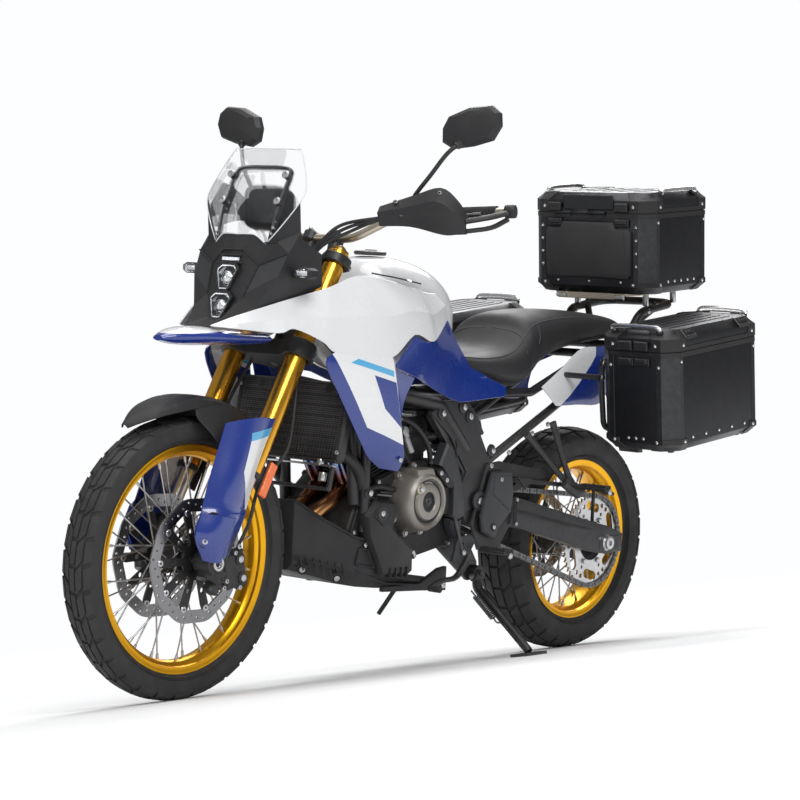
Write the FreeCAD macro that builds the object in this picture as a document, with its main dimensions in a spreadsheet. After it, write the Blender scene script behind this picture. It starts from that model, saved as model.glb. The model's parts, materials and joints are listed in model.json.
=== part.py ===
"""Adventure motorcycle with a top case and two side cases, leaning on its side stand.

Everything is drawn on the upright machine: X forward from the rear axle, Y to the
rider's left, Z up from the floor. The last step leans the whole machine onto its
side stand and moves the origin to the middle of its box, on the floor.
"""
import FreeCAD, Part
import Sketcher
import math
import os
import re
from types import SimpleNamespace

from FreeCAD import Placement, Rotation, Vector

doc = FreeCAD.newDocument("Motorcycle")
sheet = doc.addObject("Spreadsheet::Sheet", "Sizes")

# Driving dimensions: millimetres, counts and angles in degrees, grouped by piece.
# X runs from the rear axle, and for what the fork or the steering head carries from the front
# axle, so that it is below zero; a form that reaches from one group to the other has its
# back end's X and how far behind the front axle it ends.
driving_sizes = {
    # stance of the whole machine
    "wheelbase": 1570, "rake_angle": 28, "steering_limit_angle": 40, "trail": 114, "lean_angle": 11.5,
    # front tyre, rim and hub
    "front_tyre_radius": 347, "front_tyre_half_width": 46, "front_bead_radius": 267.5,
    "front_tyre_wall": 10, "front_shoulder_drop": 22, "front_bead_half_width": 29,
    "front_rim_half_width": 33, "front_flange_radius": 280.5, "front_well_radius": 256,
    "front_hub_radius": 26, "front_hub_half_width": 59.2, "front_spoke_flange_radius": 40,
    "front_spoke_flange_place": 36, "front_disc_radius": 155, "front_disc_band": 34,
    "front_disc_place": 63,
    # rear tyre, rim and hub
    "rear_tyre_radius": 321, "rear_tyre_half_width": 75, "rear_bead_radius": 216.5,
    "rear_tyre_wall": 12, "rear_shoulder_drop": 34, "rear_bead_half_width": 51,
    "rear_rim_half_width": 57, "rear_flange_radius": 230, "rear_well_radius": 204,
    "rear_hub_radius": 36, "rear_hub_half_width": 78, "rear_spoke_flange_radius": 56,
    "rear_spoke_flange_place": 50, "rear_disc_radius": 130, "rear_disc_band": 30,
    "rear_disc_place": 81.8,
    # shared by both wheels
    "rim_lip": 4, "rim_wall": 4, "spoke_width": 3.6, "spoke_count": 36, "spoke_angle": 24,
    "spoke_flange_width": 6, "disc_thickness": 5, "disc_hole_radius": 3.5,
    "disc_carrier_thickness": 7, "disc_carrier_neck": 5, "disc_window_radius": 15,
    "axle_radius": 11, "axle_bore_radius": 7, "seat_gap": 0.3, "overrun": 4,
    # final drive
    "chain_pitch": 15.875, "chain_line": 105, "chain_half_height": 7.5,
    "chain_plate_thickness": 2, "chain_inner_half": 4.2, "chain_roller_radius": 5,
    "sprocket_teeth": 51, "sprocket_thickness": 7, "drive_sprocket_radius": 40.7,
    "sprocket_bore": 50, "sprocket_carrier_radius": 72,
    # swingarm and its pivot
    "pivot_x": 590, "pivot_z": 462, "pivot_radius": 12, "pivot_boss_radius": 27,
    "arm_height": 82, "arm_tip_height": 60, "arm_thickness": 34, "arm_place": 147,
    "arm_pivot_place": 118, "arm_tip_back": 72, "arm_bridge_x": 405, "arm_bridge_length": 110,
    "front_axle_half_length": 137, "rear_axle_half_length": 170, "axle_nut_radius": 18, "axle_nut_length": 12,
    # fork, yokes and steering head, measured along the steering axis from the floor
    "fork_offset": 47, "leg_place": 105, "outer_tube_radius": 27,
    "inner_tube_radius": 21.5, "outer_tube_start": 610, "outer_tube_end": 1226,
    "lower_casting_start": 318, "lower_casting_end": 468,
    "lower_casting_radius": 30, "lower_yoke_start": 925, "lower_yoke_height": 44,
    "upper_yoke_start": 1190, "upper_yoke_height": 24, "yoke_margin": 13,
    "stem_radius": 14, "head_radius": 30, "head_clearance": 2, "riser_radius": 16,
    "riser_place": 42, "sweep_clearance": 9,
    # handlebar, grips, guards and mirrors
    "bar_radius": 11, "bar_bend": 60, "grip_radius": 17, "grip_length": 125,
    "lever_radius": 6, "guard_wall": 4,
    "mirror_width": 176, "mirror_height": 96, "mirror_depth": 34, "mirror_x": -560,
    "mirror_y": 396, "mirror_z": 1432, "mirror_stem_radius": 6, "mirror_bend": 22,
    # mudguards and fork guards
    "fender_gap": 45, "fender_wall": 4, "fender_half_width": 66, "fender_skirt": 46,
    "fender_start_angle": 57, "fender_end_angle": 123, "fork_guard_place": 131,
    "fork_guard_wall": 4, "caliper_length": 96, "caliper_height": 62, "caliper_half_width": 26,
    "caliper_slot": 4,
    # engine
    "crankcase_half_width": 118, "cylinders_half_width": 103, "generator_x": 847,
    "generator_z": 473, "generator_radius": 74, "generator_face": 196, "clutch_x": 800,
    "clutch_z": 440, "clutch_radius": 96, "clutch_face": 186, "sprocket_cover_radius": 56,
    "sprocket_cover_face": 152, "sprocket_cover_x": 714, "drive_shaft_radius": 13, "drive_recess": 24,
    "drive_x": 737, "drive_z": 471, "header_radius": 19,
    "header_bend": 48, "mid_pipe_radius": 24, "mid_pipe_bend": 70, "muffler_radius": 50,
    "muffler_length": 490, "muffler_x": 400, "muffler_y": 214, "muffler_z": 330,
    "muffler_angle": 14, "tail_pipe_radius": 22, "radiator_x": -372, "radiator_depth": 30, "radiator_angle": 12,
    "radiator_half_width": 162, "radiator_low": 592, "radiator_height": 200,
    "skid_wall": 4,
    # frame tubes and pegs
    "beam_radius": 19, "beam_bend": 60, "down_tube_radius": 15, "rail_radius": 12,
    "rail_bend": 50, "plate_place": 118, "plate_thickness": 22, "peg_radius": 14,
    "rider_peg_x": 586, "rider_peg_z": 326, "rider_peg_end": 262, "passenger_peg_x": 130,
    "passenger_peg_z": 478, "passenger_peg_end": 252, "hanger_thickness": 10,
    "rider_hanger_place": 150, "passenger_hanger_place": 138, "hoop_radius": 8, "hoop_bend": 28, "front_arm_x": 209,
    "front_arm_z": 800, "rear_arm_x": -60, "rear_arm_z": 880,
    # bodywork
    "panel_wall": 5, "ear_wall": 4, "bracket_radius": 7, "lamp_radius": 34, "lamp_depth": 24,
    "upper_lamp_x": -145, "upper_lamp_z": 1029, "lower_lamp_x": -136, "lower_lamp_z": 966,
    "screen_radius": 330, "screen_wall": 4, "screen_x": -146, "screen_low": 1114,
    "screen_high": 1342, "screen_half_width": 182, "screen_angle": 25,
    "screen_hoop_radius": 7, "screen_hoop_bend": 24, "signal_x": -208, "signal_z": 1050,
    "signal_end": 214, "signal_radius": 20, "signal_length": 46, "signal_stalk_radius": 8,
    "signal_stalk_start": 118, "rear_signal_x": -262, "rear_signal_z": 742,
    "tail_light_x": -182, "tail_light_z": 872, "stud_radius": 8, "puck_radius": 13,
    "fender_stud_x": -184, "fender_stud_z": 313, "radiator_bar_place": 114, "radiator_bar_height": 84,
    "guard_post_radius": 5, "guard_post_place": 136, "guard_post_x": 390, "guard_post_gap": 350,
    "skid_stud_place": 98, "plate_post_height": 42, "plate_post_place": 122, "plate_post_x": 110,
    "plate_post_gap": 140, "caliper_bracket_width": 9, "screen_bolt_low": 1218, "screen_bolt_high": 1282,
    "dash_bar_z": 1205, "dash_lug_place": 40, "tail_light_half_width": 58,
    "tail_light_height": 30, "tail_light_depth": 26, "holder_half_width": 34,
    "stay_half_width": 12, "stay_length": 190, "stay_height": 120, "stay_start": 1020,
    # cases and what carries them
    "case_wall": 3, "case_bottom_edge": 20, "lid_edge": 22, "hinge_radius": 5,
    "hinge_bore": 2.5, "hinge_knuckle_length": 60, "hinge_knuckle_gap": 1, "hinge_margin": 50, "hinge_leaf": 12,
    "top_case_x": -54.7, "top_case_z": 1261.2, "top_case_length": 321.7,
    "top_case_half_width": 209.8, "top_case_depth": 232, "top_case_corner": 38.6,
    "top_case_pitch_angle": 5.6, "top_lid_height": 58, "side_case_x": 259.1,
    "side_case_z": 880.1, "side_case_length": 444.7, "side_case_inner": 280.4,
    "side_case_width": 243, "side_case_depth": 272, "side_case_corner": 37.3,
    "side_case_pitch_angle": 7.49, "side_lid_height": 58,
    "plate_half_width": 150, "case_plate_thickness": 6,
    # side stand
    "stand_pivot_radius": 9, "stand_boss_radius": 20, "stand_boss_length": 24,
    "stand_leg_radius": 11, "stand_bend": 26, "stand_foot_length": 90,
    "stand_foot_width": 56, "stand_foot_thickness": 8,
    # shocks and brakes
    "shock_radius": 34, "shock_rod_radius": 10, "shock_low_x": 462, "shock_low_z": 450,
    "shock_high_x": 640, "shock_high_z": 690, "shock_tube_x": 650, "shock_tube_z": 704,
    "shock_tube_radius": 14,
    # filler cap
    "cap_radius": 34, "cap_height": 10,
    "pivot_plate_x": 523, "pivot_plate_length": 267, "pivot_plate_z": 405, "pivot_plate_height": 337,
    "stand_bracket_x": 488, "stand_bracket_length": 202, "stand_bracket_z": 236, "stand_bracket_height": 194,
    "crankcase_x": 632, "crankcase_length": 453, "crankcase_z": 318, "crankcase_height": 257,
    "cylinders_x": 835, "cylinders_length": 240, "cylinders_z": 490, "cylinders_height": 250,
    "fork_guard_x": -197, "fork_guard_length": 255, "fork_guard_z": 356, "fork_guard_height": 338,
    "rider_hanger_x": 430, "rider_hanger_length": 190, "rider_hanger_z": 330, "rider_hanger_height": 230,
    "passenger_hanger_x": 105, "passenger_hanger_length": 282, "passenger_hanger_z": 470, "passenger_hanger_height": 202,
    "chain_guard_x": -66, "chain_guard_length": 536, "chain_guard_z": 450, "chain_guard_height": 71,
    "plate_holder_x": -345, "plate_holder_length": 235, "plate_holder_z": 560, "plate_holder_height": 312,
    "rider_hanger_studs_x": 560, "rider_hanger_studs_length": 40, "rider_hanger_studs_z": 425, "rider_hanger_studs_height": 85,
    "passenger_hanger_studs_x": 318, "passenger_hanger_studs_length": 44, "passenger_hanger_studs_z": 634, "passenger_hanger_studs_height": 18,
    "fork_guard_studs_x": -59, "fork_guard_studs_length": 24, "fork_guard_studs_z": 380, "fork_guard_studs_height": 45,
    "skid_studs_x": 850, "skid_studs_length": 50, "skid_studs_z": 318, "skid_studs_height": 0.5,
    "pucks_x": -63, "pucks_length": 182, "pucks_z": 665, "pucks_height": 222,
    "tank_x": 650, "tank_back": 460, "tank_z": 785, "tank_height": 315, "tank_half_width": 146,
    "seat_x": -137, "seat_length": 781, "seat_z": 761.1, "seat_height": 214.9, "seat_half_width": 148,
    "skid_x": 700, "skid_length": 506, "skid_z": 230, "skid_height": 248, "skid_half_width": 142,
    "cowl_x": -320, "cowl_length": 196, "cowl_z": 905, "cowl_height": 229, "cowl_half_width": 150,
    "beak_x": -280, "beak_length": 379, "beak_z": 864, "beak_height": 48, "beak_half_width": 112,
    "dash_x": -280, "dash_length": 28, "dash_z": 1150, "dash_height": 112, "dash_half_width": 78,
    "upper_shroud_studs_x": 900, "upper_shroud_studs_length": 100, "upper_shroud_studs_y": 195, "upper_shroud_studs_width": 14, "upper_shroud_studs_z": 955,
    "shroud_studs_x": -465, "shroud_studs_length": 80, "shroud_studs_y": 217, "shroud_studs_width": 23, "shroud_studs_z": 705, "shroud_studs_height": 133,
    "side_panel_studs_x": 600, "side_panel_studs_length": 190, "side_panel_studs_y": 148, "side_panel_studs_width": 23, "side_panel_studs_z": 752, "side_panel_studs_height": 116,
    "main_beam_x": 640, "main_beam_back": 400, "main_beam_y": 14, "main_beam_width": 121, "main_beam_z": 600, "main_beam_height": 355,
    "down_tube_x": -508, "down_tube_length": 38, "down_tube_y": 112, "down_tube_width": 6, "down_tube_z": 470, "down_tube_height": 345,
    "seat_rail_x": -130, "seat_rail_length": 850, "seat_rail_y": 100, "seat_rail_width": 22, "seat_rail_z": 735, "seat_rail_height": 147,
    "lower_rail_x": -20, "lower_rail_length": 552, "lower_rail_y": 112, "lower_rail_width": 15, "lower_rail_z": 566, "lower_rail_height": 300,
    "header_x": 800, "header_length": 360, "header_y": 48, "header_width": 18, "header_z": 290, "header_height": 316,
    "mid_pipe_x": 410, "mid_pipe_length": 380, "mid_pipe_y": -206, "mid_pipe_width": 142, "mid_pipe_z": 268, "mid_pipe_height": 42,
    "pannier_hoop_x": -146, "pannier_hoop_length": 356, "pannier_hoop_y": 262, "pannier_hoop_z": 656, "pannier_hoop_height": 240,
    "hoop_x": -244, "hoop_length": 14, "hoop_width": 92, "hoop_z": 1118, "hoop_height": 178,
    "handlebar_x": -628, "handlebar_length": 153, "handlebar_width": 462, "handlebar_z": 1140, "handlebar_height": 86,
    "mirror_stem_x": -560, "mirror_stem_length": 62, "mirror_stem_y": 262, "mirror_stem_width": 116, "mirror_stem_z": 1211, "mirror_stem_height": 189,
    "rack_rail_x": -345, "rack_rail_length": 227, "rack_rail_width": 126, "rack_rail_z": 888, "rack_rail_height": 124,
    "rack_post_x": -240, "rack_post_length": 106, "rack_post_y": 60, "rack_post_width": 62, "rack_post_z": 884, "rack_post_height": 112,
    "stand_leg_x": 508, "stand_leg_length": 7, "stand_leg_y": 90, "stand_leg_width": 200, "stand_leg_z": 68, "stand_leg_height": 190,
    "upper_shroud_x": 766, "upper_shroud_back": 25, "upper_shroud_y": 50, "upper_shroud_width": 192, "upper_shroud_z": 850, "upper_shroud_height": 197,
    "shroud_x": -555, "shroud_length": 279, "shroud_y": 205, "shroud_width": 46, "shroud_z": 562, "shroud_height": 295,
    "side_panel_x": 489, "side_panel_length": 575, "side_panel_y": 142, "side_panel_width": 94, "side_panel_z": 729, "side_panel_height": 214,
    "tail_panel_x": -100, "tail_panel_length": 410, "tail_panel_y": 114, "tail_panel_width": 30, "tail_panel_z": 713, "tail_panel_height": 172,
    "hand_guard_x": -625, "hand_guard_length": 196, "hand_guard_y": 222, "hand_guard_width": 270, "hand_guard_z": 1161, "hand_guard_height": 114,
    "cowl_ear_x": -232, "cowl_ear_length": 52, "cowl_ear_y": 96, "cowl_ear_width": 64, "cowl_ear_z": 1082, "cowl_ear_height": 147,
}

sheet_row = 1
for size_name, size_value in driving_sizes.items():
    sheet.set("A%d" % sheet_row, str(size_value))
    sheet.setAlias("A%d" % sheet_row, size_name)
    sheet_row += 1
doc.recompute()

# The sheet's values as plain numbers, for pieces that no sketch or primitive fits
dim = SimpleNamespace(**{name: float(sheet.get(name)) for name in driving_sizes})
size_word = re.compile(r"\b(" + "|".join(driving_sizes) + r")\b")

Y_AXIS = Vector(0, 1, 0)
CENTRE = Vector(0, 0, 0)
nodes = {}


def in_sheet(expression):
    """The expression with each size's name pointed at the sheet."""
    return size_word.sub(r"Sizes.\1", expression)


def keep(label, piece):
    """Name a finished sub-part; its label names its file."""
    piece.Label = label
    nodes[label] = piece
    return piece


def shape_node(label, *shapes):
    """A sub-part whose solids come from the sizes in the sheet."""
    solids = []
    for shape in shapes:
        solids.extend(shape.Solids)
    piece = doc.addObject("Part::Feature", label)
    piece.Shape = solids[0] if len(solids) == 1 else Part.makeCompound(solids)
    return keep(label, piece)


def new_sketch(body, name, role):
    origin_plane = [item for item in body.Origin.OriginFeatures if item.Role == role][0]
    sketch = body.newObject("Sketcher::SketchObject", name)
    sketch.AttachmentSupport = [(origin_plane, "")]
    sketch.MapMode = "FlatFace"
    return sketch


def draw_outline(sketch, corners):
    """A closed outline whose corners are held by expressions of the sheet's sizes."""
    places = [[float(sheet.evalExpression(in_sheet(text))) for text in corner] for corner in corners]
    first = sketch.GeometryCount
    count = len(corners)
    for index in range(count):
        start, end = places[index], places[(index + 1) % count]
        sketch.addGeometry(Part.LineSegment(Vector(*start, 0), Vector(*end, 0)), False)
    for index in range(count):
        line = first + index
        following = first + (index + 1) % count
        sketch.addConstraint(Sketcher.Constraint("Coincident", line, 2, following, 1))
        for way, axis, text, place in zip(("DistanceX", "DistanceY"), (-2, -1),
                                          corners[index], places[index]):
            if place == 0:
                sketch.addConstraint(Sketcher.Constraint("PointOnObject", line, 1, axis))
            else:
                held = sketch.addConstraint(Sketcher.Constraint(way, -1, 1, line, 1, place))
                sketch.setExpression("Constraints[%d]" % held, in_sheet(text))


def turned_body(label, corners):
    """A ring turned about the wheel's axle from a profile of (width, radius) corners."""
    body = doc.addObject("PartDesign::Body", label)
    profile = new_sketch(body, label + "_profile", "YZ_Plane")
    draw_outline(profile, corners)
    turn = body.newObject("PartDesign::Revolution", label + "_turn")
    turn.Profile = profile
    turn.ReferenceAxis = (profile, ["H_Axis"])
    turn.Angle = 360
    doc.recompute()
    return body


def disc_y(radius, start, end, centre=CENTRE):
    """A round bar along Y."""
    return Part.makeCylinder(radius, end - start, centre + Vector(0, start, 0), Y_AXIS)


def ring_y(radius, bore, start, end, centre=CENTRE):
    return disc_y(radius, start, end, centre).cut(
        disc_y(bore, start - dim.overrun, end + dim.overrun, centre))


def prism(outline, start, end):
    """An X-Z outline carried along Y from one side to the other."""
    wire = Part.makePolygon([Vector(x, start, z) for x, z in outline + outline[:1]])
    return Part.Face(wire).extrude(Vector(0, end - start, 0))


def block(x_from, x_to, y_from, y_to, z_from, z_to):
    return Part.makeBox(x_to - x_from, y_to - y_from, z_to - z_from,
                        Vector(x_from, y_from, z_from))


def spread(shares, x, z, length, height):
    """An outline's shares laid over a length and a height from one corner."""
    return [(x + along * length, z + up * height) for along, up in shares]


def flat_face(corners):
    return Part.Face(Part.makePolygon(corners + corners[:1]))


def loft(sections):
    """A solid of flat facets through sections that all have as many corners."""
    faces = [flat_face(sections[0]), flat_face(sections[-1])]
    count = len(sections[0])
    for first, second in zip(sections, sections[1:]):
        for index in range(count):
            following = (index + 1) % count
            a, b, c, d = first[index], first[following], second[following], second[index]
            normal = (b - a).cross(d - a)
            if abs((c - a).dot(normal)) <= 1e-6 * normal.Length:
                faces.append(flat_face([a, b, c, d]))
            else:
                faces.append(flat_face([a, b, c]))
                faces.append(flat_face([a, c, d]))
    solid = Part.makeSolid(Part.makeShell(faces))
    if solid.Volume < 0:
        solid.reverse()
    return solid


def tube(points, radius, bend):
    """A round tube of straight runs joined by bends of one radius."""
    edges = []
    start = points[0]
    for index in range(1, len(points) - 1):
        corner = points[index]
        back = (points[index - 1] - corner).normalize()
        ahead = (points[index + 1] - corner).normalize()
        half = back.getAngle(ahead) / 2
        reach = bend / math.tan(half)
        centre_way = (back + ahead).normalize()
        middle = corner + centre_way * (bend / math.sin(half) - bend)
        edges.append(Part.makeLine(start, corner + back * reach))
        edges.append(Part.Arc(corner + back * reach, middle, corner + ahead * reach).toShape())
        start = corner + ahead * reach
    edges.append(Part.makeLine(start, points[-1]))
    path = Part.Wire(edges)
    way = (points[1] - points[0]).normalize()
    ring = Part.Wire(Part.makeCircle(radius, points[0], way))
    return path.makePipeShell([ring], True, False)


def both_sides(shape):
    """The left-hand piece and its mirror image."""
    return [shape, shape.mirror(CENTRE, Y_AXIS)]


# Wheels. The tyre is an open ring of rubber that seats on a drop-centre rim.
def tyre_corners(prefix):
    radius, half, wall, drop = (prefix + "_tyre_radius", prefix + "_tyre_half_width",
                                prefix + "_tyre_wall", prefix + "_shoulder_drop")
    bead, bead_half = prefix + "_bead_radius", prefix + "_bead_half_width"
    flange = prefix + "_flange_radius"
    outer = [("0", radius), (f"{half} * 0.45", f"{radius} - {drop} * 0.14"),
             (f"{half} * 0.82", f"{radius} - {drop} * 0.55"), (half, f"{radius} - {drop}"),
             (half, f"({radius} - {drop}) * 0.5 + {bead} * 0.5"),
             (f"{bead_half} - seat_gap", f"{flange} + rim_lip"),
             (f"{bead_half} - seat_gap", f"{bead} + seat_gap")]
    inner = [(f"{bead_half} - {wall}", f"{bead} + seat_gap"),
             (f"{bead_half} - {wall}", flange),
             (f"{half} - {wall}", f"({radius} - {drop}) * 0.5 + {bead} * 0.5 + {wall} * 0.5"),
             (f"{half} - {wall}", f"{radius} - {drop} - {wall}"),
             ("0", f"{radius} - {wall} * 1.3")]
    right = [("-(" + width + ")", place) for width, place in outer + inner if width != "0"]
    return outer + inner + right[len(outer) - 1:][::-1] + right[:len(outer) - 1][::-1]


def rim_corners(prefix):
    half, flange = prefix + "_rim_half_width", prefix + "_flange_radius"
    bead, bead_half = prefix + "_bead_radius", prefix + "_bead_half_width"
    well = prefix + "_well_radius"
    left = [(f"{bead_half} * 0.5", well), (f"{bead_half} * 0.7", bead), (bead_half, bead),
            (bead_half, flange), (half, flange), (half, f"{bead} - rim_wall"),
            (f"{bead_half} * 0.8", f"{bead} - rim_wall"),
            (f"{bead_half} * 0.55", f"{well} - rim_wall")]
    return left + [("-(" + width + ")", place) for width, place in left[::-1]]


def hub_corners(prefix):
    core, half = prefix + "_hub_radius", prefix + "_hub_half_width"
    flange, place = prefix + "_spoke_flange_radius", prefix + "_spoke_flange_place"
    left = [("0", core), (f"{place} - spoke_flange_width", core),
            (f"{place} - spoke_flange_width / 2", flange), (f"{place} + spoke_flange_width / 2", flange),
            (f"{place} + spoke_flange_width", f"{core} + rim_lip"), (half, f"{core} + rim_lip"),
            (half, "axle_radius + seat_gap")]
    return left + [("-(" + width + ")", radius) for width, radius in left[:0:-1]]


def spokes(prefix):
    """Crossed wire spokes from the hub's flanges out to the rim."""
    flange_radius = getattr(dim, prefix + "_spoke_flange_radius") - dim.spoke_flange_width / 2
    flange_place = getattr(dim, prefix + "_spoke_flange_place")
    rim_radius = (getattr(dim, prefix + "_well_radius") - dim.rim_wall - dim.seat_gap
                  - dim.spoke_width * 0.3)
    rim_place = getattr(dim, prefix + "_bead_half_width") / 3
    wires = []
    count = int(dim.spoke_count)
    for index in range(count):
        side = 1 if index % 2 else -1
        lean = 1 if index % 4 < 2 else -1
        rim_turn = math.radians(360 / count * index)
        hub_turn = rim_turn + lean * math.radians(dim.spoke_angle * 3)
        start = Vector(math.cos(hub_turn) * flange_radius, side * flange_place,
                       math.sin(hub_turn) * flange_radius)
        end = Vector(math.cos(rim_turn) * rim_radius, side * rim_place,
                     math.sin(rim_turn) * rim_radius)
        way = end - start
        wire = Part.makeBox(dim.spoke_width, dim.spoke_width, way.Length,
                            Vector(-dim.spoke_width / 2, -dim.spoke_width / 2, 0))
        wire.Placement = Placement(start, Rotation(Vector(0, 0, 1), way))
        wires.append(wire)
    return wires


# Forms that the fork or the steering head carries
front_forms = ("handlebar", "mirror_stem", "hand_guard", "fork_guard", "fork_guard_studs", "cowl", "cowl_ear",
               "beak", "dash", "hoop", "shroud", "shroud_studs", "down_tube")


def sized(name, word):
    """One of a form's sizes; a form that starts on the middle plane has no such size."""
    if word == "x" and name in front_forms:
        return dim.wheelbase + getattr(dim, name + "_x")
    if word == "length" and hasattr(dim, name + "_back"):
        return dim.wheelbase - getattr(dim, name + "_back") - getattr(dim, name + "_x")
    return getattr(dim, name + "_" + word, 0.0)


def outline_of(name, shares):
    return spread(shares, sized(name, "x"), sized(name, "z"), sized(name, "length"),
                  sized(name, "height"))


def path_of(name, shares):
    return [Vector(sized(name, "x") + along * sized(name, "length"),
                   sized(name, "y") + across * sized(name, "width"),
                   sized(name, "z") + up * sized(name, "height"))
            for along, across, up in shares]


def hull(name, shares, inset=0.0, lift=0.0):
    """A form alike on both sides, through eight-cornered sections along X."""
    sections = []
    for along, wide, low, high, edge in shares:
        x = sized(name, "x") + along * sized(name, "length")
        half = wide * sized(name, "half_width") - inset
        bottom = sized(name, "z") + low * sized(name, "height") + inset
        top = sized(name, "z") + high * sized(name, "height") + lift
        chamfer = edge * sized(name, "half_width")
        corners = ((-half, bottom + chamfer), (chamfer - half, bottom), (half - chamfer, bottom),
                   (half, bottom + chamfer), (half, top - chamfer), (half - chamfer, top),
                   (chamfer - half, top), (-half, top - chamfer))
        sections.append([Vector(x, y, z) for y, z in corners])
    return loft(sections)


def studs(name, shares, start, end=0.0):
    """A row of round studs along Y at named places, up to one place or to each one's own."""
    if end:
        ends = [Vector(x, end, z) for x, z in outline_of(name, shares)]
    else:
        ends = path_of(name, shares)
    row = [disc_y(dim.stud_radius, start, point.y, Vector(point.x, 0, point.z)) for point in ends]
    return Part.makeCompound(row)


def formed(name, rows, inward):
    """A moulded panel through rows of (along, out, up) shares, its wall on the inner side."""
    outer = [path_of(name, row) for row in rows]
    inner = [[point + inward for point in row] for row in outer]
    faces = []
    for net in (outer, inner):
        for first, second in zip(net, net[1:]):
            for index in range(len(first) - 1):
                faces.append(flat_face([first[index], first[index + 1], second[index + 1]]))
                faces.append(flat_face([first[index], second[index + 1], second[index]]))
    border = outer[0] + [row[-1] for row in outer[1:-1]] + outer[-1][::-1] + [row[0] for row in outer[-2:0:-1]]
    for start, end in zip(border, border[1:] + border[:1]):
        faces.append(flat_face([start, end, end + inward, start + inward]))
    solid = Part.makeSolid(Part.makeShell(faces))
    if solid.Volume < 0:
        solid.reverse()
    return solid


def largest(shape):
    return max(shape.Solids, key=lambda solid: solid.Volume)


# Wheels
front_axle_place = Vector(dim.wheelbase, 0, dim.front_tyre_radius)
rear_axle_place = Vector(0, 0, dim.rear_tyre_radius)
for prefix, axle_place in (("front", front_axle_place), ("rear", rear_axle_place)):
    for label, corners in ((prefix + "_tyre", tyre_corners(prefix)),
                           (prefix + "_rim", rim_corners(prefix))):
        keep(label, turned_body(label, corners)).Placement = Placement(axle_place, Rotation())
    hub = turned_body(prefix + "_hub_core", hub_corners(prefix))
    shape_node(prefix + "_hub", hub.Shape, *spokes(prefix)).Placement = Placement(axle_place, Rotation())


def disc_with_carrier(prefix):
    radius, band = getattr(dim, prefix + "_disc_radius"), getattr(dim, prefix + "_disc_band")
    place = getattr(dim, prefix + "_disc_place")
    neck = getattr(dim, prefix + "_hub_radius") - dim.disc_carrier_neck
    seat = radius - band
    half = dim.disc_carrier_thickness / 2
    carrier = ring_y(seat + dim.rim_lip, neck, place - half, place + half)
    reach = (seat + neck) / 2
    for index in range(10):
        turn = 2 * math.pi / 10 * index
        window = Vector(math.cos(turn) * reach, 0, math.sin(turn) * reach)
        carrier = carrier.cut(disc_y(dim.disc_window_radius, place - half - dim.overrun,
                                     place + half + dim.overrun, window))
    start, end = place - dim.disc_thickness / 2, place + dim.disc_thickness / 2
    band_ring = ring_y(radius, seat, start, end)
    holes = []
    for row_share, first_angle in ((0.32, 0), (0.68, 10)):
        for index in range(18):
            turn = math.radians(20 * index + first_angle)
            x, z = [way(turn) * (radius - band * row_share) for way in (math.cos, math.sin)]
            corners = [(x + math.cos(math.radians(60 * corner)) * dim.disc_hole_radius,
                        z + math.sin(math.radians(60 * corner)) * dim.disc_hole_radius) for corner in range(6)]
            holes.append(prism(corners, start - dim.overrun, end + dim.overrun))
    return band_ring.cut(holes).fuse(carrier)


front_disc = disc_with_carrier("front")
shape_node("front_discs", *both_sides(front_disc)).Placement = Placement(front_axle_place, Rotation())
rear_disc = disc_with_carrier("rear").mirror(CENTRE, Y_AXIS)
shape_node("rear_disc", rear_disc).Placement = Placement(rear_axle_place, Rotation())

# Rear sprocket: toothed ring on a drum that seats on the hub
tooth_count = int(dim.sprocket_teeth)
sprocket_pitch_radius = dim.chain_pitch / (2 * math.sin(math.pi / tooth_count))
tooth_outline = []
for index in range(tooth_count):
    turn = 2 * math.pi / tooth_count
    for share, rise in ((0.0, -0.45), (0.3, -0.3), (0.42, 0.3), (0.58, 0.3), (0.7, -0.3)):
        reach = sprocket_pitch_radius + rise * dim.chain_pitch / 2
        angle = turn * (index + share)
        tooth_outline.append((math.cos(angle) * reach, math.sin(angle) * reach))
sprocket_start = dim.chain_line - dim.sprocket_thickness / 2
sprocket = prism(tooth_outline, sprocket_start, sprocket_start + dim.sprocket_thickness)
sprocket = sprocket.cut(disc_y(dim.sprocket_bore, 0, 2 * dim.chain_line))
drum = ring_y(dim.sprocket_carrier_radius, dim.axle_radius + dim.seat_gap,
              dim.rear_hub_half_width + dim.seat_gap, sprocket_start + dim.overrun)
for index in range(6):
    turn = 2 * math.pi / 6 * (index + 0.5)
    reach = (sprocket_pitch_radius + dim.sprocket_carrier_radius) / 2
    slot = disc_y(dim.disc_window_radius, 0, 2 * dim.chain_line,
                  Vector(math.cos(turn) * reach, 0, math.sin(turn) * reach))
    sprocket = sprocket.cut(slot)
shape_node("rear_sprocket", sprocket.fuse(drum)).Placement = Placement(rear_axle_place, Rotation())

# Axles, hollow, with spacer collars up to what clamps them
front_clamp_start = dim.leg_place - dim.lower_casting_radius
front_axle = disc_y(dim.axle_radius, -dim.front_axle_half_length, dim.front_axle_half_length)
for side in (1, -1):
    ends = sorted((side * (dim.front_hub_half_width + dim.seat_gap),
                   side * (front_clamp_start - dim.seat_gap)))
    front_axle = front_axle.fuse(disc_y(dim.axle_radius * 1.5, ends[0], ends[1]))
front_axle = front_axle.cut(disc_y(dim.axle_bore_radius, -2 * dim.front_axle_half_length,
                                   2 * dim.front_axle_half_length))
shape_node("front_axle", front_axle).Placement = Placement(front_axle_place, Rotation())

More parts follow.
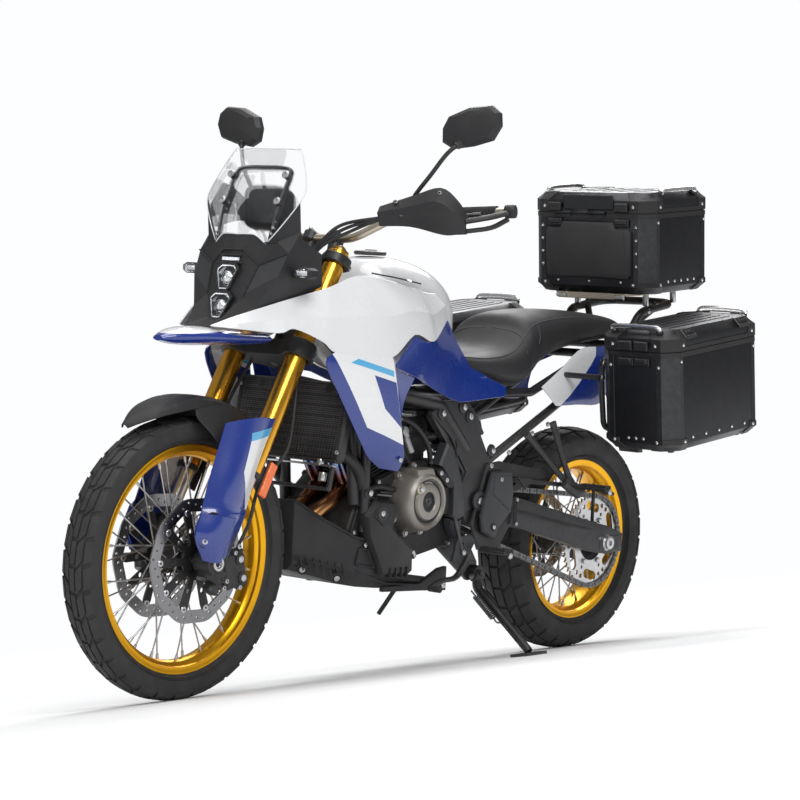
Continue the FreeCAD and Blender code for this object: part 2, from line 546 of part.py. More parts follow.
arm_inner = dim.arm_place - dim.arm_thickness / 2
arm_outer = dim.arm_place + dim.arm_thickness / 2
rear_axle = disc_y(dim.axle_radius, -dim.rear_axle_half_length, dim.rear_axle_half_length)
for ends in ((sprocket_start + dim.sprocket_thickness + dim.seat_gap, arm_inner - dim.seat_gap),
             (-arm_inner + dim.seat_gap, -dim.rear_disc_place - dim.rim_lip - dim.seat_gap)):
    rear_axle = rear_axle.fuse(disc_y(dim.axle_radius * 1.5, ends[0], ends[1]))
for side in (1, -1):
    ends = sorted((side * (arm_outer + dim.seat_gap),
                   side * (arm_outer + dim.seat_gap + dim.axle_nut_length)))
    rear_axle = rear_axle.fuse(disc_y(dim.axle_nut_radius, ends[0], ends[1]))
rear_axle = rear_axle.cut(disc_y(dim.axle_bore_radius, -2 * dim.rear_axle_half_length,
                                 2 * dim.rear_axle_half_length))
shape_node("rear_axle", rear_axle).Placement = Placement(rear_axle_place, Rotation())

# Swingarm: two tapered beams from the pivot, bridged ahead of the tyre
pivot = Vector(dim.pivot_x, 0, dim.pivot_z)


def arm_section(x, inner, outer, low, high):
    return [Vector(x, inner, low), Vector(x, outer, low), Vector(x, outer, high),
            Vector(x, inner, high)]


rear_axle_z = dim.rear_tyre_radius
bridge_back = dim.arm_bridge_x
bridge_front = dim.arm_bridge_x + dim.arm_bridge_length
arm = loft([
    arm_section(-dim.arm_tip_back, arm_inner, arm_outer, rear_axle_z - dim.arm_tip_height * 0.45,
                rear_axle_z + dim.arm_tip_height * 0.4),
    arm_section(0, arm_inner, arm_outer, rear_axle_z - dim.arm_tip_height * 0.55,
                rear_axle_z + dim.arm_tip_height * 0.8),
    arm_section(dim.arm_tip_height, arm_inner, arm_outer, rear_axle_z - dim.arm_tip_height * 0.4,
                rear_axle_z + dim.arm_tip_height),
    arm_section(bridge_back, arm_inner - dim.arm_thickness * 0.3, arm_outer - dim.arm_thickness * 0.3,
                dim.pivot_z - dim.arm_height, dim.pivot_z),
    arm_section(bridge_front, dim.arm_pivot_place - dim.arm_thickness * 1.1,
                dim.arm_pivot_place - dim.overrun, dim.pivot_z - dim.arm_height * 0.8,
                dim.pivot_z + dim.arm_height * 0.1),
    arm_section(dim.pivot_x, dim.arm_pivot_place - dim.arm_thickness,
                dim.arm_pivot_place - dim.seat_gap, dim.pivot_z - dim.pivot_boss_radius,
                dim.pivot_z + dim.pivot_boss_radius)])
arm = arm.fuse(disc_y(dim.pivot_boss_radius + dim.seat_gap, dim.arm_pivot_place - dim.arm_thickness,
                      dim.arm_pivot_place - dim.seat_gap, pivot))
axle_hole = disc_y(dim.axle_radius, 0, 2 * dim.arm_place, rear_axle_place)
arm = arm.cut(axle_hole)
arms = arm.fuse(arm.mirror(CENTRE, Y_AXIS))
bridge = block(bridge_back, bridge_front, -dim.arm_pivot_place + dim.arm_thickness / 2,
               dim.arm_pivot_place - dim.arm_thickness / 2, dim.pivot_z - dim.arm_height * 0.75,
               dim.pivot_z - dim.arm_height * 0.15)
arms = arms.fuse(bridge)
pivot_bolt = disc_y(dim.pivot_radius, -dim.plate_place - dim.plate_thickness - dim.overrun,
                    dim.plate_place + dim.plate_thickness + dim.overrun, pivot)
arms = arms.cut(pivot_bolt)
shape_node("swingarm", arms)

# Final drive chain: side plates in a loop round both sprockets, pinned along the straight runs
drive_centre = Vector(dim.drive_x, 0, dim.drive_z)
span = math.hypot(dim.drive_x, dim.drive_z - rear_axle_z)
run_slope = math.atan2(dim.drive_z - rear_axle_z, dim.drive_x)
taper = math.asin((sprocket_pitch_radius - dim.drive_sprocket_radius) / span)


def chain_loop(offset):
    """The loop's outline in X-Z, offset from the pitch line."""
    points = []
    for centre, radius, first, last in (
            (rear_axle_place, sprocket_pitch_radius + offset, 90 - math.degrees(taper), 270 + math.degrees(taper)),
            (drive_centre, dim.drive_sprocket_radius + offset, math.degrees(taper) - 90, 90 - math.degrees(taper))):
        steps = 14
        for step in range(steps + 1):
            angle = math.radians(first + (last - first) * step / steps) + run_slope
            points.append((centre.x + math.cos(angle) * radius, centre.z + math.sin(angle) * radius))
    return points


chain_parts = []
plate_offset = dim.chain_inner_half
for side in (1, -1):
    ends = sorted((dim.chain_line + side * plate_offset,
                   dim.chain_line + side * (plate_offset + dim.chain_plate_thickness)))
    loop = prism(chain_loop(dim.chain_half_height), ends[0], ends[1])
    chain_parts.append(loop.cut(prism(chain_loop(-dim.chain_half_height), ends[0] - dim.overrun,
                                      ends[1] + dim.overrun)))
chain = chain_parts[0].fuse(chain_parts[1])
upper_normal = math.pi / 2 - taper + run_slope
lower_normal = taper - math.pi / 2 + run_slope
for normal in (upper_normal, lower_normal):
    start = rear_axle_place + Vector(math.cos(normal), 0, math.sin(normal)) * sprocket_pitch_radius
    end = drive_centre + Vector(math.cos(normal), 0, math.sin(normal)) * dim.drive_sprocket_radius
    run = end - start
    links = int(run.Length / dim.chain_pitch) - 1
    for index in range(3, links, 4):
        place = start + run * ((index + 0.5) * dim.chain_pitch / run.Length)
        chain = chain.fuse(disc_y(dim.chain_roller_radius, dim.chain_line - plate_offset - dim.overrun / 4,
                                  dim.chain_line + plate_offset + dim.overrun / 4, place))
shape_node("chain", chain)

chain_guard_shares = (
    (1, 1), (0.235, 0.507), (0.086, 0.394), (0, 0.113), (0.007, 0), (0.09, 0.239), (0.235, 0.338),
    (1, 0.831))
guard = prism(outline_of("chain_guard", chain_guard_shares), dim.chain_line - dim.arm_thickness / 2,
              dim.chain_line + dim.arm_thickness - dim.overrun)
for post_x in (dim.guard_post_x, dim.guard_post_x - dim.guard_post_gap):
    guard = guard.fuse(Part.makeCylinder(dim.guard_post_radius, dim.chain_guard_z + dim.chain_guard_height / 2,
                                         Vector(post_x, dim.guard_post_place, 0)).cut(
        block(-dim.wheelbase, dim.wheelbase, 0, dim.wheelbase, 0, rear_axle_z)))
shape_node("chain_guard", largest(guard.cut(arms)))

# Fork, drawn along the steering axis and then laid back to the rake
fork_frame = Placement(Vector(dim.wheelbase + dim.trail, 0, 0), Rotation(Y_AXIS, -dim.rake_angle))


def leg_bar(radius, start, end, offset=0.0, place=0.0):
    """A round bar along the steering axis."""
    return Part.makeCylinder(radius, end - start, Vector(offset, place, start))


def fork_node(label, *shapes):
    piece = shape_node(label, *shapes)
    piece.Placement = fork_frame
    return piece


axle_local = fork_frame.inverse().multVec(front_axle_place)
outer_legs, inner_legs, castings = [], [], []
for side in (1, -1):
    place = side * dim.leg_place
    outer = leg_bar(dim.outer_tube_radius, dim.outer_tube_start, dim.outer_tube_end,
                    dim.fork_offset, place)
    outer_legs.append(outer)
    inner_legs.append(leg_bar(dim.inner_tube_radius, dim.lower_casting_end + dim.seat_gap,
                              dim.outer_tube_start - dim.seat_gap, dim.fork_offset, place))
    casting = leg_bar(dim.lower_casting_radius, dim.lower_casting_start, dim.lower_casting_end,
                      dim.fork_offset, place)
    casting = casting.fuse(Part.makeCylinder(dim.lower_casting_radius, 2 * dim.lower_casting_radius,
                                             axle_local + Vector(0, place - dim.lower_casting_radius, 0),
                                             Y_AXIS))
    castings.append(casting)
axle_hole = Part.makeCylinder(dim.axle_radius, 4 * dim.leg_place,
                              axle_local - Vector(0, 2 * dim.leg_place, 0), Y_AXIS)
fork_node("fork_tubes", *outer_legs)
fork_node("fork_lowers", *inner_legs, *[casting.cut(axle_hole) for casting in castings])


def yoke(start, height):
    """A clamp plate round both legs and the stem."""
    reach = dim.outer_tube_radius + dim.yoke_margin
    plate = leg_bar(reach, start, start + height, dim.fork_offset, dim.leg_place)
    plate = plate.fuse(leg_bar(reach, start, start + height, dim.fork_offset, -dim.leg_place))
    front, wide = dim.fork_offset + dim.outer_tube_radius, dim.leg_place
    web = [Vector(front, -wide, start), Vector(front, wide, start),
           Vector(dim.fork_offset - dim.outer_tube_radius, wide + dim.yoke_margin, start),
           Vector(-dim.head_radius * 0.9, dim.head_radius / 2, start),
           Vector(-dim.head_radius * 0.9, -dim.head_radius / 2, start),
           Vector(dim.fork_offset - dim.outer_tube_radius, -wide - dim.yoke_margin, start)]
    middle = flat_face(web).extrude(Vector(0, 0, height))
    plate = plate.fuse(middle).fuse(leg_bar(dim.head_radius, start, start + height))
    for side in (1, -1):
        plate = plate.cut(leg_bar(dim.outer_tube_radius + dim.seat_gap, 0, 2 * dim.outer_tube_end,
                                  dim.fork_offset, side * dim.leg_place))
    return plate


stem = leg_bar(dim.stem_radius, dim.lower_yoke_start, dim.upper_yoke_start + dim.upper_yoke_height)
yokes = yoke(dim.lower_yoke_start, dim.lower_yoke_height).fuse(stem)
yokes = yokes.fuse(yoke(dim.upper_yoke_start, dim.upper_yoke_height))
handlebar_shares = ((1, 0, 0), (0.98, 0.206, 0.023), (0.641, 0.444, 0.767), (0, 1, 1))
bar_points = path_of("handlebar", handlebar_shares)
bar_local = [fork_frame.inverse().multVec(point) for point in bar_points]
for side in (1, -1):
    riser = leg_bar(dim.riser_radius, dim.upper_yoke_start + dim.upper_yoke_height - dim.seat_gap,
                    bar_local[0].z, bar_local[0].x, side * dim.riser_place)
    yokes = yokes.fuse(riser)
bar_half = tube(bar_points, dim.bar_radius, dim.bar_bend)
bar = bar_half.fuse(bar_half.mirror(CENTRE, Y_AXIS))
room_half = tube(bar_points, dim.bar_radius + dim.seat_gap, dim.bar_bend)
bar_room = room_half.fuse(room_half.mirror(CENTRE, Y_AXIS))
yokes_placed = yokes.copy()
yokes_placed.Placement = fork_frame
yokes_placed = yokes_placed.cut(bar_room)
shape_node("yokes", yokes_placed)
shape_node("handlebar", bar)

grip_end = bar_points[-1]
grip_way = (bar_points[-2] - bar_points[-1]).normalize()
grip = Part.makeCylinder(dim.grip_radius, dim.grip_length, grip_end, grip_way)
grip = grip.cut(Part.makeCylinder(dim.bar_radius + dim.seat_gap, 2 * dim.grip_length,
                                  grip_end - grip_way * dim.overrun, grip_way))
switch_start = grip_end + grip_way * (dim.grip_length + dim.seat_gap)
switch = Part.makeCylinder(dim.grip_radius * 1.35, dim.grip_length * 0.42, switch_start, grip_way)
switch = switch.cut(Part.makeCylinder(dim.bar_radius + dim.seat_gap, dim.grip_length,
                                      switch_start - grip_way * dim.overrun, grip_way))
lever_root = switch_start + grip_way * dim.grip_length * 0.2 + Vector(dim.grip_radius * 2.2, 0, 0)
lever = tube([lever_root, lever_root - grip_way * dim.grip_length * 0.3 + Vector(dim.grip_radius, 0, 0),
              lever_root - grip_way * dim.grip_length * 1.1 + Vector(dim.grip_radius * 0.9, 0, 0)],
             dim.lever_radius, dim.bar_radius)
perch = Part.makeCylinder(dim.lever_radius * 1.6, dim.grip_radius * 2.3,
                          switch_start + grip_way * dim.grip_length * 0.2 + Vector(dim.grip_radius * 0.9, 0, 0),
                          Vector(1, 0, 0))
shape_node("controls", *both_sides(grip), *both_sides(switch.fuse(perch).fuse(lever)))

# Hand guards sweep round the levers from the bend in the bar to its end
hand_guard_shares = (
    ((0.98, 0, 0.544), (0.791, 0.289, 0.816), (0.699, 0.548, 1), (0.597, 0.689, 0.737), (0.515,
     0.763, 0.404), (0.291, 0.911, 0.491), (0, 0.993, 0.588)),
    ((1, 0, 0.281), (0.842, 0.289, 0.386), (0.77, 0.57, 0.447), (0.668, 0.7, 0.307), (0.546, 0.77,
     0.219), (0.296, 0.919, 0.316), (0, 0.996, 0.456)),
    ((0.969, 0, 0.132), (0.801, 0.27, 0.149), (0.714, 0.604, 0), (0.617, 0.704, 0.018), (0.536,
     0.778, 0.035), (0.281, 0.926, 0.149), (0, 1, 0.325)))
guard = formed("hand_guard", hand_guard_shares, Vector(-dim.guard_wall, -dim.guard_wall / 2, 0))
guard_end = dim.hand_guard_y + dim.hand_guard_width
guard = guard.fuse(block(bar_points[-1].x - dim.grip_radius, bar_points[-1].x + dim.grip_radius,
                         bar_points[-1].y + dim.seat_gap, guard_end,
                         bar_points[-1].z - dim.grip_radius, bar_points[-1].z + dim.bar_radius))
guard_root = path_of("hand_guard", hand_guard_shares[1])[0]
guard = guard.fuse(Part.makeCylinder(dim.bracket_radius, guard_root.x - bar_points[2].x,
                                     Vector(bar_points[2].x, guard_root.y + dim.bracket_radius, guard_root.z),
                                     Vector(1, 0, 0)))
shape_node("handguards", *both_sides(guard.cut(bar_room).cut(grip)))

mirror_stem_shares = (
    (0.194, 0, 0), (0.935, 0.017, 0.048), (1, 0.241, 0.302), (0.484, 0.776, 0.815), (0, 1, 1))
stem_points = path_of("mirror_stem", mirror_stem_shares)
mirror_stem = tube(stem_points, dim.mirror_stem_radius, dim.mirror_bend)
mirror_outline_shares = ((-0.5, -0.3), (-0.28, -0.5), (0.36, -0.42), (0.5, 0.05), (0.4, 0.42), (0.0, 0.5),
                         (-0.42, 0.36))
mirror_x = dim.wheelbase + dim.mirror_x
mirror_face = [Vector(mirror_x, dim.mirror_y + across * dim.mirror_width,
                      dim.mirror_z + up * dim.mirror_height) for across, up in mirror_outline_shares]
mirror_back = [Vector(mirror_x + dim.mirror_depth, dim.mirror_y + across * dim.mirror_width * 0.6,
                      dim.mirror_z + up * dim.mirror_height * 0.6) for across, up in mirror_outline_shares]
mirror_head = loft([mirror_face, mirror_back])
shape_node("mirrors", *both_sides(mirror_stem.fuse(mirror_head).cut(bar_room)))

# Front mudguard: a channel turned about the axle over part of a circle
fender_radius = dim.front_tyre_radius + dim.fender_gap
fender_outer = [(-dim.fender_half_width, fender_radius - dim.fender_skirt),
                (-dim.fender_half_width, fender_radius - dim.fender_skirt * 0.4),
                (-dim.fender_half_width * 0.6, fender_radius),
                (dim.fender_half_width * 0.6, fender_radius),
                (dim.fender_half_width, fender_radius - dim.fender_skirt * 0.4),
                (dim.fender_half_width, fender_radius - dim.fender_skirt)]
fender_inner = [(y - math.copysign(dim.fender_wall, y), min(z, fender_radius - dim.fender_wall))
                for y, z in fender_outer]
fender_ring = [Vector(0, y, z) for y, z in fender_outer + fender_inner[::-1]]
fender_face = Part.Face(Part.makePolygon(fender_ring + fender_ring[:1]))
fender_face.Placement = Placement(front_axle_place, Rotation(Y_AXIS, 90 - dim.fender_start_angle))
fender = fender_face.revolve(front_axle_place, Y_AXIS, dim.fender_start_angle - dim.fender_end_angle)
fender_stud = disc_y(dim.stud_radius, dim.fender_half_width - dim.fender_wall / 2,
                     dim.leg_place - dim.outer_tube_radius - dim.seat_gap,
                     front_axle_place + Vector(dim.fender_stud_x, 0, dim.fender_stud_z))
for side_stud in both_sides(fender_stud):
    fender = fender.fuse(side_stud)
shape_node("front_fender", fender)

# Fork guards over the lower legs
fork_guard_shares = (
    (0, 0.988), (0.302, 1), (0.62, 0.959), (1, 0.189), (0.89, 0), (0.616, 0.018), (0.412, 0.337),
    (0.2, 0.751))
fork_guard_inner = dim.fork_guard_place + dim.outer_tube_radius / 4
fork_guard = prism(outline_of("fork_guard", fork_guard_shares), fork_guard_inner,
                   fork_guard_inner + dim.fork_guard_wall)
fork_guard_studs_shares = ((1, 0), (0, 1))
fork_guard = fork_guard.fuse(studs("fork_guard_studs", fork_guard_studs_shares,
                                   dim.leg_place + dim.lower_casting_radius + dim.seat_gap,
                                   fork_guard_inner + dim.fork_guard_wall / 2))
shape_node("fork_guards", *both_sides(fork_guard))

# Front calipers straddle the discs behind the legs
caliper_centre = front_axle_place + Vector(-dim.front_disc_radius * 0.86, 0, dim.front_disc_radius * 0.35)
caliper = block(caliper_centre.x - dim.caliper_height / 2, caliper_centre.x + dim.caliper_height / 2,
                dim.front_disc_place - dim.caliper_half_width * 0.7, dim.front_disc_place + dim.caliper_half_width,
                caliper_centre.z - dim.caliper_length / 2, caliper_centre.z + dim.caliper_length / 2)
caliper = caliper.cut(disc_y(dim.front_disc_radius + dim.caliper_slot, dim.front_disc_place - dim.caliper_slot,
                             dim.front_disc_place + dim.caliper_slot, front_axle_place))
casting_room = leg_bar(dim.lower_casting_radius + dim.seat_gap, 0, dim.outer_tube_end, dim.fork_offset,
                       dim.leg_place)
casting_room.Placement = fork_frame
caliper_outer = dim.front_disc_place + dim.caliper_half_width
bracket = block(caliper_centre.x, caliper_centre.x + dim.caliper_length,
                caliper_outer - dim.caliper_bracket_width, caliper_outer,
                caliper_centre.z - dim.caliper_length / 4, caliper_centre.z + dim.caliper_length / 4)
bracket = bracket.cut(casting_room)
bracket = min(bracket.Solids, key=lambda solid: solid.CenterOfMass.x)
shape_node("front_calipers", *both_sides(caliper.fuse(bracket)))

# Engine: one closed block with its covers, cylinders leaning forward
crankcase_shares = (
    (1, 0.3), (0.923, 0.63), (0.79, 0.825), (0.481, 0.973), (0.205, 1), (0.029, 0.825), (0, 0.319),
    (0.088, 0.105), (0.415, 0), (0.812, 0), (0.967, 0.105))
cylinders_shares = ((0, 0.2), (0.688, 0), (1, 0.8), (0.917, 0.94), (0.479, 1), (0.188, 0.9))
engine = prism(outline_of("crankcase", crankcase_shares), -dim.crankcase_half_width, dim.crankcase_half_width)
engine = engine.fuse(prism(outline_of("cylinders", cylinders_shares), -dim.cylinders_half_width,
                           dim.cylinders_half_width))
drive_room = dim.drive_sprocket_radius + dim.chain_half_height + dim.overrun
recess_start = dim.crankcase_half_width - dim.drive_recess
recess = disc_y(drive_room, recess_start, 2 * dim.chain_line, drive_centre)
recess = recess.fuse(block(dim.crankcase_x - dim.overrun, dim.drive_x, recess_start, 2 * dim.chain_line,
                           dim.drive_z - 2 * drive_room, dim.drive_z + drive_room))
drive_half = dim.sprocket_thickness / 2
drive_sprocket = disc_y(dim.drive_shaft_radius, recess_start, dim.chain_line + drive_half, drive_centre)
drive_sprocket = drive_sprocket.fuse(disc_y(dim.drive_sprocket_radius - dim.chain_half_height / 2,
                                            dim.chain_line - drive_half, dim.chain_line + drive_half,
                                            drive_centre))
engine = engine.cut(recess).fuse(drive_sprocket)
shape_node("engine", engine)


def side_cover(x, z, radius, face, side):
    """A stepped round cover on the crankcase's side."""
    start = dim.crankcase_half_width + dim.seat_gap
    step = start + (face - start) * 0.6
    cover = disc_y(radius, start, step, Vector(x, 0, z))
    cover = cover.fuse(Part.makeCone(radius, radius * 0.8, face - step, Vector(x, step, z), Y_AXIS))
    return cover if side > 0 else cover.mirror(CENTRE, Y_AXIS)


shape_node("engine_covers",
           side_cover(dim.generator_x, dim.generator_z, dim.generator_radius, dim.generator_face, 1),
           side_cover(dim.clutch_x, dim.clutch_z, dim.clutch_radius, dim.clutch_face, -1),
           side_cover(dim.sprocket_cover_x, dim.drive_z, dim.sprocket_cover_radius,
                      dim.sprocket_cover_face, 1))

# Frame
main_beam_shares = (
    (1, 0, 1), (0.877, 0.711, 0.69), (0.736, 0.992, 0.465), (0.226, 1, 0.344), (0, 0.983, 0))
down_tube_shares = ((1, 0, 1), (0, 1, 0))
head_tube = leg_bar(dim.head_radius, dim.lower_yoke_start + dim.lower_yoke_height + dim.head_clearance,
                    dim.upper_yoke_start - dim.head_clearance)
head_bore = leg_bar(dim.stem_radius + dim.seat_gap, 0, 2 * dim.outer_tube_end)
head_tube.Placement = fork_frame
head_bore.Placement = fork_frame
frame = head_tube
for name, shares, radius in (("main_beam", main_beam_shares, dim.beam_radius),
                             ("down_tube", down_tube_shares, dim.down_tube_radius)):
    for side_tube in both_sides(tube(path_of(name, shares), radius, dim.beam_bend)):
        frame = frame.fuse(side_tube)
pivot_plate_shares = (
    (0.831, 1), (0.494, 1), (0, 0.409), (0.094, 0.059), (0.401, 0), (0.468, 0.104), (0.476, 0.401),
    (1, 0.846))
plate = prism(outline_of("pivot_plate", pivot_plate_shares), dim.plate_place,
              dim.plate_place + dim.plate_thickness)
for side_plate in both_sides(plate):
    frame = frame.fuse(side_plate)
stay = Part.makeBox(dim.stay_length, 2 * dim.stay_half_width, dim.stay_height,
                    Vector(0, -dim.stay_half_width, dim.stay_start))
stay.Placement = fork_frame
stand_leg_shares = ((0, 0, 1), (0, 0.03, 0.774), (1, 1, 0))
stand_points = path_of("stand_leg", stand_leg_shares)
stand_pivot = stand_points[0]
stand_pin = disc_y(dim.stand_pivot_radius, stand_pivot.y - dim.stand_boss_length,
                   stand_pivot.y + dim.stand_boss_length, Vector(stand_pivot.x, 0, stand_pivot.z))
stand_bracket_outer = stand_pivot.y - dim.stand_boss_length / 2 - dim.seat_gap
stand_bracket_shares = ((0, 0.01), (0.198, 0), (1, 0.598), (0.802, 1), (0.356, 0.742), (0.01, 0.253))
stand_bracket = prism(outline_of("stand_bracket", stand_bracket_shares),
                      stand_bracket_outer - dim.hanger_thickness, stand_bracket_outer)
shock_tube_centre = Vector(dim.shock_tube_x, 0, dim.shock_tube_z)
shock_tube_room = disc_y(dim.shock_tube_radius + dim.seat_gap, -dim.plate_place, dim.plate_place,
                         shock_tube_centre)
frame = frame.fuse(disc_y(dim.shock_tube_radius, -dim.plate_place - dim.overrun, dim.plate_place + dim.overrun,
                          shock_tube_centre))
frame = frame.fuse(stay).fuse(stand_bracket).fuse(stand_pin).cut(head_bore).fuse(pivot_bolt)
frame = frame.cut(engine)
shape_node("frame", frame)

seat_rail_shares = (
    (1, 1, 0), (0.812, 0.545, 0.068), (0.541, 0.545, 0.102), (0.224, 0.545, 0.837), (0, 0, 1))
lower_rail_shares = ((1, 1, 0), (0.466, 0, 0.447), (0.145, 0, 0.747), (0, 0, 1))
rails = []
for name, shares in (("seat_rail", seat_rail_shares), ("lower_rail", lower_rail_shares)):
    rails.append(tube(path_of(name, shares), dim.rail_radius, dim.rail_bend))
rail_points = path_of("seat_rail", seat_rail_shares)
half_frame = rails[0].fuse(rails[1])
subframe = half_frame.fuse(half_frame.mirror(CENTRE, Y_AXIS))
for point in (rail_points[1], rail_points[-2], rail_points[-1]):
    subframe = subframe.fuse(disc_y(dim.rail_radius, -point.y, point.y, Vector(point.x, 0, point.z)))
subframe = subframe.cut(frame)
shape_node("subframe", subframe)

# Exhaust
header_shares = (
    (0.656, 0.389, 1), (0.944, 0.222, 0.981), (1, 0.111, 0.57), (0.917, 0, 0.19), (0.694, 0.778,
    0.013), (0, 1, 0))
mid_pipe_shares = ((1, 1, 0.524), (0.684, 0.775, 0.333), (0.289, 0.324, 0), (0, 0, 1))
headers = both_sides(tube(path_of("header", header_shares), dim.header_radius, dim.header_bend))
mid_points = path_of("mid_pipe", mid_pipe_shares)
mid_points[-1] = Vector(dim.muffler_x, -dim.muffler_y, dim.muffler_z)
mid_pipe = tube(mid_points, dim.mid_pipe_radius, dim.mid_pipe_bend)
muffler_way = Vector(-math.cos(math.radians(dim.muffler_angle)), 0, math.sin(math.radians(dim.muffler_angle)))
muffler_start = Vector(dim.muffler_x, -dim.muffler_y, dim.muffler_z)
muffler = Part.makeCylinder(dim.muffler_radius, dim.muffler_length, muffler_start, muffler_way)
muffler_end = muffler_start + muffler_way * dim.muffler_length
muffler = muffler.cut(Part.makeCylinder(dim.tail_pipe_radius, dim.muffler_radius,
                                        muffler_end - muffler_way * dim.muffler_radius / 2, muffler_way))
exhaust = mid_pipe.fuse(muffler)
for header in headers:
    exhaust = exhaust.fuse(header)
exhaust = exhaust.fuse(block(dim.header_x - dim.header_bend, dim.header_x + dim.header_bend,
                             -sized("header", "y") - 2 * dim.header_radius, sized("header", "y") + 2 * dim.header_radius,
                             sized("header", "z") - dim.header_radius, sized("header", "z") + dim.header_radius))
shape_node("exhaust", exhaust.cut(engine))

# Skid plate
skid_shares = (
    (1, 0.338, 0.282, 1, 0.113), (0.889, 0.676, 0.218, 0.815, 0.197), (0.743, 0.972, 0.129, 0.637,
    0.254), (0.652, 1, 0.097, 0.597, 0.254), (0.504, 1, 0.065, 0.242, 0.239), (0, 0.845, 0, 0.097,
    0.07))
skid_sections = []
for along, wide, low, high, edge in skid_shares:
    x = dim.skid_x + along * dim.skid_length
    half = wide * dim.skid_half_width
    bottom, top = dim.skid_z + low * dim.skid_height, dim.skid_z + high * dim.skid_height
    chamfer, wall = edge * dim.skid_half_width, dim.skid_wall
    left = [(half, top), (half, bottom + chamfer), (half - chamfer, bottom)]
    inside = [(half - chamfer - wall / 2, bottom + wall), (half - wall, bottom + chamfer + wall / 2),
              (half - wall, top)]
    ring = left + [(-y, z) for y, z in left[::-1]] + [(-y, z) for y, z in inside[::-1]] + inside
    skid_sections.append([Vector(x, y, z) for y, z in ring])
skid = loft(skid_sections)
nose_ring = skid_sections[0][:6] if skid_sections[0][0].x > skid_sections[-1][0].x else skid_sections[-1][:6]
skid = skid.fuse(flat_face(nose_ring).extrude(Vector(dim.skid_wall, 0, 0)))
skid_studs_shares = ((0, 0), (1, 1))
for x, z in outline_of("skid_studs", skid_studs_shares):
    for side in (1, -1):
        skid = skid.fuse(Part.makeCylinder(dim.stud_radius, z - dim.skid_z - dim.skid_wall * 3.25 - dim.seat_gap,
                                           Vector(x, side * dim.skid_stud_place, dim.skid_z + dim.skid_wall * 3.25)))
shape_node("skid_plate", skid.cut(engine))

# Room for what turns with the fork: the legs and yokes sweep part of a ring about the stem
leg_reach = math.hypot(dim.fork_offset, dim.leg_place)
leg_half = dim.outer_tube_radius + dim.yoke_margin + dim.sweep_clearance
leg_turn = math.degrees(math.atan2(dim.leg_place, dim.fork_offset))
sweep_angle = leg_turn + math.degrees(math.asin(leg_half / leg_reach)) + dim.steering_limit_angle
swept = [CENTRE, Vector(leg_reach + leg_half, 0, 0),
         Vector(leg_reach + leg_half, 0, 2 * dim.outer_tube_end), Vector(0, 0, 2 * dim.outer_tube_end)]
swept_face = flat_face(swept)
swept_face.rotate(CENTRE, Vector(0, 0, 1), -sweep_angle)
turning_room = swept_face.revolve(CENTRE, Vector(0, 0, 1), 2 * sweep_angle)
turning_room = turning_room.fuse(leg_bar(dim.head_radius + dim.sweep_clearance, 0, 2 * dim.outer_tube_end))
for side in (1, -1):
    limit_room = block(0, leg_reach, -leg_half, leg_half, 0, 2 * dim.outer_tube_end)
    limit_room.rotate(CENTRE, Vector(0, 0, 1), side * (leg_turn + dim.steering_limit_angle))
    turning_room = turning_room.fuse(limit_room)
turning_room.Placement = fork_frame

# Radiator
radiator = block(0, dim.radiator_depth, -dim.radiator_half_width, dim.radiator_half_width,
                 0, dim.radiator_height)
for side in (1, -1):
    radiator = radiator.fuse(Part.makeCylinder(
        dim.stud_radius, dim.radiator_half_width, Vector(dim.overrun, side * dim.radiator_bar_place,
                                                         dim.radiator_bar_height), Vector(-1, 0, 0)))
radiator.Placement = Placement(Vector(dim.wheelbase + dim.radiator_x, 0, dim.radiator_low),
                               Rotation(Y_AXIS, -dim.radiator_angle))
down_tube_path = path_of("down_tube", down_tube_shares)
tube_room = [Part.makeCylinder(dim.down_tube_radius + dim.seat_gap, (down_tube_path[0] - down_tube_path[1]).Length,
                               down_tube_path[1], down_tube_path[0] - down_tube_path[1])]
tube_room.append(tube_room[0].mirror(CENTRE, Y_AXIS))
radiator = largest(radiator.cut(tube_room).cut(turning_room))
shape_node("radiator", radiator)

# Tank, seat and panels
tank_shares = (
    (0, 0.548, 0.263, 0.619, 0.164), (0.087, 0.74, 0.159, 0.81, 0.233), (0.261, 0.89, 0.048, 0.937,
    0.301), (0.5, 0.986, 0, 1, 0.384), (0.761, 1, 0.048, 0.981, 0.342), (0.902, 0.993, 0.143,
    0.911, 0.301), (1, 0.959, 0.27, 0.848, 0.274))
seat_shares = (
    (1, 0.486, 0.209, 0.47, 0.108), (0.931, 0.709, 0.144, 0.423, 0.135), (0.841, 0.892, 0.069,
    0.442, 0.176), (0.739, 0.986, 0.004, 0.544, 0.203), (0.668, 1, 0, 0.763, 0.23), (0.617, 0.946,
    0.134, 0.935, 0.23), (0.47, 0.892, 0.414, 1, 0.23), (0.278, 0.824, 0.553, 1, 0.216), (0.099,
    0.73, 0.628, 0.953, 0.189), (0, 0.541, 0.67, 0.879, 0.122))
tank = largest(hull("tank", tank_shares).cut(turning_room).cut(frame))
shape_node("fuel_tank", tank)
tank_top = dim.tank_z + dim.tank_height
cap_along_share = 0.555
cap_x = dim.tank_x + (dim.wheelbase - dim.tank_back - dim.tank_x) * cap_along_share
cap_hinge = Vector(cap_x + dim.cap_radius, 0, tank_top + dim.cap_height)
cap = Part.makeCylinder(dim.cap_radius, dim.cap_height, Vector(cap_x, 0, tank_top + dim.seat_gap))
cap_knuckle = disc_y(dim.cap_height / 2, -dim.cap_radius / 2, dim.cap_radius / 2, cap_hinge)
shape_node("fuel_cap", cap.fuse(cap_knuckle).cut(disc_y(dim.hinge_bore, -dim.cap_radius, dim.cap_radius, cap_hinge)))


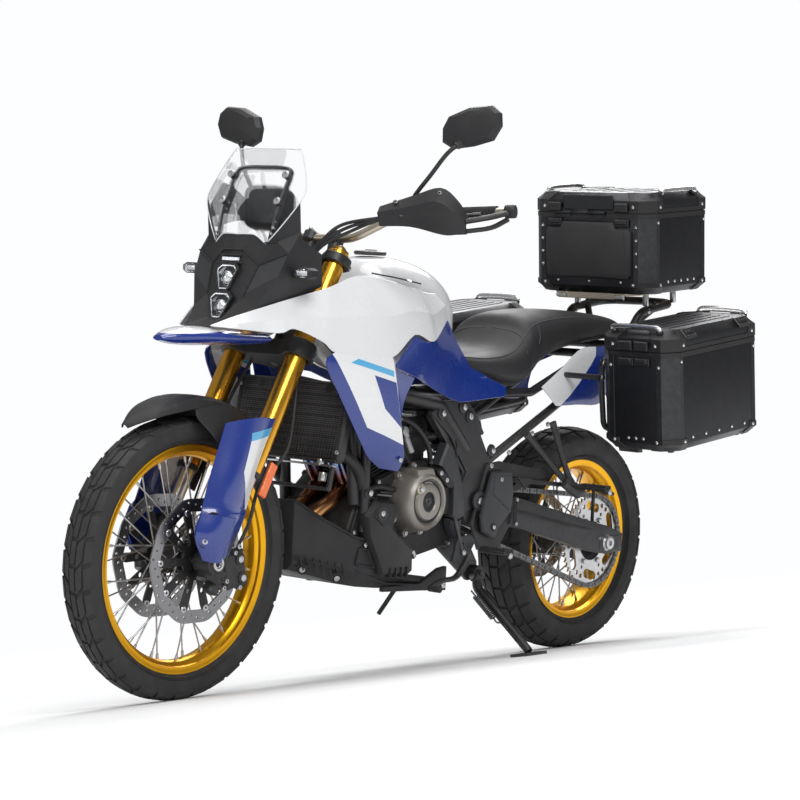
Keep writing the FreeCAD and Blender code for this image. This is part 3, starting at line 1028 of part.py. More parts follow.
upper_shroud_shares = (
    ((1, 0, 0.32), (0.929, 0.156, 0.447), (0.856, 0.312, 0.563), (0.75, 0.453, 0.695), (0.641,
     0.589, 0.827), (0.564, 0.552, 0.909), (0.48, 0.521, 0.995), (0.377, 0.526, 1), (0.281, 0.531,
     0.939), (0.178, 0.521, 0.873), (0.122, 0.516, 0.827), (0.054, 0.479, 0.812)),
    ((0.997, 0.016, 0.315), (0.927, 0.219, 0.365), (0.84, 0.406, 0.406), (0.765, 0.573, 0.482),
     (0.673, 0.74, 0.482), (0.589, 0.797, 0.482), (0.493, 0.844, 0.508), (0.397, 0.865, 0.508),
     (0.275, 0.818, 0.584), (0.178, 0.766, 0.569), (0.118, 0.688, 0.548), (0.024, 0.562, 0.67)),
    ((0.994, 0.031, 0.31), (0.923, 0.25, 0.289), (0.809, 0.469, 0.264), (0.773, 0.604, 0.32),
     (0.688, 0.766, 0.178), (0.637, 0.812, 0.046), (0.531, 0.917, 0.005), (0.412, 1, 0), (0.266,
     0.865, 0.284), (0.172, 0.839, 0.203), (0.11, 0.745, 0.254), (0, 0.531, 0.492)))
shroud_shares = (
    ((0.878, 0.043, 1), (0.591, 0.478, 0.973), (0.412, 0.674, 0.969), (0.262, 0.826, 0.966)),
    ((1, 0, 0.922), (0.663, 0.5, 0.922), (0.412, 0.783, 0.922), (0.247, 0.913, 0.915)),
    ((0.832, 0.152, 0.651), (0.52, 0.674, 0.651), (0.341, 0.87, 0.651), (0.19, 1, 0.651)),
    ((0.627, 0.196, 0.386), (0.376, 0.717, 0.386), (0.251, 0.891, 0.386), (0.125, 1, 0.386)),
    ((0.509, 0.217, 0.234), (0.323, 0.63, 0.234), (0.197, 0.804, 0.234), (0.072, 0.935, 0.227)),
    ((0.405, 0.152, 0.129), (0.251, 0.457, 0.129), (0.125, 0.63, 0.129), (0.011, 0.717, 0.122)),
    ((0.215, 0, 0.034), (0.143, 0.152, 0.02), (0.072, 0.239, 0.01), (0, 0.283, 0)))
side_panel_shares = (
    ((1, 1, 0.486), (0.838, 0.787, 0.813), (0.744, 0.745, 0.738), (0.628, 0.521, 0.78), (0.478,
     0.096, 1), (0.384, 0, 0.734), (0.292, 0.074, 0.435), (0.141, 0.053, 0.294), (0, 0.032, 0.178)),
    ((0.997, 0.989, 0.463), (0.823, 0.798, 0.565), (0.741, 0.681, 0.509), (0.628, 0.511, 0.472),
     (0.475, 0.298, 0.565), (0.384, 0.181, 0.379), (0.289, 0.149, 0.238), (0.141, 0.085, 0.159),
     (0.003, 0.043, 0.121)),
    ((0.986, 0.979, 0.435), (0.805, 0.777, 0.313), (0.723, 0.511, 0.276), (0.628, 0.415, 0.182),
     (0.475, 0.266, 0.056), (0.381, 0.202, 0), (0.289, 0.16, 0.009), (0.141, 0.085, 0.037), (0.009,
     0.032, 0.061)))
tail_panel_shares = (
    ((1, 0.567, 0.302), (0.78, 0.6, 0.616), (0.571, 0.567, 0.924), (0.341, 0.467, 0.965), (0.098,
     0.267, 1), (0, 0, 0.866)),
    ((0.927, 0.733, 0.157), (0.707, 0.9, 0.331), (0.463, 1, 0.506), (0.293, 0.967, 0.68), (0.146,
     0.733, 0.797), (0.005, 0.267, 0.814)),
    ((0.837, 0.667, 0), (0.61, 0.733, 0.017), (0.334, 0.767, 0.041), (0.244, 0.8, 0.419), (0.22,
     0.733, 0.581), (0.012, 0.4, 0.75)))
upper_shroud_studs_shares = ((1, 1, 0), (0, 0, 0))
shroud_studs_shares = ((1, 0, 0), (0, 1, 1))
side_panel_studs_shares = ((1, 1, 1), (0, 0, 0))
cowl_shares = (
    (0, 1, 0, 0.948, 0.267), (0.408, 0.973, 0, 0.991, 0.307), (0.74, 0.693, 0, 1, 0.267), (1, 0.44,
    0.057, 0.755, 0.173))
cowl_block = hull("cowl", cowl_shares).cut(turning_room)
panel_in = Vector(0, -dim.panel_wall, 0)
stud_start = dim.down_tube_y


def panel_node(label, name, shares, stud_row, carriers):
    """A moulded panel on each side, with studs that reach in to what carries it."""
    panel = formed(name, shares, panel_in)
    if stud_row:
        panel = panel.fuse(stud_row)
    panel = largest(panel.cut(carriers))
    shape_node(label, *both_sides(panel))
    return panel


upper_panel = panel_node("upper_shrouds", "upper_shroud", upper_shroud_shares,
                         studs("upper_shroud_studs", upper_shroud_studs_shares, stud_start),
                         [tank, cowl_block, turning_room])
shroud_panel = panel_node("shrouds", "shroud", shroud_shares,
                          studs("shroud_studs", shroud_studs_shares, stud_start),
                          [radiator, upper_panel, frame])
seat = hull("seat", seat_shares)
shape_node("seat", seat)
panel_node("side_panels", "side_panel", side_panel_shares,
           studs("side_panel_studs", side_panel_studs_shares, stud_start - dim.down_tube_radius),
           [tank, subframe, seat, upper_panel, shroud_panel])
rack_arms = (Vector(dim.front_arm_x, 0, dim.front_arm_z), Vector(dim.rear_arm_x, 0, dim.rear_arm_z))
arm_room = [disc_y(dim.hoop_radius + dim.seat_gap, -dim.side_case_inner, dim.side_case_inner, centre)
            for centre in rack_arms]
panel_node("tail_panels", "tail_panel", tail_panel_shares, None, [seat, subframe] + arm_room)

# Cowl, lamps, beak and screen, all clear of what turns with the fork
cowl_ear_shares = (
    ((1, 0, 0.068), (0, 0.781, 0)),
    ((0.942, 0.25, 0.327), (0.154, 0.922, 0.395)),
    ((0.635, 0.844, 0.776), (0.308, 0.969, 0.721)),
    ((0.538, 0.953, 1), (0.385, 1, 0.898)))
beak_shares = (
    (0, 1, 0.083, 0.848, 0.089), (0.343, 0.857, 0.042, 0.848, 0.125), (0.712, 0.589, 0, 1, 0.143),
    (0.884, 0.375, 0.042, 0.854, 0.107), (1, 0.143, 0.208, 0.5, 0.045))
dash_shares = ((0, 1, 0, 0.938, 0.179), (1, 0.897, 0.071, 1, 0.179))
cowl = cowl_block
lamps = []
for x, z in ((dim.wheelbase + dim.upper_lamp_x, dim.upper_lamp_z),
             (dim.wheelbase + dim.lower_lamp_x, dim.lower_lamp_z)):
    corners = [Vector(x, math.cos(math.radians(60 * index + 30)) * dim.lamp_radius,
                      z + math.sin(math.radians(60 * index + 30)) * dim.lamp_radius) for index in range(6)]
    lamps.append(Part.Face(Part.makePolygon(corners + corners[:1])).extrude(Vector(dim.lamp_depth, 0, 0)))
for lamp in lamps:
    cowl = cowl.cut(lamp)
shape_node("headlamps", *lamps)
shape_node("beak", largest(hull("beak", beak_shares).cut(turning_room).cut(both_sides(upper_panel))))

screen_way = Vector(-math.sin(math.radians(dim.screen_angle)), 0, math.cos(math.radians(dim.screen_angle)))
screen_x = dim.wheelbase + dim.screen_x
screen_base = Vector(screen_x - dim.screen_radius, 0, dim.screen_low) - screen_way * dim.screen_radius
screen = Part.makeCylinder(dim.screen_radius, 4 * dim.screen_radius, screen_base, screen_way)
screen = screen.cut(Part.makeCylinder(dim.screen_radius - dim.screen_wall, 4 * dim.screen_radius,
                                      screen_base, screen_way))
screen_front_shares = ((-0.58, 0), (0.58, 0), (1, 0.42), (1, 0.6), (0.7, 1), (-0.7, 1), (-1, 0.6), (-1, 0.42))
screen_face = [Vector(screen_x - dim.screen_radius / 2, across * dim.screen_half_width,
                      dim.screen_low + up * (dim.screen_high - dim.screen_low))
               for across, up in screen_front_shares]
screen_window = Part.Face(Part.makePolygon(screen_face + screen_face[:1])).extrude(
    Vector(dim.screen_radius, 0, 0))
screen = screen.common(screen_window)
shape_node("windscreen", screen)
ear = formed("cowl_ear", cowl_ear_shares, Vector(-dim.ear_wall, -dim.ear_wall, 0))
cowl = largest(cowl.fuse(both_sides(ear)).cut([screen, stay] + both_sides(upper_panel)))
shape_node("cowl", cowl)
hoop_shares = ((0, 1, 0), (1, 1, 0.966), (1, 0, 1))
hoop_points = path_of("hoop", hoop_shares)
hoop_points.extend([Vector(p.x, -p.y, p.z) for p in hoop_points[-2::-1]])
hoop_points.pop(2)
screen_hoop = tube(hoop_points, dim.screen_hoop_radius, dim.screen_hoop_bend).cut(cowl)
hoop_lean = (hoop_points[1].x - hoop_points[0].x) / (hoop_points[1].z - hoop_points[0].z)
dash_bar_centre = Vector(hoop_points[0].x + hoop_lean * (dim.dash_bar_z - hoop_points[0].z), 0, dim.dash_bar_z)
screen_hoop = screen_hoop.fuse(disc_y(dim.screen_hoop_radius * 0.8, -hoop_points[0].y, hoop_points[0].y,
                                      dash_bar_centre))
screen_inside = Part.makeCylinder(dim.screen_radius - dim.screen_wall - dim.seat_gap, 4 * dim.screen_radius,
                                  screen_base, screen_way)
for bolt_z in (dim.screen_bolt_low, dim.screen_bolt_high):
    for side in (1, -1):
        post = Part.makeCylinder(dim.screen_hoop_radius * 0.8, dim.screen_radius / 2,
                                 Vector(hoop_points[0].x + hoop_lean * (bolt_z - hoop_points[0].z),
                                        side * hoop_points[0].y, bolt_z), Vector(1, 0, 0))
        screen_hoop = screen_hoop.fuse(post.common(screen_inside))
shape_node("screen_bracket", screen_hoop)
dash = hull("dash", dash_shares)
for side in (1, -1):
    dash = dash.fuse(Part.makeCylinder(dim.stud_radius, dash_bar_centre.x - sized("dash", "x"),
                                       Vector(sized("dash", "x"), side * dim.dash_lug_place, dim.dash_bar_z),
                                       Vector(1, 0, 0)))
dash = dash.cut(disc_y(dim.screen_hoop_radius * 0.8 + dim.seat_gap, -hoop_points[0].y, hoop_points[0].y,
                       dash_bar_centre))
shape_node("dash", dash)

# Turn signals on stalks
signals = []
for x, z, start in ((dim.wheelbase + dim.signal_x, dim.signal_z, dim.signal_stalk_start),
                    (dim.rear_signal_x, dim.rear_signal_z, dim.holder_half_width)):
    stalk = disc_y(dim.signal_stalk_radius, start + dim.seat_gap, dim.signal_end - dim.signal_length, Vector(x, 0, z))
    lamp = Part.makeCone(dim.signal_radius, dim.signal_radius * 0.7, dim.signal_length,
                         Vector(x, dim.signal_end - dim.signal_length, z), Y_AXIS)
    signals.extend(both_sides(stalk.fuse(lamp).cut(cowl)))

plate_holder_shares = (
    (0.957, 1), (0.489, 1), (0.064, 0.256), (0, 0), (0.106, 0), (0.362, 0.417), (0.66, 0.737), (1,
    0.865))
holder = prism(outline_of("plate_holder", plate_holder_shares), -dim.holder_half_width, dim.holder_half_width)
shape_node("rear_fender", holder.cut(subframe))
tail_light = block(dim.tail_light_x - dim.tail_light_depth, dim.tail_light_x,
                   -dim.tail_light_half_width, dim.tail_light_half_width,
                   dim.tail_light_z + dim.seat_gap, dim.tail_light_z + dim.tail_light_height)
shape_node("signal_lights", *signals, tail_light)

# Foot pegs on their hangers
rider_hanger_shares = ((0.684, 1), (0.368, 0.935), (0, 0.391), (0.368, 0), (0.816, 0), (1, 0.304))
passenger_hanger_shares = (
    (1, 0.817), (0.603, 1), (0, 0.149), (0.053, 0), (0.301, 0.05), (0.869, 0.594))
rider_hanger_studs_shares = ((0, 1), (1, 0))
passenger_hanger_studs_shares = ((0, 1), (1, 0))
pegs = []
for name, shares, place, x, z, end, stud_row in (
        ("rider_hanger", rider_hanger_shares, dim.rider_hanger_place, dim.rider_peg_x, dim.rider_peg_z,
         dim.rider_peg_end, studs("rider_hanger_studs", rider_hanger_studs_shares,
                                  dim.plate_place + dim.plate_thickness + dim.seat_gap,
                                  dim.rider_hanger_place)),
        ("passenger_hanger", passenger_hanger_shares, dim.passenger_hanger_place, dim.passenger_peg_x,
         dim.passenger_peg_z, dim.passenger_peg_end,
         studs("passenger_hanger_studs", passenger_hanger_studs_shares, dim.lower_rail_y,
               dim.passenger_hanger_place))):
    hanger = prism(outline_of(name, shares), place, place + dim.hanger_thickness)
    hanger = hanger.fuse(disc_y(dim.peg_radius, place, end, Vector(x, 0, z))).fuse(stud_row).cut(subframe)
    pegs.extend(both_sides(hanger))
shape_node("footpegs", *pegs)

# Rear rack and the racks beside the wheel
rack_rail_shares = ((1, 0.81, 0), (0.815, 1, 0.758), (0.066, 0.968, 0.984), (0, 0, 1))
rack_post_shares = ((1, 0, 0), (0.472, 0.097, 0.411), (0, 1, 1))
rack_points = path_of("rack_rail", rack_rail_shares)
rack_half = tube(rack_points, dim.rail_radius, dim.rail_bend)
rack = rack_half.fuse(rack_half.mirror(CENTRE, Y_AXIS))
for post in both_sides(tube(path_of("rack_post", rack_post_shares), dim.rail_radius * 0.8, dim.rail_bend / 2)):
    rack = rack.fuse(post)
rack = rack.cut(subframe)
shape_node("rear_rack", rack)
pannier_hoop_shares = (
    (1, 0, 0.6), (0.989, 0, 0.817), (0.073, 0, 1), (0, 0, 0.183), (0.93, 0, 0), (0.997, 0, 0.558))
hoop_path = path_of("pannier_hoop", pannier_hoop_shares)
pannier_hoop = tube(hoop_path, dim.hoop_radius, dim.hoop_bend)
closing = hoop_path[0] - hoop_path[-1]
pannier_hoop = pannier_hoop.fuse(Part.makeCylinder(dim.hoop_radius, closing.Length, hoop_path[-1], closing))
for centre in rack_arms:
    pannier_hoop = pannier_hoop.fuse(disc_y(dim.hoop_radius, rail_points[1].y, hoop_path[1].y, centre))
pucks_shares = ((0.94, 0.901), (0.044, 1), (0, 0.108), (1, 0))
for x, z in outline_of("pucks", pucks_shares):
    pannier_hoop = pannier_hoop.fuse(disc_y(dim.puck_radius, hoop_path[1].y, dim.side_case_inner - dim.seat_gap,
                                            Vector(x, 0, z)))
shape_node("pannier_racks", *both_sides(pannier_hoop.cut(subframe)))


def case_shell(length, y_from, y_to, low, high, corner, edge, edge_up):
    """A box with chamfered upright corners and a chamfered rim at one end, X from the front back."""
    def ring(inset, z):
        cut = max(corner - inset, inset)
        near, far = -inset, inset - length
        left, right = y_to - inset, y_from + inset
        return [Vector(near, left - cut, z), Vector(near - cut, left, z), Vector(far + cut, left, z),
                Vector(far, left - cut, z), Vector(far, right + cut, z), Vector(far + cut, right, z),
                Vector(near - cut, right, z), Vector(near, right + cut, z)]
    if edge_up:
        levels = [ring(0, low), ring(0, high - edge), ring(edge, high)]
    else:
        levels = [ring(edge, low), ring(0, low + edge), ring(0, high)]
    return loft(levels)


def case_pair(length, y_from, y_to, depth, lid_height, corner):
    """A hollow box and its hollow lid, in the case's own frame with the seam at z = 0."""
    wall = dim.case_wall
    box = case_shell(length, y_from, y_to, -depth, 0, corner, dim.case_bottom_edge, False)
    room = case_shell(length - 2 * wall, y_from + wall, y_to - wall, -depth + wall, 0, corner - wall,
                      dim.case_bottom_edge, False)
    room.translate(Vector(-wall, 0, 0))
    top_up = room.copy()
    top_up.translate(Vector(0, 0, wall))
    box = box.cut(room).cut(top_up)
    lid = case_shell(length, y_from, y_to, dim.seat_gap, lid_height, corner, dim.lid_edge, True)
    lid_room = case_shell(length - 2 * wall, y_from + wall, y_to - wall, 0, lid_height - wall,
                          corner - wall, dim.lid_edge, True)
    lid_room.translate(Vector(-wall, 0, 0))
    lid = lid.cut(lid_room)
    return box, lid


hinge_step = dim.hinge_knuckle_length + dim.hinge_knuckle_gap


def hinge_line(start, run):
    """Three knuckles along a hinge and the pin through them: the outer two on the box, the inner one on the lid."""
    first = start + run * dim.hinge_margin
    knuckles = [Part.makeCylinder(dim.hinge_radius, dim.hinge_knuckle_length, first + run * hinge_step * index, run)
                for index in range(3)]
    pin = Part.makeCylinder(dim.hinge_bore - dim.seat_gap, 2 * hinge_step + dim.hinge_knuckle_length, first, run)
    return knuckles, pin


def leaf_plate(start, end, way, low, high):
    """The flat leaf between a knuckle's axis and the wall beside it."""
    corners = [start + Vector(0, 0, low), end + Vector(0, 0, low), end - way + Vector(0, 0, low),
               start - way + Vector(0, 0, low)]
    return flat_face(corners).extrude(Vector(0, 0, high - low))


def hinged(box, lid, start, end, way):
    """The hinge is on the lid's long side; way points from the wall out to the pin."""
    run = (end - start).normalize()
    knuckles, pin = hinge_line(start, run)
    outer = knuckles[0].fuse(knuckles[2]).fuse(pin)
    leaf = run * dim.hinge_knuckle_length
    for step in (0, 2):
        corner = start + run * (dim.hinge_margin + step * hinge_step)
        outer = outer.fuse(leaf_plate(corner, corner + leaf, way, -dim.hinge_leaf, 0))
    corner = start + run * (dim.hinge_margin + hinge_step)
    lid = lid.fuse(leaf_plate(corner, corner + leaf, way, dim.seat_gap, dim.hinge_leaf))
    bore = Part.makeCylinder(dim.hinge_bore, 4 * dim.hinge_knuckle_length,
                             start + run * (dim.hinge_margin - dim.overrun), run)
    return box.fuse(outer), lid.fuse(knuckles[1]).cut(bore)


case_specs = (
    ("top_case", Placement(Vector(dim.top_case_x, 0, dim.top_case_z), Rotation(Y_AXIS, dim.top_case_pitch_angle)),
     dim.top_case_length, -dim.top_case_half_width, dim.top_case_half_width, dim.top_case_depth,
     dim.top_lid_height, dim.top_case_corner),
    ("left_case", Placement(Vector(dim.side_case_x, 0, dim.side_case_z), Rotation(Y_AXIS, dim.side_case_pitch_angle)),
     dim.side_case_length, dim.side_case_inner, dim.side_case_inner + dim.side_case_width, dim.side_case_depth,
     dim.side_lid_height, dim.side_case_corner))
case_shapes = {}
for name, place, length, y_from, y_to, depth, lid_height, corner in case_specs:
    box, lid = case_pair(length, y_from, y_to, depth, lid_height, corner)
    if name == "top_case":
        start = Vector(dim.hinge_radius, -dim.top_case_half_width + dim.top_case_corner, 0)
        end = Vector(dim.hinge_radius, dim.top_case_half_width - dim.top_case_corner, 0)
        way = Vector(dim.hinge_radius, 0, 0)
    else:
        start = Vector(-dim.side_case_corner, y_from - dim.hinge_radius, 0)
        end = Vector(dim.side_case_corner - length, y_from - dim.hinge_radius, 0)
        way = Vector(0, -dim.hinge_radius, 0)
    box, lid = hinged(box, lid, start, end, way)
    box.Placement = place
    lid.Placement = place
    case_shapes[name] = (box, lid)
    shape_node(name, box)
    shape_node(name + "_lid", lid)
shape_node("right_case", case_shapes["left_case"][0].mirror(CENTRE, Y_AXIS))
shape_node("right_case_lid", case_shapes["left_case"][1].mirror(CENTRE, Y_AXIS))

plate_top = -dim.top_case_depth - dim.seat_gap
case_plate = block(-dim.top_case_length, 0, -dim.plate_half_width, dim.plate_half_width,
                   plate_top - dim.case_plate_thickness, plate_top)
for along in (dim.plate_post_x, dim.plate_post_x + dim.plate_post_gap):
    for side in (1, -1):
        case_plate = case_plate.fuse(Part.makeCylinder(
            dim.stud_radius, dim.plate_post_height,
            Vector(-along, side * dim.plate_post_place, plate_top - dim.plate_post_height)))
case_plate.Placement = case_specs[0][1]
case_plate = largest(case_plate.cut(rack))
shape_node("case_plate", case_plate)

# Rear shock and rear caliper
shock_low = Vector(dim.shock_low_x, 0, dim.shock_low_z)
shock_run = Vector(dim.shock_high_x, 0, dim.shock_high_z) - shock_low
shock = Part.makeCylinder(dim.shock_rod_radius, shock_run.Length, shock_low, shock_run)
shock = shock.fuse(Part.makeCylinder(dim.shock_radius, shock_run.Length * 0.6, shock_low + shock_run * 0.25, shock_run))
shape_node("rear_shock", shock.cut(arms).cut(shock_tube_room))
rear_caliper = block(dim.rear_disc_radius * 0.2, dim.rear_disc_radius * 0.75,
                     -arm_inner + dim.seat_gap, -dim.rear_disc_place + dim.caliper_half_width * 0.6,
                     rear_axle_z + dim.rear_disc_radius * 0.62, rear_axle_z + dim.rear_disc_radius * 1.05)
rear_caliper = rear_caliper.cut(disc_y(dim.rear_disc_radius + dim.caliper_slot,
                                       -dim.rear_disc_place - dim.caliper_slot,
                                       -dim.rear_disc_place + dim.caliper_slot, rear_axle_place))
caliper_lug = block(dim.rear_disc_radius * 0.2, dim.rear_disc_radius * 0.75, -arm_inner + dim.seat_gap,
                    -arm_inner + dim.seat_gap + dim.caliper_bracket_width,
                    rear_axle_z + dim.rear_disc_radius * 0.2, rear_axle_z + dim.rear_disc_radius * 0.7)
shape_node("rear_caliper", largest(rear_caliper.fuse(caliper_lug).cut(arms)))

# Side stand, leg out, its foot flat on the floor under the leaned machine
stand = tube(stand_points, dim.stand_leg_radius, dim.stand_bend)
boss = disc_y(dim.stand_boss_radius, stand_pivot.y - dim.stand_boss_length / 2,
              stand_pivot.y + dim.stand_boss_length / 2, Vector(stand_pivot.x, 0, stand_pivot.z))
stand = stand.fuse(boss)


def tyre_drop(prefix):
    """How far the leaned tyre's lowest corner comes below the upright contact point."""
    lean_turn = math.radians(dim.lean_angle)
    drops = []
    for width, radius in tyre_corners(prefix):
        place = [float(sheet.evalExpression(in_sheet(text))) for text in (width, radius)]
        drops.append(place[1] * math.cos(lean_turn) + place[0] * math.sin(lean_turn))
    return max(drops) - getattr(dim, prefix + "_tyre_radius") * math.cos(lean_turn)


lean = math.radians(dim.lean_angle)
rear_drop, front_drop = tyre_drop("rear"), tyre_drop("front")
stance_pitch = math.degrees(math.atan((front_drop - rear_drop) / dim.wheelbase))
foot_point = stand_points[-1]
floor_drop = rear_drop + (front_drop - rear_drop) * foot_point.x / dim.wheelbase
foot_floor = Vector(foot_point.x, foot_point.y, foot_point.y * math.tan(lean) - floor_drop / math.cos(lean))
foot = Part.makeBox(dim.stand_foot_length, dim.stand_foot_width, dim.stand_foot_thickness,
                    Vector(-dim.stand_foot_length / 2, -dim.stand_foot_width / 2, 0))
foot.Placement = Placement(foot_floor, Rotation(Vector(1, 0, 0), dim.lean_angle))
stand = stand.fuse(foot)
stand = stand.cut(disc_y(dim.stand_pivot_radius + dim.seat_gap, 0, 3 * stand_pivot.y,
                         Vector(stand_pivot.x, 0, stand_pivot.z)))
shape_node("side_stand", stand)

# Stance: lean the upright machine over until both tyres and the foot meet the floor, then move
# the origin to the middle of the machine's box
stance = Placement(CENTRE, Rotation(Y_AXIS, -stance_pitch))
stance = stance.multiply(Placement(CENTRE, Rotation(Vector(1, 0, 0), -dim.lean_angle)))
for piece in nodes.values():
    piece.Placement = stance.multiply(piece.Placement)
doc.recompute()
bad = []
for label, piece in nodes.items():
    if "Invalid" in piece.State or "Error" in piece.State or piece.Shape.isNull() or not piece.Shape.isValid():
        bad.append(label)
if bad:
    raise RuntimeError("bad pieces: " + ", ".join(bad))
low = min(nodes[label].Shape.optimalBoundingBox(False).ZMin for label in ("front_tyre", "rear_tyre"))
boxes = [piece.Shape.optimalBoundingBox(False) for piece in nodes.values()]
x_low, x_high = min(box.XMin for box in boxes), max(box.XMax for box in boxes)
y_low, y_high = min(box.YMin for box in boxes), max(box.YMax for box in boxes)
to_origin = Placement(Vector(-(x_low + x_high) / 2, -(y_low + y_high) / 2, -low), Rotation())
stance = to_origin.multiply(stance)
os.makedirs("parts", exist_ok=True)
for label, piece in nodes.items():
    piece.Placement = to_origin.multiply(piece.Placement)
    piece.Shape.exportStep("parts/" + label + ".step")
print("size", x_high - x_low, y_high - y_low, max(box.ZMax for box in boxes) - low)
print(len(nodes), "nodes, origin moved by", to_origin.Base)
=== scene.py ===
# Dressed model of an adventure motorcycle with three metal cases, leaning on its side stand
import bmesh
import bpy
import json
import random
from math import asin, atan2, copysign, cos, hypot, pi, radians, sin, sqrt
from mathutils import Matrix, Vector


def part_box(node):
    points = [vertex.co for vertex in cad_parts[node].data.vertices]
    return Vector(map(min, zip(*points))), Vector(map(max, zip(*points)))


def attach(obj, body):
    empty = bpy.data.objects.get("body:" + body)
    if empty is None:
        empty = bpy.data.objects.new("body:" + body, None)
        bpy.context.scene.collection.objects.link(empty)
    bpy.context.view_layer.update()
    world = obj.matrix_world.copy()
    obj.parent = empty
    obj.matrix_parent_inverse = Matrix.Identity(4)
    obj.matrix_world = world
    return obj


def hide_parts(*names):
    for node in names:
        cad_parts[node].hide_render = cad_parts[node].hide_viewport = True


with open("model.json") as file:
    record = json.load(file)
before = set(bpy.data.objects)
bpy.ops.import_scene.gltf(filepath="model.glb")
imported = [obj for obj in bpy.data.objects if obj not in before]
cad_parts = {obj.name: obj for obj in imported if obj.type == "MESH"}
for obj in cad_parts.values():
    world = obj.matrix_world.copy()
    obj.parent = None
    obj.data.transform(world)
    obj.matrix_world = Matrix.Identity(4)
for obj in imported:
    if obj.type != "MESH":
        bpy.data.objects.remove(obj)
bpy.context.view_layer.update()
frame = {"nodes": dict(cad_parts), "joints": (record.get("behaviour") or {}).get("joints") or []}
nodes = frame["nodes"]
scene = bpy.context.scene
scene.view_settings.view_transform = "Standard"
random.seed(7)
print("frame loaded")

# Pieces are drawn on the upright machine in millimetres (X forward from the rear axle, Y left, Z up)
# and then put into the leaned frame, which the two wheel joints give
machine = {"wheelbase": 1570.0, "frontRadius": 347.0, "rearRadius": 321.0, "rake": 28.0, "trail": 114.0,
           "forkOffset": 47.0, "legPlace": 105.0}
jointTable = {joint["name"]: joint for joint in frame["joints"]}
rearAxle = Vector(jointTable["rear_wheel_spin"]["pos_m"])
frontAxle = Vector(jointTable["front_wheel_spin"]["pos_m"])
leftWay = Vector(jointTable["rear_wheel_spin"]["axis"]).normalized()
axleWay = (frontAxle - rearAxle).normalized()
axleRise = atan2(machine["frontRadius"] - machine["rearRadius"], machine["wheelbase"])
liftWay = axleWay.cross(leftWay)
forwardWay = axleWay * cos(axleRise) - liftWay * sin(axleRise)
upWay = axleWay * sin(axleRise) + liftWay * cos(axleRise)
groundPoint = rearAxle - upWay * machine["rearRadius"] / 1000
bikeToRow = Matrix.Translation(groundPoint) @ Matrix((forwardWay, leftWay, upWay)).transposed().to_4x4() \
    @ Matrix.Scale(0.001, 4)
frontCentre = Vector((machine["wheelbase"], 0, machine["frontRadius"]))
rearCentre = Vector((0, 0, machine["rearRadius"]))
rake = radians(machine["rake"])
forkUp = Vector((-sin(rake), 0, cos(rake)))       # along the steering axis
forkAhead = Vector((cos(rake), 0, sin(rake)))
forkRoot = Vector((machine["wheelbase"] + machine["trail"], 0, 0))
wayX = Vector((1, 0, 0))
wayY = Vector((0, 1, 0))
wayZ = Vector((0, 0, 1))


def onFork(ahead, left, along):
    # A place measured along and ahead of the steering axis, which starts on the floor.
    return forkRoot + forkAhead * ahead + wayY * left + forkUp * along


# Camera and studio
view = {"place": (5.9626, 4.4682, 0.1836), "target": (0.391, -0.160, 0.746), "lens": 114.75, "roll": -6.0,
        "shift": (-0.75985, -0.18723, 0.00206)}
cameraData = bpy.data.cameras.new("photoCamera")
cameraData.lens = view["lens"]
cameraData.sensor_width = 36
cameraData.clip_end = 60
camera = bpy.data.objects.new("photoCamera", cameraData)
scene.collection.objects.link(camera)
eye = Vector(view["place"]) + Vector(view["shift"])
looking = (Vector(view["target"]) + Vector(view["shift"]) - eye).normalized()
sideWay = looking.cross(wayZ).normalized()
overWay = sideWay.cross(looking)
roll = radians(view["roll"])
cameraRight = sideWay * cos(roll) + overWay * sin(roll)
cameraUp = overWay * cos(roll) - sideWay * sin(roll)
turn = Matrix((cameraRight, cameraUp, -looking)).transposed().to_4x4()
camera.matrix_world = Matrix.Translation(eye) @ turn
scene.camera = camera

studio = {"worldColour": (0.985, 0.99, 1.0), "worldStrength": 0.26, "backdropStrength": 1.0, "floorSize": 40.0,
          "floorColour": (0.97, 0.975, 0.98), "floorGlow": (2.0, 9.0, 0.03, 0.84),
          "lamps": [("keyLamp", (3.2, 4.6, 4.4), 2.6, 205.0), ("fillLamp", (5.5, -2.6, 3.0), 2.4, 48.0),
                    ("backLamp", (-3.6, -1.5, 4.2), 2.6, 150.0), ("topLamp", (0.0, 0.4, 5.2), 3.4, 135.0)]}
world = bpy.data.worlds.new("studioWorld")
scene.world = world
world.use_nodes = True
worldTree = world.node_tree
ambient = worldTree.nodes["Background"]
backdrop = worldTree.nodes.new("ShaderNodeBackground")     # what shows behind the machine, brighter than its light
for node, strength in ((ambient, studio["worldStrength"]), (backdrop, studio["backdropStrength"])):
    node.inputs["Color"].default_value = (*studio["worldColour"], 1)
    node.inputs["Strength"].default_value = strength


def straightSight(tree):
    # 1 where the camera looks at a thing directly or through clear sheet, 0 for light that falls on the machine.
    seen = tree.nodes.new("ShaderNodeLightPath")
    most = tree.nodes.new("ShaderNodeMath")
    most.operation = "MAXIMUM"
    tree.links.new(seen.outputs["Is Camera Ray"], most.inputs[0])
    tree.links.new(seen.outputs["Is Transmission Ray"], most.inputs[1])
    return most.outputs[0]


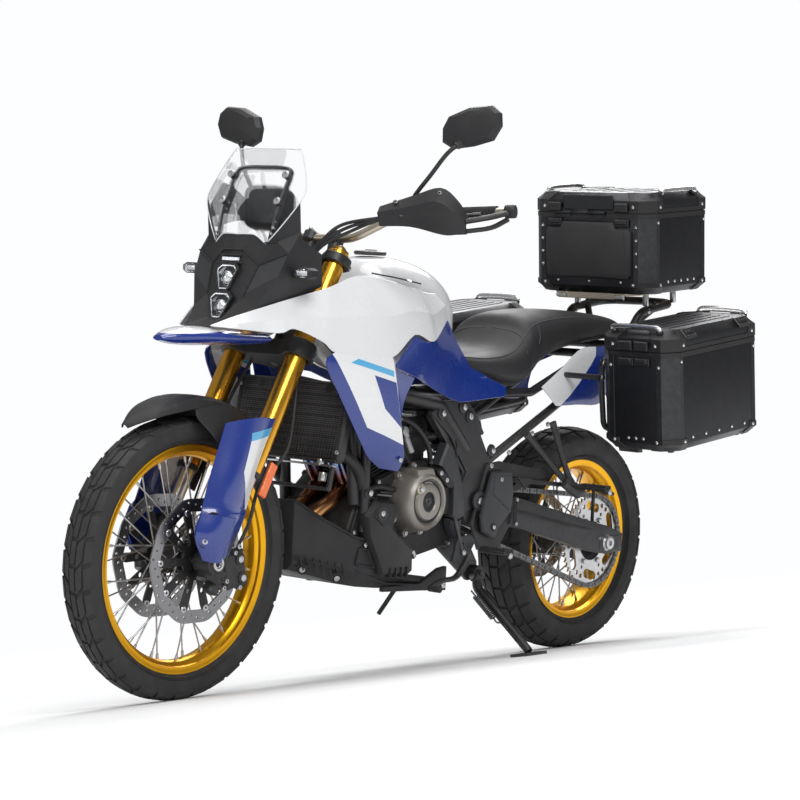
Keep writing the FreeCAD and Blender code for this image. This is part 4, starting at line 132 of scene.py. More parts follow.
chosen = worldTree.nodes.new("ShaderNodeMixShader")
worldTree.links.new(straightSight(worldTree), chosen.inputs[0])
worldTree.links.new(ambient.outputs[0], chosen.inputs[1])
worldTree.links.new(backdrop.outputs[0], chosen.inputs[2])
worldTree.links.new(chosen.outputs[0], worldTree.nodes["World Output"].inputs["Surface"])
for lampName, lampPlace, lampSize, lampPower in studio["lamps"]:
    lampData = bpy.data.lights.new(lampName, "AREA")
    lampData.size = lampSize
    lampData.energy = lampPower
    lampObject = bpy.data.objects.new(lampName, lampData)
    scene.collection.objects.link(lampObject)
    lampObject.location = lampPlace
    lampObject.rotation_euler = (Vector((0, 0, 0.6)) - Vector(lampPlace)).to_track_quat("-Z", "Y").to_euler()
print("studio ready")


# Mesh tools: every one returns points in bike millimetres and faces
def toRow(points):
    # Bike millimetres to metres in the leaned frame.
    return [bikeToRow @ Vector(point) for point in points]


def joined(*shapes):
    # Several shapes as one, each with the marks that choose its finish.
    points, faces, marks = [], [], []
    for shape in shapes:
        start = len(points)
        points.extend(shape[0])
        faces.extend(tuple(index + start for index in face) for face in shape[1])
        marks.extend(shape[2] if len(shape) > 2 else [0] * len(shape[1]))
    return points, faces, marks


def marked(shape, mark):
    # A shape with one mark on all its faces.
    return shape[0], shape[1], [mark] * len(shape[1])


def mirrored(shape):
    # A shape and its mirror image on the other side.
    points = [Vector(point) for point in shape[0]]
    flipped = [Vector((p.x, -p.y, p.z)) for p in points]
    faces = [tuple(reversed(face)) for face in shape[1]]
    marks = shape[2] if len(shape) > 2 else [0] * len(faces)
    return joined((points, shape[1], marks), (flipped, faces, marks))


def add(parts, mark, *shapes):
    # Puts shapes with one finish among a piece's parts.
    parts.extend(marked(shape, mark) for shape in shapes)


def addPair(parts, mark, *shapes):
    # The same on both sides of the machine.
    add(parts, mark, *[mirrored(shape) for shape in shapes])


def moved(shape, matrix):
    # A shape carried by a matrix.
    return ([matrix @ Vector(point) for point in shape[0]], shape[1]) + tuple(shape[2:])


def barrel(start, end, radius, sides=24, endRadius=None, soft=0.0):
    # A round bar between two points, its rims rounded by soft.
    start, end = Vector(start), Vector(end)
    endRadius = radius if endRadius is None else endRadius
    way = (end - start).normalized()
    length = (end - start).length
    a = way.orthogonal().normalized()
    b = way.cross(a)
    soft = min(soft, length * 0.45)
    profile = [(0, radius), (length, endRadius)]
    if soft:
        profile = [(0, radius - soft), (soft * 0.3, radius - soft * 0.3), (soft, radius),
                   (length - soft, endRadius), (length - soft * 0.3, endRadius - soft * 0.3),
                   (length, endRadius - soft)]
    points, faces = [], []
    for along, reach in profile:
        for index in range(sides):
            angle = 2 * pi * index / sides
            points.append(start + way * along + (a * cos(angle) + b * sin(angle)) * reach)
    for ring in range(len(profile) - 1):
        for index in range(sides):
            following = (index + 1) % sides
            faces.append((ring * sides + index, ring * sides + following,
                          (ring + 1) * sides + following, (ring + 1) * sides + index))
    faces.append(tuple(range(sides))[::-1])
    faces.append(tuple(range((len(profile) - 1) * sides, len(profile) * sides)))
    return points, faces


def turned(profile, centre, steps=96, way=wayY, closed=True):
    # A ring turned about a line through centre, from (along, radius) corners; closed joins last to first.
    way = Vector(way).normalized()
    a = Vector((1, 0, 0)) if abs(way.y) > 0.9 else way.orthogonal().normalized()
    b = way.cross(a) * -1 if abs(way.y) > 0.9 else way.cross(a)
    points, faces = [], []
    count = len(profile)
    for step in range(steps):
        angle = 2 * pi * step / steps
        out = a * cos(angle) + b * sin(angle)
        for along, radius in profile:
            points.append(Vector(centre) + way * along + out * radius)
    for step in range(steps):
        here, there = step * count, ((step + 1) % steps) * count
        for index in range(count if closed else count - 1):
            following = (index + 1) % count
            faces.append((here + index, there + index, there + following, here + following))
    return points, faces


def smoothPath(points, steps=8):
    # A Catmull-Rom line through the points.
    points = [Vector(point) for point in points]
    count = len(points)
    out = []
    for index in range(count - 1):
        p1, p2 = points[index], points[index + 1]
        p0 = points[index - 1] if index else p1 * 2 - p2
        p3 = points[index + 2] if index + 2 < count else p2 * 2 - p1
        for step in range(steps):
            t = step / steps
            out.append(((p1 * 2) + (p2 - p0) * t + (p0 * 2 - p1 * 5 + p2 * 4 - p3) * t * t
                        + (p1 * 3 - p0 - p2 * 3 + p3) * t ** 3) * 0.5)
    out.append(points[-1])
    return out


def tube(path, radius, sides=16, steps=6, flat=1.0, sharp=False):
    # A tube along a smooth line; radius is one number or one for each point given.
    points = [Vector(point) for point in path]
    radii = radius if isinstance(radius, (list, tuple)) else [radius] * len(points)
    line = points if sharp else smoothPath(points, steps)
    thick = []
    for index in range(len(line)):
        if sharp:
            thick.append(radii[min(index, len(radii) - 1)])
            continue
        place = index / steps
        low = int(place) % len(radii)
        high = min(low + 1, len(radii) - 1)
        thick.append(radii[low] + (radii[high] - radii[low]) * (place - int(place)))
    count = len(line)
    normal = None
    out, faces = [], []
    for index, place in enumerate(line):
        before = line[index - 1] if index else place
        after = line[index + 1] if index + 1 < count else place
        way = (after - before).normalized()
        if normal is None:
            normal = way.orthogonal().normalized() if abs(way.y) > 0.9 else way.cross(wayY).normalized()
        normal = (normal - way * normal.dot(way)).normalized()
        other = way.cross(normal)
        for side in range(sides):
            angle = 2 * pi * side / sides
            out.append(place + (normal * cos(angle) + other * sin(angle) * flat) * thick[index])
    for index in range(count - 1):
        here, there = index * sides, (index + 1) * sides
        for side in range(sides):
            following = (side + 1) % sides
            faces.append((here + side, here + following, there + following, there + side))
    faces.append(tuple(range(sides))[::-1])
    faces.append(tuple(range((count - 1) * sides, count * sides)))
    return out, faces


def block(centre, size, ways=(wayX, wayY, wayZ), soft=1.5):
    # A box with its twelve edges cut back by soft.
    half = [value / 2 for value in size]
    soft = min(soft, min(half) * 0.8)
    points = []
    index = {}
    for sx in (-1, 1):
        for sy in (-1, 1):
            for sz in (-1, 1):
                for k in range(3):
                    corner = [sx * (half[0] - soft), sy * (half[1] - soft), sz * (half[2] - soft)]
                    corner[k] = (sx, sy, sz)[k] * half[k]
                    index[(sx, sy, sz, k)] = len(points)
                    points.append(Vector(centre) + ways[0] * corner[0] + ways[1] * corner[1] + ways[2] * corner[2])
    faces = []
    signs = (-1, 1)
    for k in range(3):
        i, j = (k + 1) % 3, (k + 2) % 3
        for s in signs:
            ring = []
            for a, b in ((-1, -1), (1, -1), (1, 1), (-1, 1)):
                corner = [0, 0, 0]
                corner[k], corner[i], corner[j] = s, a, b
                ring.append(index[(*corner, k)])
            faces.append(tuple(ring if s > 0 else ring[::-1]))
        for a in signs:
            for b in signs:
                low, high = [0, 0, 0], [0, 0, 0]
                low[k], low[i], low[j] = -1, a, b
                high[k], high[i], high[j] = 1, a, b
                ring = [index[(*low, i)], index[(*high, i)], index[(*high, j)], index[(*low, j)]]
                faces.append(tuple(ring if a * b > 0 else ring[::-1]))
    for sx in signs:
        for sy in signs:
            for sz in signs:
                ring = [index[(sx, sy, sz, k)] for k in range(3)]
                faces.append(tuple(ring if sx * sy * sz > 0 else ring[::-1]))
    return points, faces


def netSurface(net, across=6, along=6):
    # A smooth grid through rows of control points.
    rows = [smoothPath(row, along) for row in net]
    columns = [smoothPath([row[index] for row in rows], across) for index in range(len(rows[0]))]
    count = len(columns[0])
    points = [columns[c][r] for r in range(count) for c in range(len(columns))]
    wide = len(columns)
    faces = [(r * wide + c, r * wide + c + 1, (r + 1) * wide + c + 1, (r + 1) * wide + c)
             for r in range(count - 1) for c in range(wide - 1)]
    return points, faces


def hullForm(stations, power=2.6, sides=40, steps=5, topPower=None):
    # A closed form alike on both sides through (x, half width, low, high) stations.
    rings = []
    smooth = smoothPath([Vector((x, half, low)) for x, half, low, high in stations], steps)
    tops = smoothPath([Vector((x, half, high)) for x, half, low, high in stations], steps)
    for base, top in zip(smooth, tops):
        middle, rise = (base.z + top.z) / 2, (top.z - base.z) / 2
        ring = []
        for side in range(sides):
            angle = 2 * pi * side / sides
            c, s = cos(angle), sin(angle)
            n = (topPower or power) if s > 0 else power
            ring.append(Vector((base.x, copysign(abs(c) ** (2 / n), c) * base.y,
                                middle + copysign(abs(s) ** (2 / n), s) * rise)))
        rings.append(ring)
    return skin(rings)


def skin(rings, closed=True, caps=True):
    # Faces between rings of as many points.
    count = len(rings[0])
    points = [point for ring in rings for point in ring]
    faces = []
    for row in range(len(rings) - 1):
        here, there = row * count, (row + 1) * count
        for index in range(count if closed else count - 1):
            following = (index + 1) % count
            faces.append((here + index, here + following, there + following, there + index))
    if caps and closed:
        faces.append(tuple(range(count))[::-1])
        faces.append(tuple(range((len(rings) - 1) * count, len(rings) * count)))
    return points, faces


def plate(outline, holes, thickness, matrix, bevel=0.0):
    # A flat plate with holes, drawn in its own plane and then placed by matrix.
    curve = bpy.data.curves.new("plateOutline", "CURVE")
    curve.dimensions = "2D"
    curve.fill_mode = "BOTH"
    curve.extrude = thickness / 2 - bevel
    curve.bevel_depth = bevel
    curve.offset = -bevel
    for loop in [outline] + list(holes):
        spline = curve.splines.new("POLY")
        spline.points.add(len(loop) - 1)
        for item, (x, y) in zip(spline.points, loop):
            item.co = (x, y, 0, 1)
        spline.use_cyclic_u = True
    thing = bpy.data.objects.new("plateOutline", curve)
    mesh = bpy.data.meshes.new_from_object(thing)
    points = [matrix @ item.co for item in mesh.vertices]
    faces = [tuple(face.vertices) for face in mesh.polygons]
    bpy.data.objects.remove(thing)
    bpy.data.curves.remove(curve)
    bpy.data.meshes.remove(mesh)
    return points, faces


def roundLoop(x, y, radius, count=16):
    # A circle of corners.
    return [(x + cos(2 * pi * k / count) * radius, y + sin(2 * pi * k / count) * radius)
            for k in range(count)]


def slotLoop(x, y, length, width, angle=0.0):
    # A slot with round ends.
    count = 8
    run = length / 2 - width / 2
    loop = []
    for first, end in ((-90, run), (90, -run)):
        for k in range(count + 1):
            a = radians(first) + pi * k / count
            loop.append((end + cos(a) * width / 2, sin(a) * width / 2))
    c, s = cos(radians(angle)), sin(radians(angle))
    return [(x + px * c - py * s, y + px * s + py * c) for px, py in loop]


def facing(centre, across, up):
    # A matrix that lays a plate's own X and Y along two ways at a place.
    across = Vector(across).normalized()
    up = Vector(up).normalized()
    return Matrix.Translation(Vector(centre)) @ Matrix((across, up, across.cross(up))).transposed().to_4x4()


def bolt(centre, way, radius=6.0, height=5.0):
    # A socket-head bolt.
    way = Vector(way).normalized()
    centre = Vector(centre)
    head = barrel(centre, centre + way * height, radius, 14, soft=radius * 0.16)
    points, faces = head
    top = faces.pop()
    inner = []
    middle = centre + way * height
    for index in top:
        inner.append(middle + (points[index] - middle) * 0.55)
    start = len(points)
    points = points + inner + [point - way * height * 0.5 for point in inner]
    count = len(top)
    for k in range(count):
        n = (k + 1) % count
        faces.append((top[k], top[n], start + n, start + k))
        faces.append((start + k, start + n, start + count + n, start + count + k))
    faces.append(tuple(range(start + count, start + 2 * count)))
    return points, faces


def hexNut(centre, way, radius=8.0, height=6.0):
    # A six-sided nut.
    return barrel(centre, Vector(centre) + Vector(way).normalized() * height, radius, 6, soft=radius * 0.08)


def settle(thing):
    # The piece's mesh with its modifiers worked in.
    shown = thing.evaluated_get(bpy.context.evaluated_depsgraph_get())
    mesh = bpy.data.meshes.new_from_object(shown)
    thing.modifiers.clear()
    old = thing.data
    thing.data = mesh
    bpy.data.meshes.remove(old)


def piece(name, shape, body, finishes, angle=38, bevel=0.0, solid=0.0, weld=False, over=(), bevelAngle=40):
    # Makes one piece of the scene: its mesh, finishes, body and the nodes it stands for.
    finishes = finishes if isinstance(finishes, (list, tuple)) else [finishes]
    mesh = bpy.data.meshes.new(name)
    mesh.from_pydata(toRow(shape[0]), [], shape[1])
    for item in finishes:
        mesh.materials.append(item)
    if len(shape) > 2:
        mesh.polygons.foreach_set("material_index", shape[2])
    mesh.validate()
    if weld:
        work = bmesh.new()
        work.from_mesh(mesh)
        bmesh.ops.remove_doubles(work, verts=work.verts, dist=0.0001)
        bmesh.ops.recalc_face_normals(work, faces=work.faces)
        work.to_mesh(mesh)
        work.free()
    thing = bpy.data.objects.new(name, mesh)
    scene.collection.objects.link(thing)
    if solid:
        step = thing.modifiers.new("solidify", "SOLIDIFY")
        step.thickness = solid / 1000
        step.offset = -1
    if bevel:
        step = thing.modifiers.new("bevel", "BEVEL")
        step.width = bevel / 1000
        step.segments = 2
        step.limit_method = "ANGLE"
        step.angle_limit = radians(bevelAngle)
    if thing.modifiers:
        settle(thing)
    thing.data.shade_smooth()
    thing.data.set_sharp_from_angle(angle=radians(angle))
    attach(thing, body)
    if over:
        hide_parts(*over)
    return thing


# Shared effects as shader node groups
def addNode(tree, kind, values=None, **settings):
    # A shader node with its settings and socket values.
    node = tree.nodes.new("ShaderNode" + kind)
    for key, value in settings.items():
        setattr(node, key, value)
    for socket, value in (values or {}).items():
        node.inputs[socket].default_value = value
    return node


def feed(tree, source, target):
    # A link from one socket to another.
    tree.links.new(source, target)


def makeGroup(name, inputs, outputs, nodes, links):
    # A node group: its inputs with their values, its outputs, its nodes, and links as node.socket > node.socket.
    group = bpy.data.node_groups.new(name, "ShaderNodeTree")
    for label, value in inputs.items():
        kind = "NodeSocketColor" if isinstance(value, tuple) else "NodeSocketFloat"
        group.interface.new_socket(name=label, in_out="INPUT", socket_type=kind).default_value = value
    for label in outputs:
        kind = "NodeSocketColor" if label == "Color" else "NodeSocketFloat"
        group.interface.new_socket(name=label, in_out="OUTPUT", socket_type=kind)
    made = {"given": group.nodes.new("NodeGroupInput"), "result": group.nodes.new("NodeGroupOutput")}
    for label, (kind, values, settings) in nodes.items():
        made[label] = addNode(group, kind, values, **settings)
    for link in links.split(";"):
        (start, leaving), (end, entering) = [place.strip().split(".") for place in link.split(">")]
        feed(group, made[start].outputs[int(leaving) if leaving.isdigit() else leaving],
             made[end].inputs[int(entering) if entering.isdigit() else entering])
    return group


times = ("Math", {}, {"operation": "MULTIPLY"})
coordinates = ("TexCoord", {}, {})
geometry = ("NewGeometry", {}, {})
split = ("SeparateXYZ", {}, {})

# Grain: height and roughness from two sizes of noise
grainGroup = makeGroup(
    "surfaceGrain", {"Scale": 300.0, "Patch Scale": 12.0, "Rough Low": 0.4, "Rough High": 0.5},
    ("Height", "Roughness"),
    {"coords": coordinates, "fine": ("TexNoise", {"Detail": 3}, {}), "coarse": ("TexNoise", {"Detail": 4}, {}),
     "span": ("MapRange", {"From Min": 0.3, "From Max": 0.7}, {})},
    "coords.Object > fine.Vector; coords.Object > coarse.Vector; given.Scale > fine.Scale;"
    "given.Patch Scale > coarse.Scale; coarse.Fac > span.Value; given.Rough Low > span.To Min;"
    "given.Rough High > span.To Max; fine.Fac > result.Height; span.Result > result.Roughness")

# Brushed lines: noise stretched along the machine, or across it
brushGroup = makeGroup(
    "brushedLines", {"Along": 6.0, "Across": 900.0, "Rough Low": 0.3, "Rough High": 0.45}, ("Height", "Roughness"),
    {"coords": coordinates, "apart": split, "alongX": times, "acrossY": times, "acrossZ": times,
     "mixed": ("CombineXYZ", {}, {}), "lines": ("TexNoise", {"Scale": 1, "Detail": 2}, {}),
     "span": ("MapRange", {}, {})},
    "coords.Object > apart.0; apart.X > alongX.0; given.Along > alongX.1; apart.Y > acrossY.0;"
    "given.Across > acrossY.1; apart.Z > acrossZ.0; given.Across > acrossZ.1; alongX.0 > mixed.X;"
    "acrossY.0 > mixed.Y; acrossZ.0 > mixed.Z; mixed.0 > lines.Vector; lines.Fac > span.Value;"
    "given.Rough Low > span.To Min; given.Rough High > span.To Max; lines.Fac > result.Height;"
    "span.Result > result.Roughness")

# Colour drift: a second colour showing through in patches
driftGroup = makeGroup(
    "colourDrift", {"Base": (0.5, 0.5, 0.5, 1), "Other": (0.6, 0.6, 0.6, 1), "Scale": 14.0,
                    "Amount": 0.5}, ("Color",),
    {"coords": coordinates, "patches": ("TexNoise", {"Detail": 5}, {}), "share": times,
     "mixer": ("Mix", {}, {"data_type": "RGBA"})},
    "coords.Object > patches.Vector; given.Scale > patches.Scale; patches.Fac > share.0; given.Amount > share.1;"
    "share.0 > mixer.Factor; given.Base > mixer.A; given.Other > mixer.B; mixer.Result > result.Color")

# Road dust: a mask that gathers on faces that look up
dustGroup = makeGroup(
    "roadDust", {"Amount": 0.2, "Scale": 30.0}, ("Mask",),
    {"coords": coordinates, "shape": geometry, "apart": split, "specks": ("TexNoise", {"Detail": 6}, {}),
     "facingUp": ("MapRange", {"From Min": -0.4, "To Min": 0.15}, {}),
     "worn": ("MapRange", {"From Min": 0.42, "From Max": 0.72}, {}), "first": times, "second": times},
    "shape.Normal > apart.0; apart.Z > facingUp.Value; coords.Object > specks.Vector; given.Scale > specks.Scale;"
    "specks.Fac > worn.Value; facingUp.Result > first.0; worn.Result > first.1; first.0 > second.0;"
    "given.Amount > second.1; second.0 > result.Mask")

# Edge wear: corners rubbed lighter
wearGroup = makeGroup(
    "edgeWear", {"Amount": 0.5, "Scale": 60.0}, ("Mask",),
    {"coords": coordinates, "shape": geometry, "rubs": ("TexNoise", {"Detail": 5}, {}),
     "edges": ("MapRange", {"From Min": 0.52, "From Max": 0.62}, {}), "first": times, "second": times},
    "shape.Pointiness > edges.Value; coords.Object > rubs.Vector; given.Scale > rubs.Scale; edges.Result > first.0;"
    "rubs.Fac > first.1; first.0 > second.0; given.Amount > second.1; second.0 > result.Mask")

# Place on the machine: bike millimetres from the leaned frame
placeGroup = makeGroup(
    "machinePlace", {}, ("X", "Y", "Z"),
    {"coords": coordinates, "apart": split, "upright": ("Mapping", {
        "Location": groundPoint, "Rotation": Matrix((forwardWay, leftWay, upWay)).transposed().to_euler(),
        "Scale": (0.001, 0.001, 0.001)}, {"vector_type": "TEXTURE"})},
    "coords.Object > upright.Vector; upright.Vector > apart.0; apart.X > result.X; apart.Y > result.Y;"
    "apart.Z > result.Z")


def useGroup(tree, group, **values):
    # A node group put to use in a tree.
    node = tree.nodes.new("ShaderNodeGroup")
    node.node_tree = group
    for label, value in values.items():
        node.inputs[label.replace("_", " ")].default_value = value
    return node


def laidOver(tree, under, colour, mask):
    # A colour over another where a mask lets it.
    mixer = addNode(tree, "Mix", {"B": (*colour, 1)}, data_type="RGBA")
    feed(tree, mask, mixer.inputs["Factor"])
    feed(tree, under, mixer.inputs["A"])
    return mixer.outputs["Result"]


dustLayer = {"share": 0.3, "colour": (0.33, 0.3, 0.26)}


def finish(name, colour, other=None, metallic=0.0, rough=(0.4, 0.5), grain=300.0, bump=0.1, drift=0.5, dust=0.0,
           wear=0.0, wearColour=(0.4, 0.4, 0.4), coat=0.0, brushed=None, patch=14.0):
    # A finish with its own grain, drift of colour, dust and wear.
    material = bpy.data.materials.new(name)
    material.use_nodes = True
    tree = material.node_tree
    shader = tree.nodes["Principled BSDF"]
    shader.inputs["Metallic"].default_value = metallic
    shader.inputs["Coat Weight"].default_value = coat
    shader.inputs["Coat Roughness"].default_value = 0.04
    drifted = useGroup(tree, driftGroup, Base=(*colour, 1), Other=(*(other or [c * 1.25 for c in colour]), 1),
                       Scale=patch, Amount=drift)
    colourOut = drifted.outputs["Color"]
    for group, amount, over in ((dustGroup, dust * dustLayer["share"], dustLayer["colour"]),
                                (wearGroup, wear, wearColour)):
        if amount:
            layer = useGroup(tree, group, Amount=amount)
            colourOut = laidOver(tree, colourOut, over, layer.outputs["Mask"])
    feed(tree, colourOut, shader.inputs["Base Color"])
    if brushed:
        source = useGroup(tree, brushGroup, Along=brushed[0], Across=brushed[1], Rough_Low=rough[0],
                          Rough_High=rough[1])
    else:
        source = useGroup(tree, grainGroup, Scale=grain, Rough_Low=rough[0], Rough_High=rough[1])
    feed(tree, source.outputs["Roughness"], shader.inputs["Roughness"])
    if bump:
        raised = addNode(tree, "Bump", {"Strength": bump, "Distance": 0.001})
        feed(tree, source.outputs["Height"], raised.inputs["Height"])
        feed(tree, raised.outputs["Normal"], shader.inputs["Normal"])
    return material


def glassFinish(name, colour, rough, alpha, ior):
    # Clear plastic or glass with faint wipe marks in its roughness.
    material = bpy.data.materials.new(name)
    material.use_nodes = True
    tree = material.node_tree
    shader = tree.nodes["Principled BSDF"]
    shader.inputs["Transmission Weight"].default_value = 1
    shader.inputs["IOR"].default_value = ior
    shader.inputs["Base Color"].default_value = (*colour, 1)
    shader.inputs["Alpha"].default_value = alpha
    source = useGroup(tree, grainGroup, Scale=40.0, Rough_Low=rough, Rough_High=rough * 2.5)
    feed(tree, source.outputs["Roughness"], shader.inputs["Roughness"])
    return material


def paintByPlace(material, bands):
    # Lays plain colour fields over a finish: each is a colour and straight lines (x, z, x, z) it lies left of.
    tree = material.node_tree
    shader = tree.nodes["Principled BSDF"]
    colourOut = shader.inputs["Base Color"].links[0].from_socket
    place = useGroup(tree, placeGroup)
    for colour, edges in bands:
        mask = None
        for x1, z1, x2, z2 in edges:
            dx, dz = x2 - x1, z2 - z1
            length = hypot(dx, dz)
            first = addNode(tree, "Math", {1: dx / length}, operation="MULTIPLY")
            feed(tree, place.outputs["Z"], first.inputs[0])
            second = addNode(tree, "Math", {1: -dz / length}, operation="MULTIPLY_ADD")
            feed(tree, place.outputs["X"], second.inputs[0])
            feed(tree, first.outputs[0], second.inputs[2])
            inside = addNode(tree, "Math", {1: (z1 * dx - x1 * dz) / length}, operation="GREATER_THAN")
            feed(tree, second.outputs[0], inside.inputs[0])
            if mask is None:
                mask = inside.outputs[0]
                continue
            both = addNode(tree, "Math", operation="MULTIPLY")
            feed(tree, mask, both.inputs[0])
            feed(tree, inside.outputs[0], both.inputs[1])
            mask = both.outputs[0]
        colourOut = laidOver(tree, colourOut, colour, mask)
    feed(tree, colourOut, shader.inputs["Base Color"])
    return material


def glossPaint(name, colour, other, drift=0.3, dust=0.04):
    # Lacquered paint.
    return finish(name, colour, other, rough=(0.22, 0.3), grain=60, bump=0.004, coat=0.9, drift=drift, dust=dust)


white, royalBlue, lightBlue = (0.80, 0.81, 0.82), (0.006, 0.031, 0.235), (0.09, 0.42, 0.72)
whiteShade, blueShade = (0.76, 0.77, 0.79), (0.012, 0.036, 0.32)
tyreRubber = finish("tyreRubber", (0.022, 0.022, 0.024), (0.045, 0.044, 0.043), rough=(0.62, 0.85), grain=500,
                    bump=0.25, dust=0.25, patch=22)
goldRim = finish("goldRim", (0.88, 0.43, 0.015), (0.93, 0.50, 0.03), metallic=1, rough=(0.28, 0.4), grain=700,
                 bump=0.03, dust=0.1)
goldFork = finish("goldFork", (0.86, 0.42, 0.04), (0.92, 0.50, 0.07), metallic=1, rough=(0.2, 0.3), grain=900,
                  bump=0.02)
satinBlack = finish("satinBlack", (0.009, 0.009, 0.010), (0.017, 0.017, 0.018), rough=(0.38, 0.52), grain=900,
                    bump=0.06, dust=0.15, wear=0.25)
frameCoat = finish("frameCoat", (0.014, 0.0142, 0.016), (0.024, 0.024, 0.026), rough=(0.35, 0.5), grain=700,
                   bump=0.08, dust=0.15, wear=0.2)
armCoat = finish("armCoat", (0.022, 0.0225, 0.025), (0.034, 0.034, 0.037), metallic=0.3, rough=(0.38, 0.52),
                 grain=600, bump=0.1, dust=0.18, wear=0.3)
moulded = finish("mouldedPlastic", (0.014, 0.0142, 0.016), (0.023, 0.023, 0.025), rough=(0.5, 0.64), grain=1100,
                 bump=0.3, dust=0.12)
mouldedDeep = finish("mouldedPlasticDark", (0.010, 0.010, 0.012), (0.018, 0.018, 0.02), rough=(0.5, 0.66),
                     grain=1000, bump=0.3, dust=0.1)
glossWhite = glossPaint("glossWhite", white, whiteShade, drift=0.25)
glossBlue = glossPaint("glossBlue", royalBlue, blueShade)
seatVinyl = finish("seatVinyl", (0.016, 0.016, 0.018), (0.028, 0.028, 0.03), rough=(0.5, 0.66), grain=420,
                   bump=0.35, dust=0.1)
seatThread = finish("seatThread", (0.07, 0.07, 0.075), (0.1, 0.1, 0.1), rough=(0.7, 0.8), grain=1500, bump=0.4)
steel = finish("brushedSteel", (0.55, 0.55, 0.56), (0.62, 0.62, 0.63), metallic=1, rough=(0.26, 0.4),
               brushed=(30, 900), bump=0.05)
discSteel = finish("discSteel", (0.30, 0.30, 0.31), (0.22, 0.22, 0.23), metallic=1, rough=(0.22, 0.36),
                   grain=900, bump=0.08, patch=40)
darkSteel = finish("darkSteel", (0.16, 0.16, 0.165), (0.24, 0.24, 0.24), metallic=1, rough=(0.35, 0.5),
                   grain=500, bump=0.1)
spokeSteel = finish("spokeSteel", (0.42, 0.42, 0.43), (0.5, 0.5, 0.5), metallic=1, rough=(0.25, 0.38),
                    grain=500, bump=0.03)
castCover = finish("castCover", (0.30, 0.28, 0.255), (0.38, 0.355, 0.32), metallic=0.75, rough=(0.38, 0.5),
                   grain=520, bump=0.22, dust=0.12, wear=0.3, wearColour=(0.5, 0.48, 0.45))
castLight = finish("castLight", (0.32, 0.32, 0.33), (0.42, 0.42, 0.42), metallic=0.9, rough=(0.38, 0.52),
                   grain=480, bump=0.3, dust=0.15, wear=0.2, wearColour=(0.6, 0.6, 0.6))
headerMetal = finish("headerMetal", (0.30, 0.17, 0.10), (0.16, 0.12, 0.20), metallic=1, rough=(0.28, 0.42),
                     grain=300, bump=0.05, drift=1.0, patch=9)
caseBlack = finish("caseBlack", (0.030, 0.031, 0.035), (0.046, 0.046, 0.05), metallic=0.85, rough=(0.34, 0.46),
                   brushed=(5, 700), bump=0.1, dust=0.08, wear=0.12)
cornerPlastic = finish("cornerPlastic", (0.009, 0.009, 0.010), (0.016, 0.016, 0.018), rough=(0.42, 0.55),
                       grain=900, bump=0.25, dust=0.08)
silver = finish("silverAluminium", (0.6, 0.6, 0.61), (0.7, 0.7, 0.71), metallic=1, rough=(0.28, 0.42),
                grain=800, bump=0.06)
champagne = finish("champagneAluminium", (0.50, 0.44, 0.35), (0.58, 0.51, 0.42), metallic=1,
                   rough=(0.3, 0.42), grain=800, bump=0.05)
gripRubber = finish("gripRubber", (0.02, 0.02, 0.022), (0.035, 0.035, 0.036), rough=(0.65, 0.8), grain=900,
                    bump=0.3)
hoseRubber = finish("hoseRubber", (0.015, 0.015, 0.016), (0.03, 0.03, 0.03), rough=(0.45, 0.6), grain=900,
                    bump=0.15)
radiatorCore = finish("radiatorCore", (0.02, 0.02, 0.022), (0.05, 0.05, 0.05), metallic=0.5, rough=(0.5, 0.7),
                      grain=400, bump=0.4, dust=0.3)
chainSteel = finish("chainSteel", (0.42, 0.41, 0.39), (0.28, 0.26, 0.22), metallic=1, rough=(0.3, 0.5),
                    grain=300, bump=0.1, drift=0.9, patch=60)
mirrorFace = finish("mirrorFace", (0.8, 0.81, 0.82), (0.78, 0.79, 0.8), metallic=1, rough=(0.02, 0.05),
                    grain=60, bump=0.0)
reflector = finish("lampReflector", (0.72, 0.73, 0.75), (0.6, 0.61, 0.63), metallic=1, rough=(0.08, 0.2),
                   grain=120, bump=0.05)
orangeLens = finish("orangeLens", (0.85, 0.13, 0.0), (0.9, 0.17, 0.0), rough=(0.12, 0.2), grain=260,
                    bump=0.25, coat=0.8)
redLens = finish("redLens", (0.4, 0.01, 0.01), (0.5, 0.02, 0.02), rough=(0.12, 0.2), grain=260, bump=0.25,
                 coat=0.8)
screenClear = glassFinish("screenClear", (0.93, 0.95, 0.96), rough=0.015, ior=1.12, alpha=0.42)
lensClear = glassFinish("lensClear", (0.9, 0.93, 0.96), rough=0.02, ior=1.3, alpha=0.55)
print("finishes ready")

floorPaint = finish("studioFloor", studio["floorColour"], (0.95, 0.95, 0.96), rough=(0.55, 0.65), grain=40,
                    bump=0.0, drift=0.3, patch=0.4)
floorTree = floorPaint.node_tree
floorShader = floorTree.nodes["Principled BSDF"]
floorShader.inputs["Emission Color"].default_value = (1, 1, 1, 1)
distance = addNode(floorTree, "VectorMath", operation="LENGTH")
glowRange = addNode(floorTree, "MapRange", dict(zip(("From Min", "From Max", "To Min", "To Max"),
                                                    studio["floorGlow"])))
glow = addNode(floorTree, "Math", operation="MULTIPLY")
feed(floorTree, addNode(floorTree, "NewGeometry").outputs["Position"], distance.inputs[0])
feed(floorTree, distance.outputs["Value"], glowRange.inputs["Value"])
feed(floorTree, glowRange.outputs["Result"], glow.inputs[1])
feed(floorTree, straightSight(floorTree), glow.inputs[0])
feed(floorTree, glow.outputs[0], floorShader.inputs["Emission Strength"])
half = studio["floorSize"] / 2
floorMesh = bpy.data.meshes.new("studioFloor")
floorMesh.from_pydata([(-half, -half, 0), (half, -half, 0), (half, half, 0), (-half, half, 0)], [], [(0, 1, 2, 3)])
floorMesh.materials.append(floorPaint)
floorPiece = bpy.data.objects.new("studioFloor", floorMesh)
scene.collection.objects.link(floorPiece)


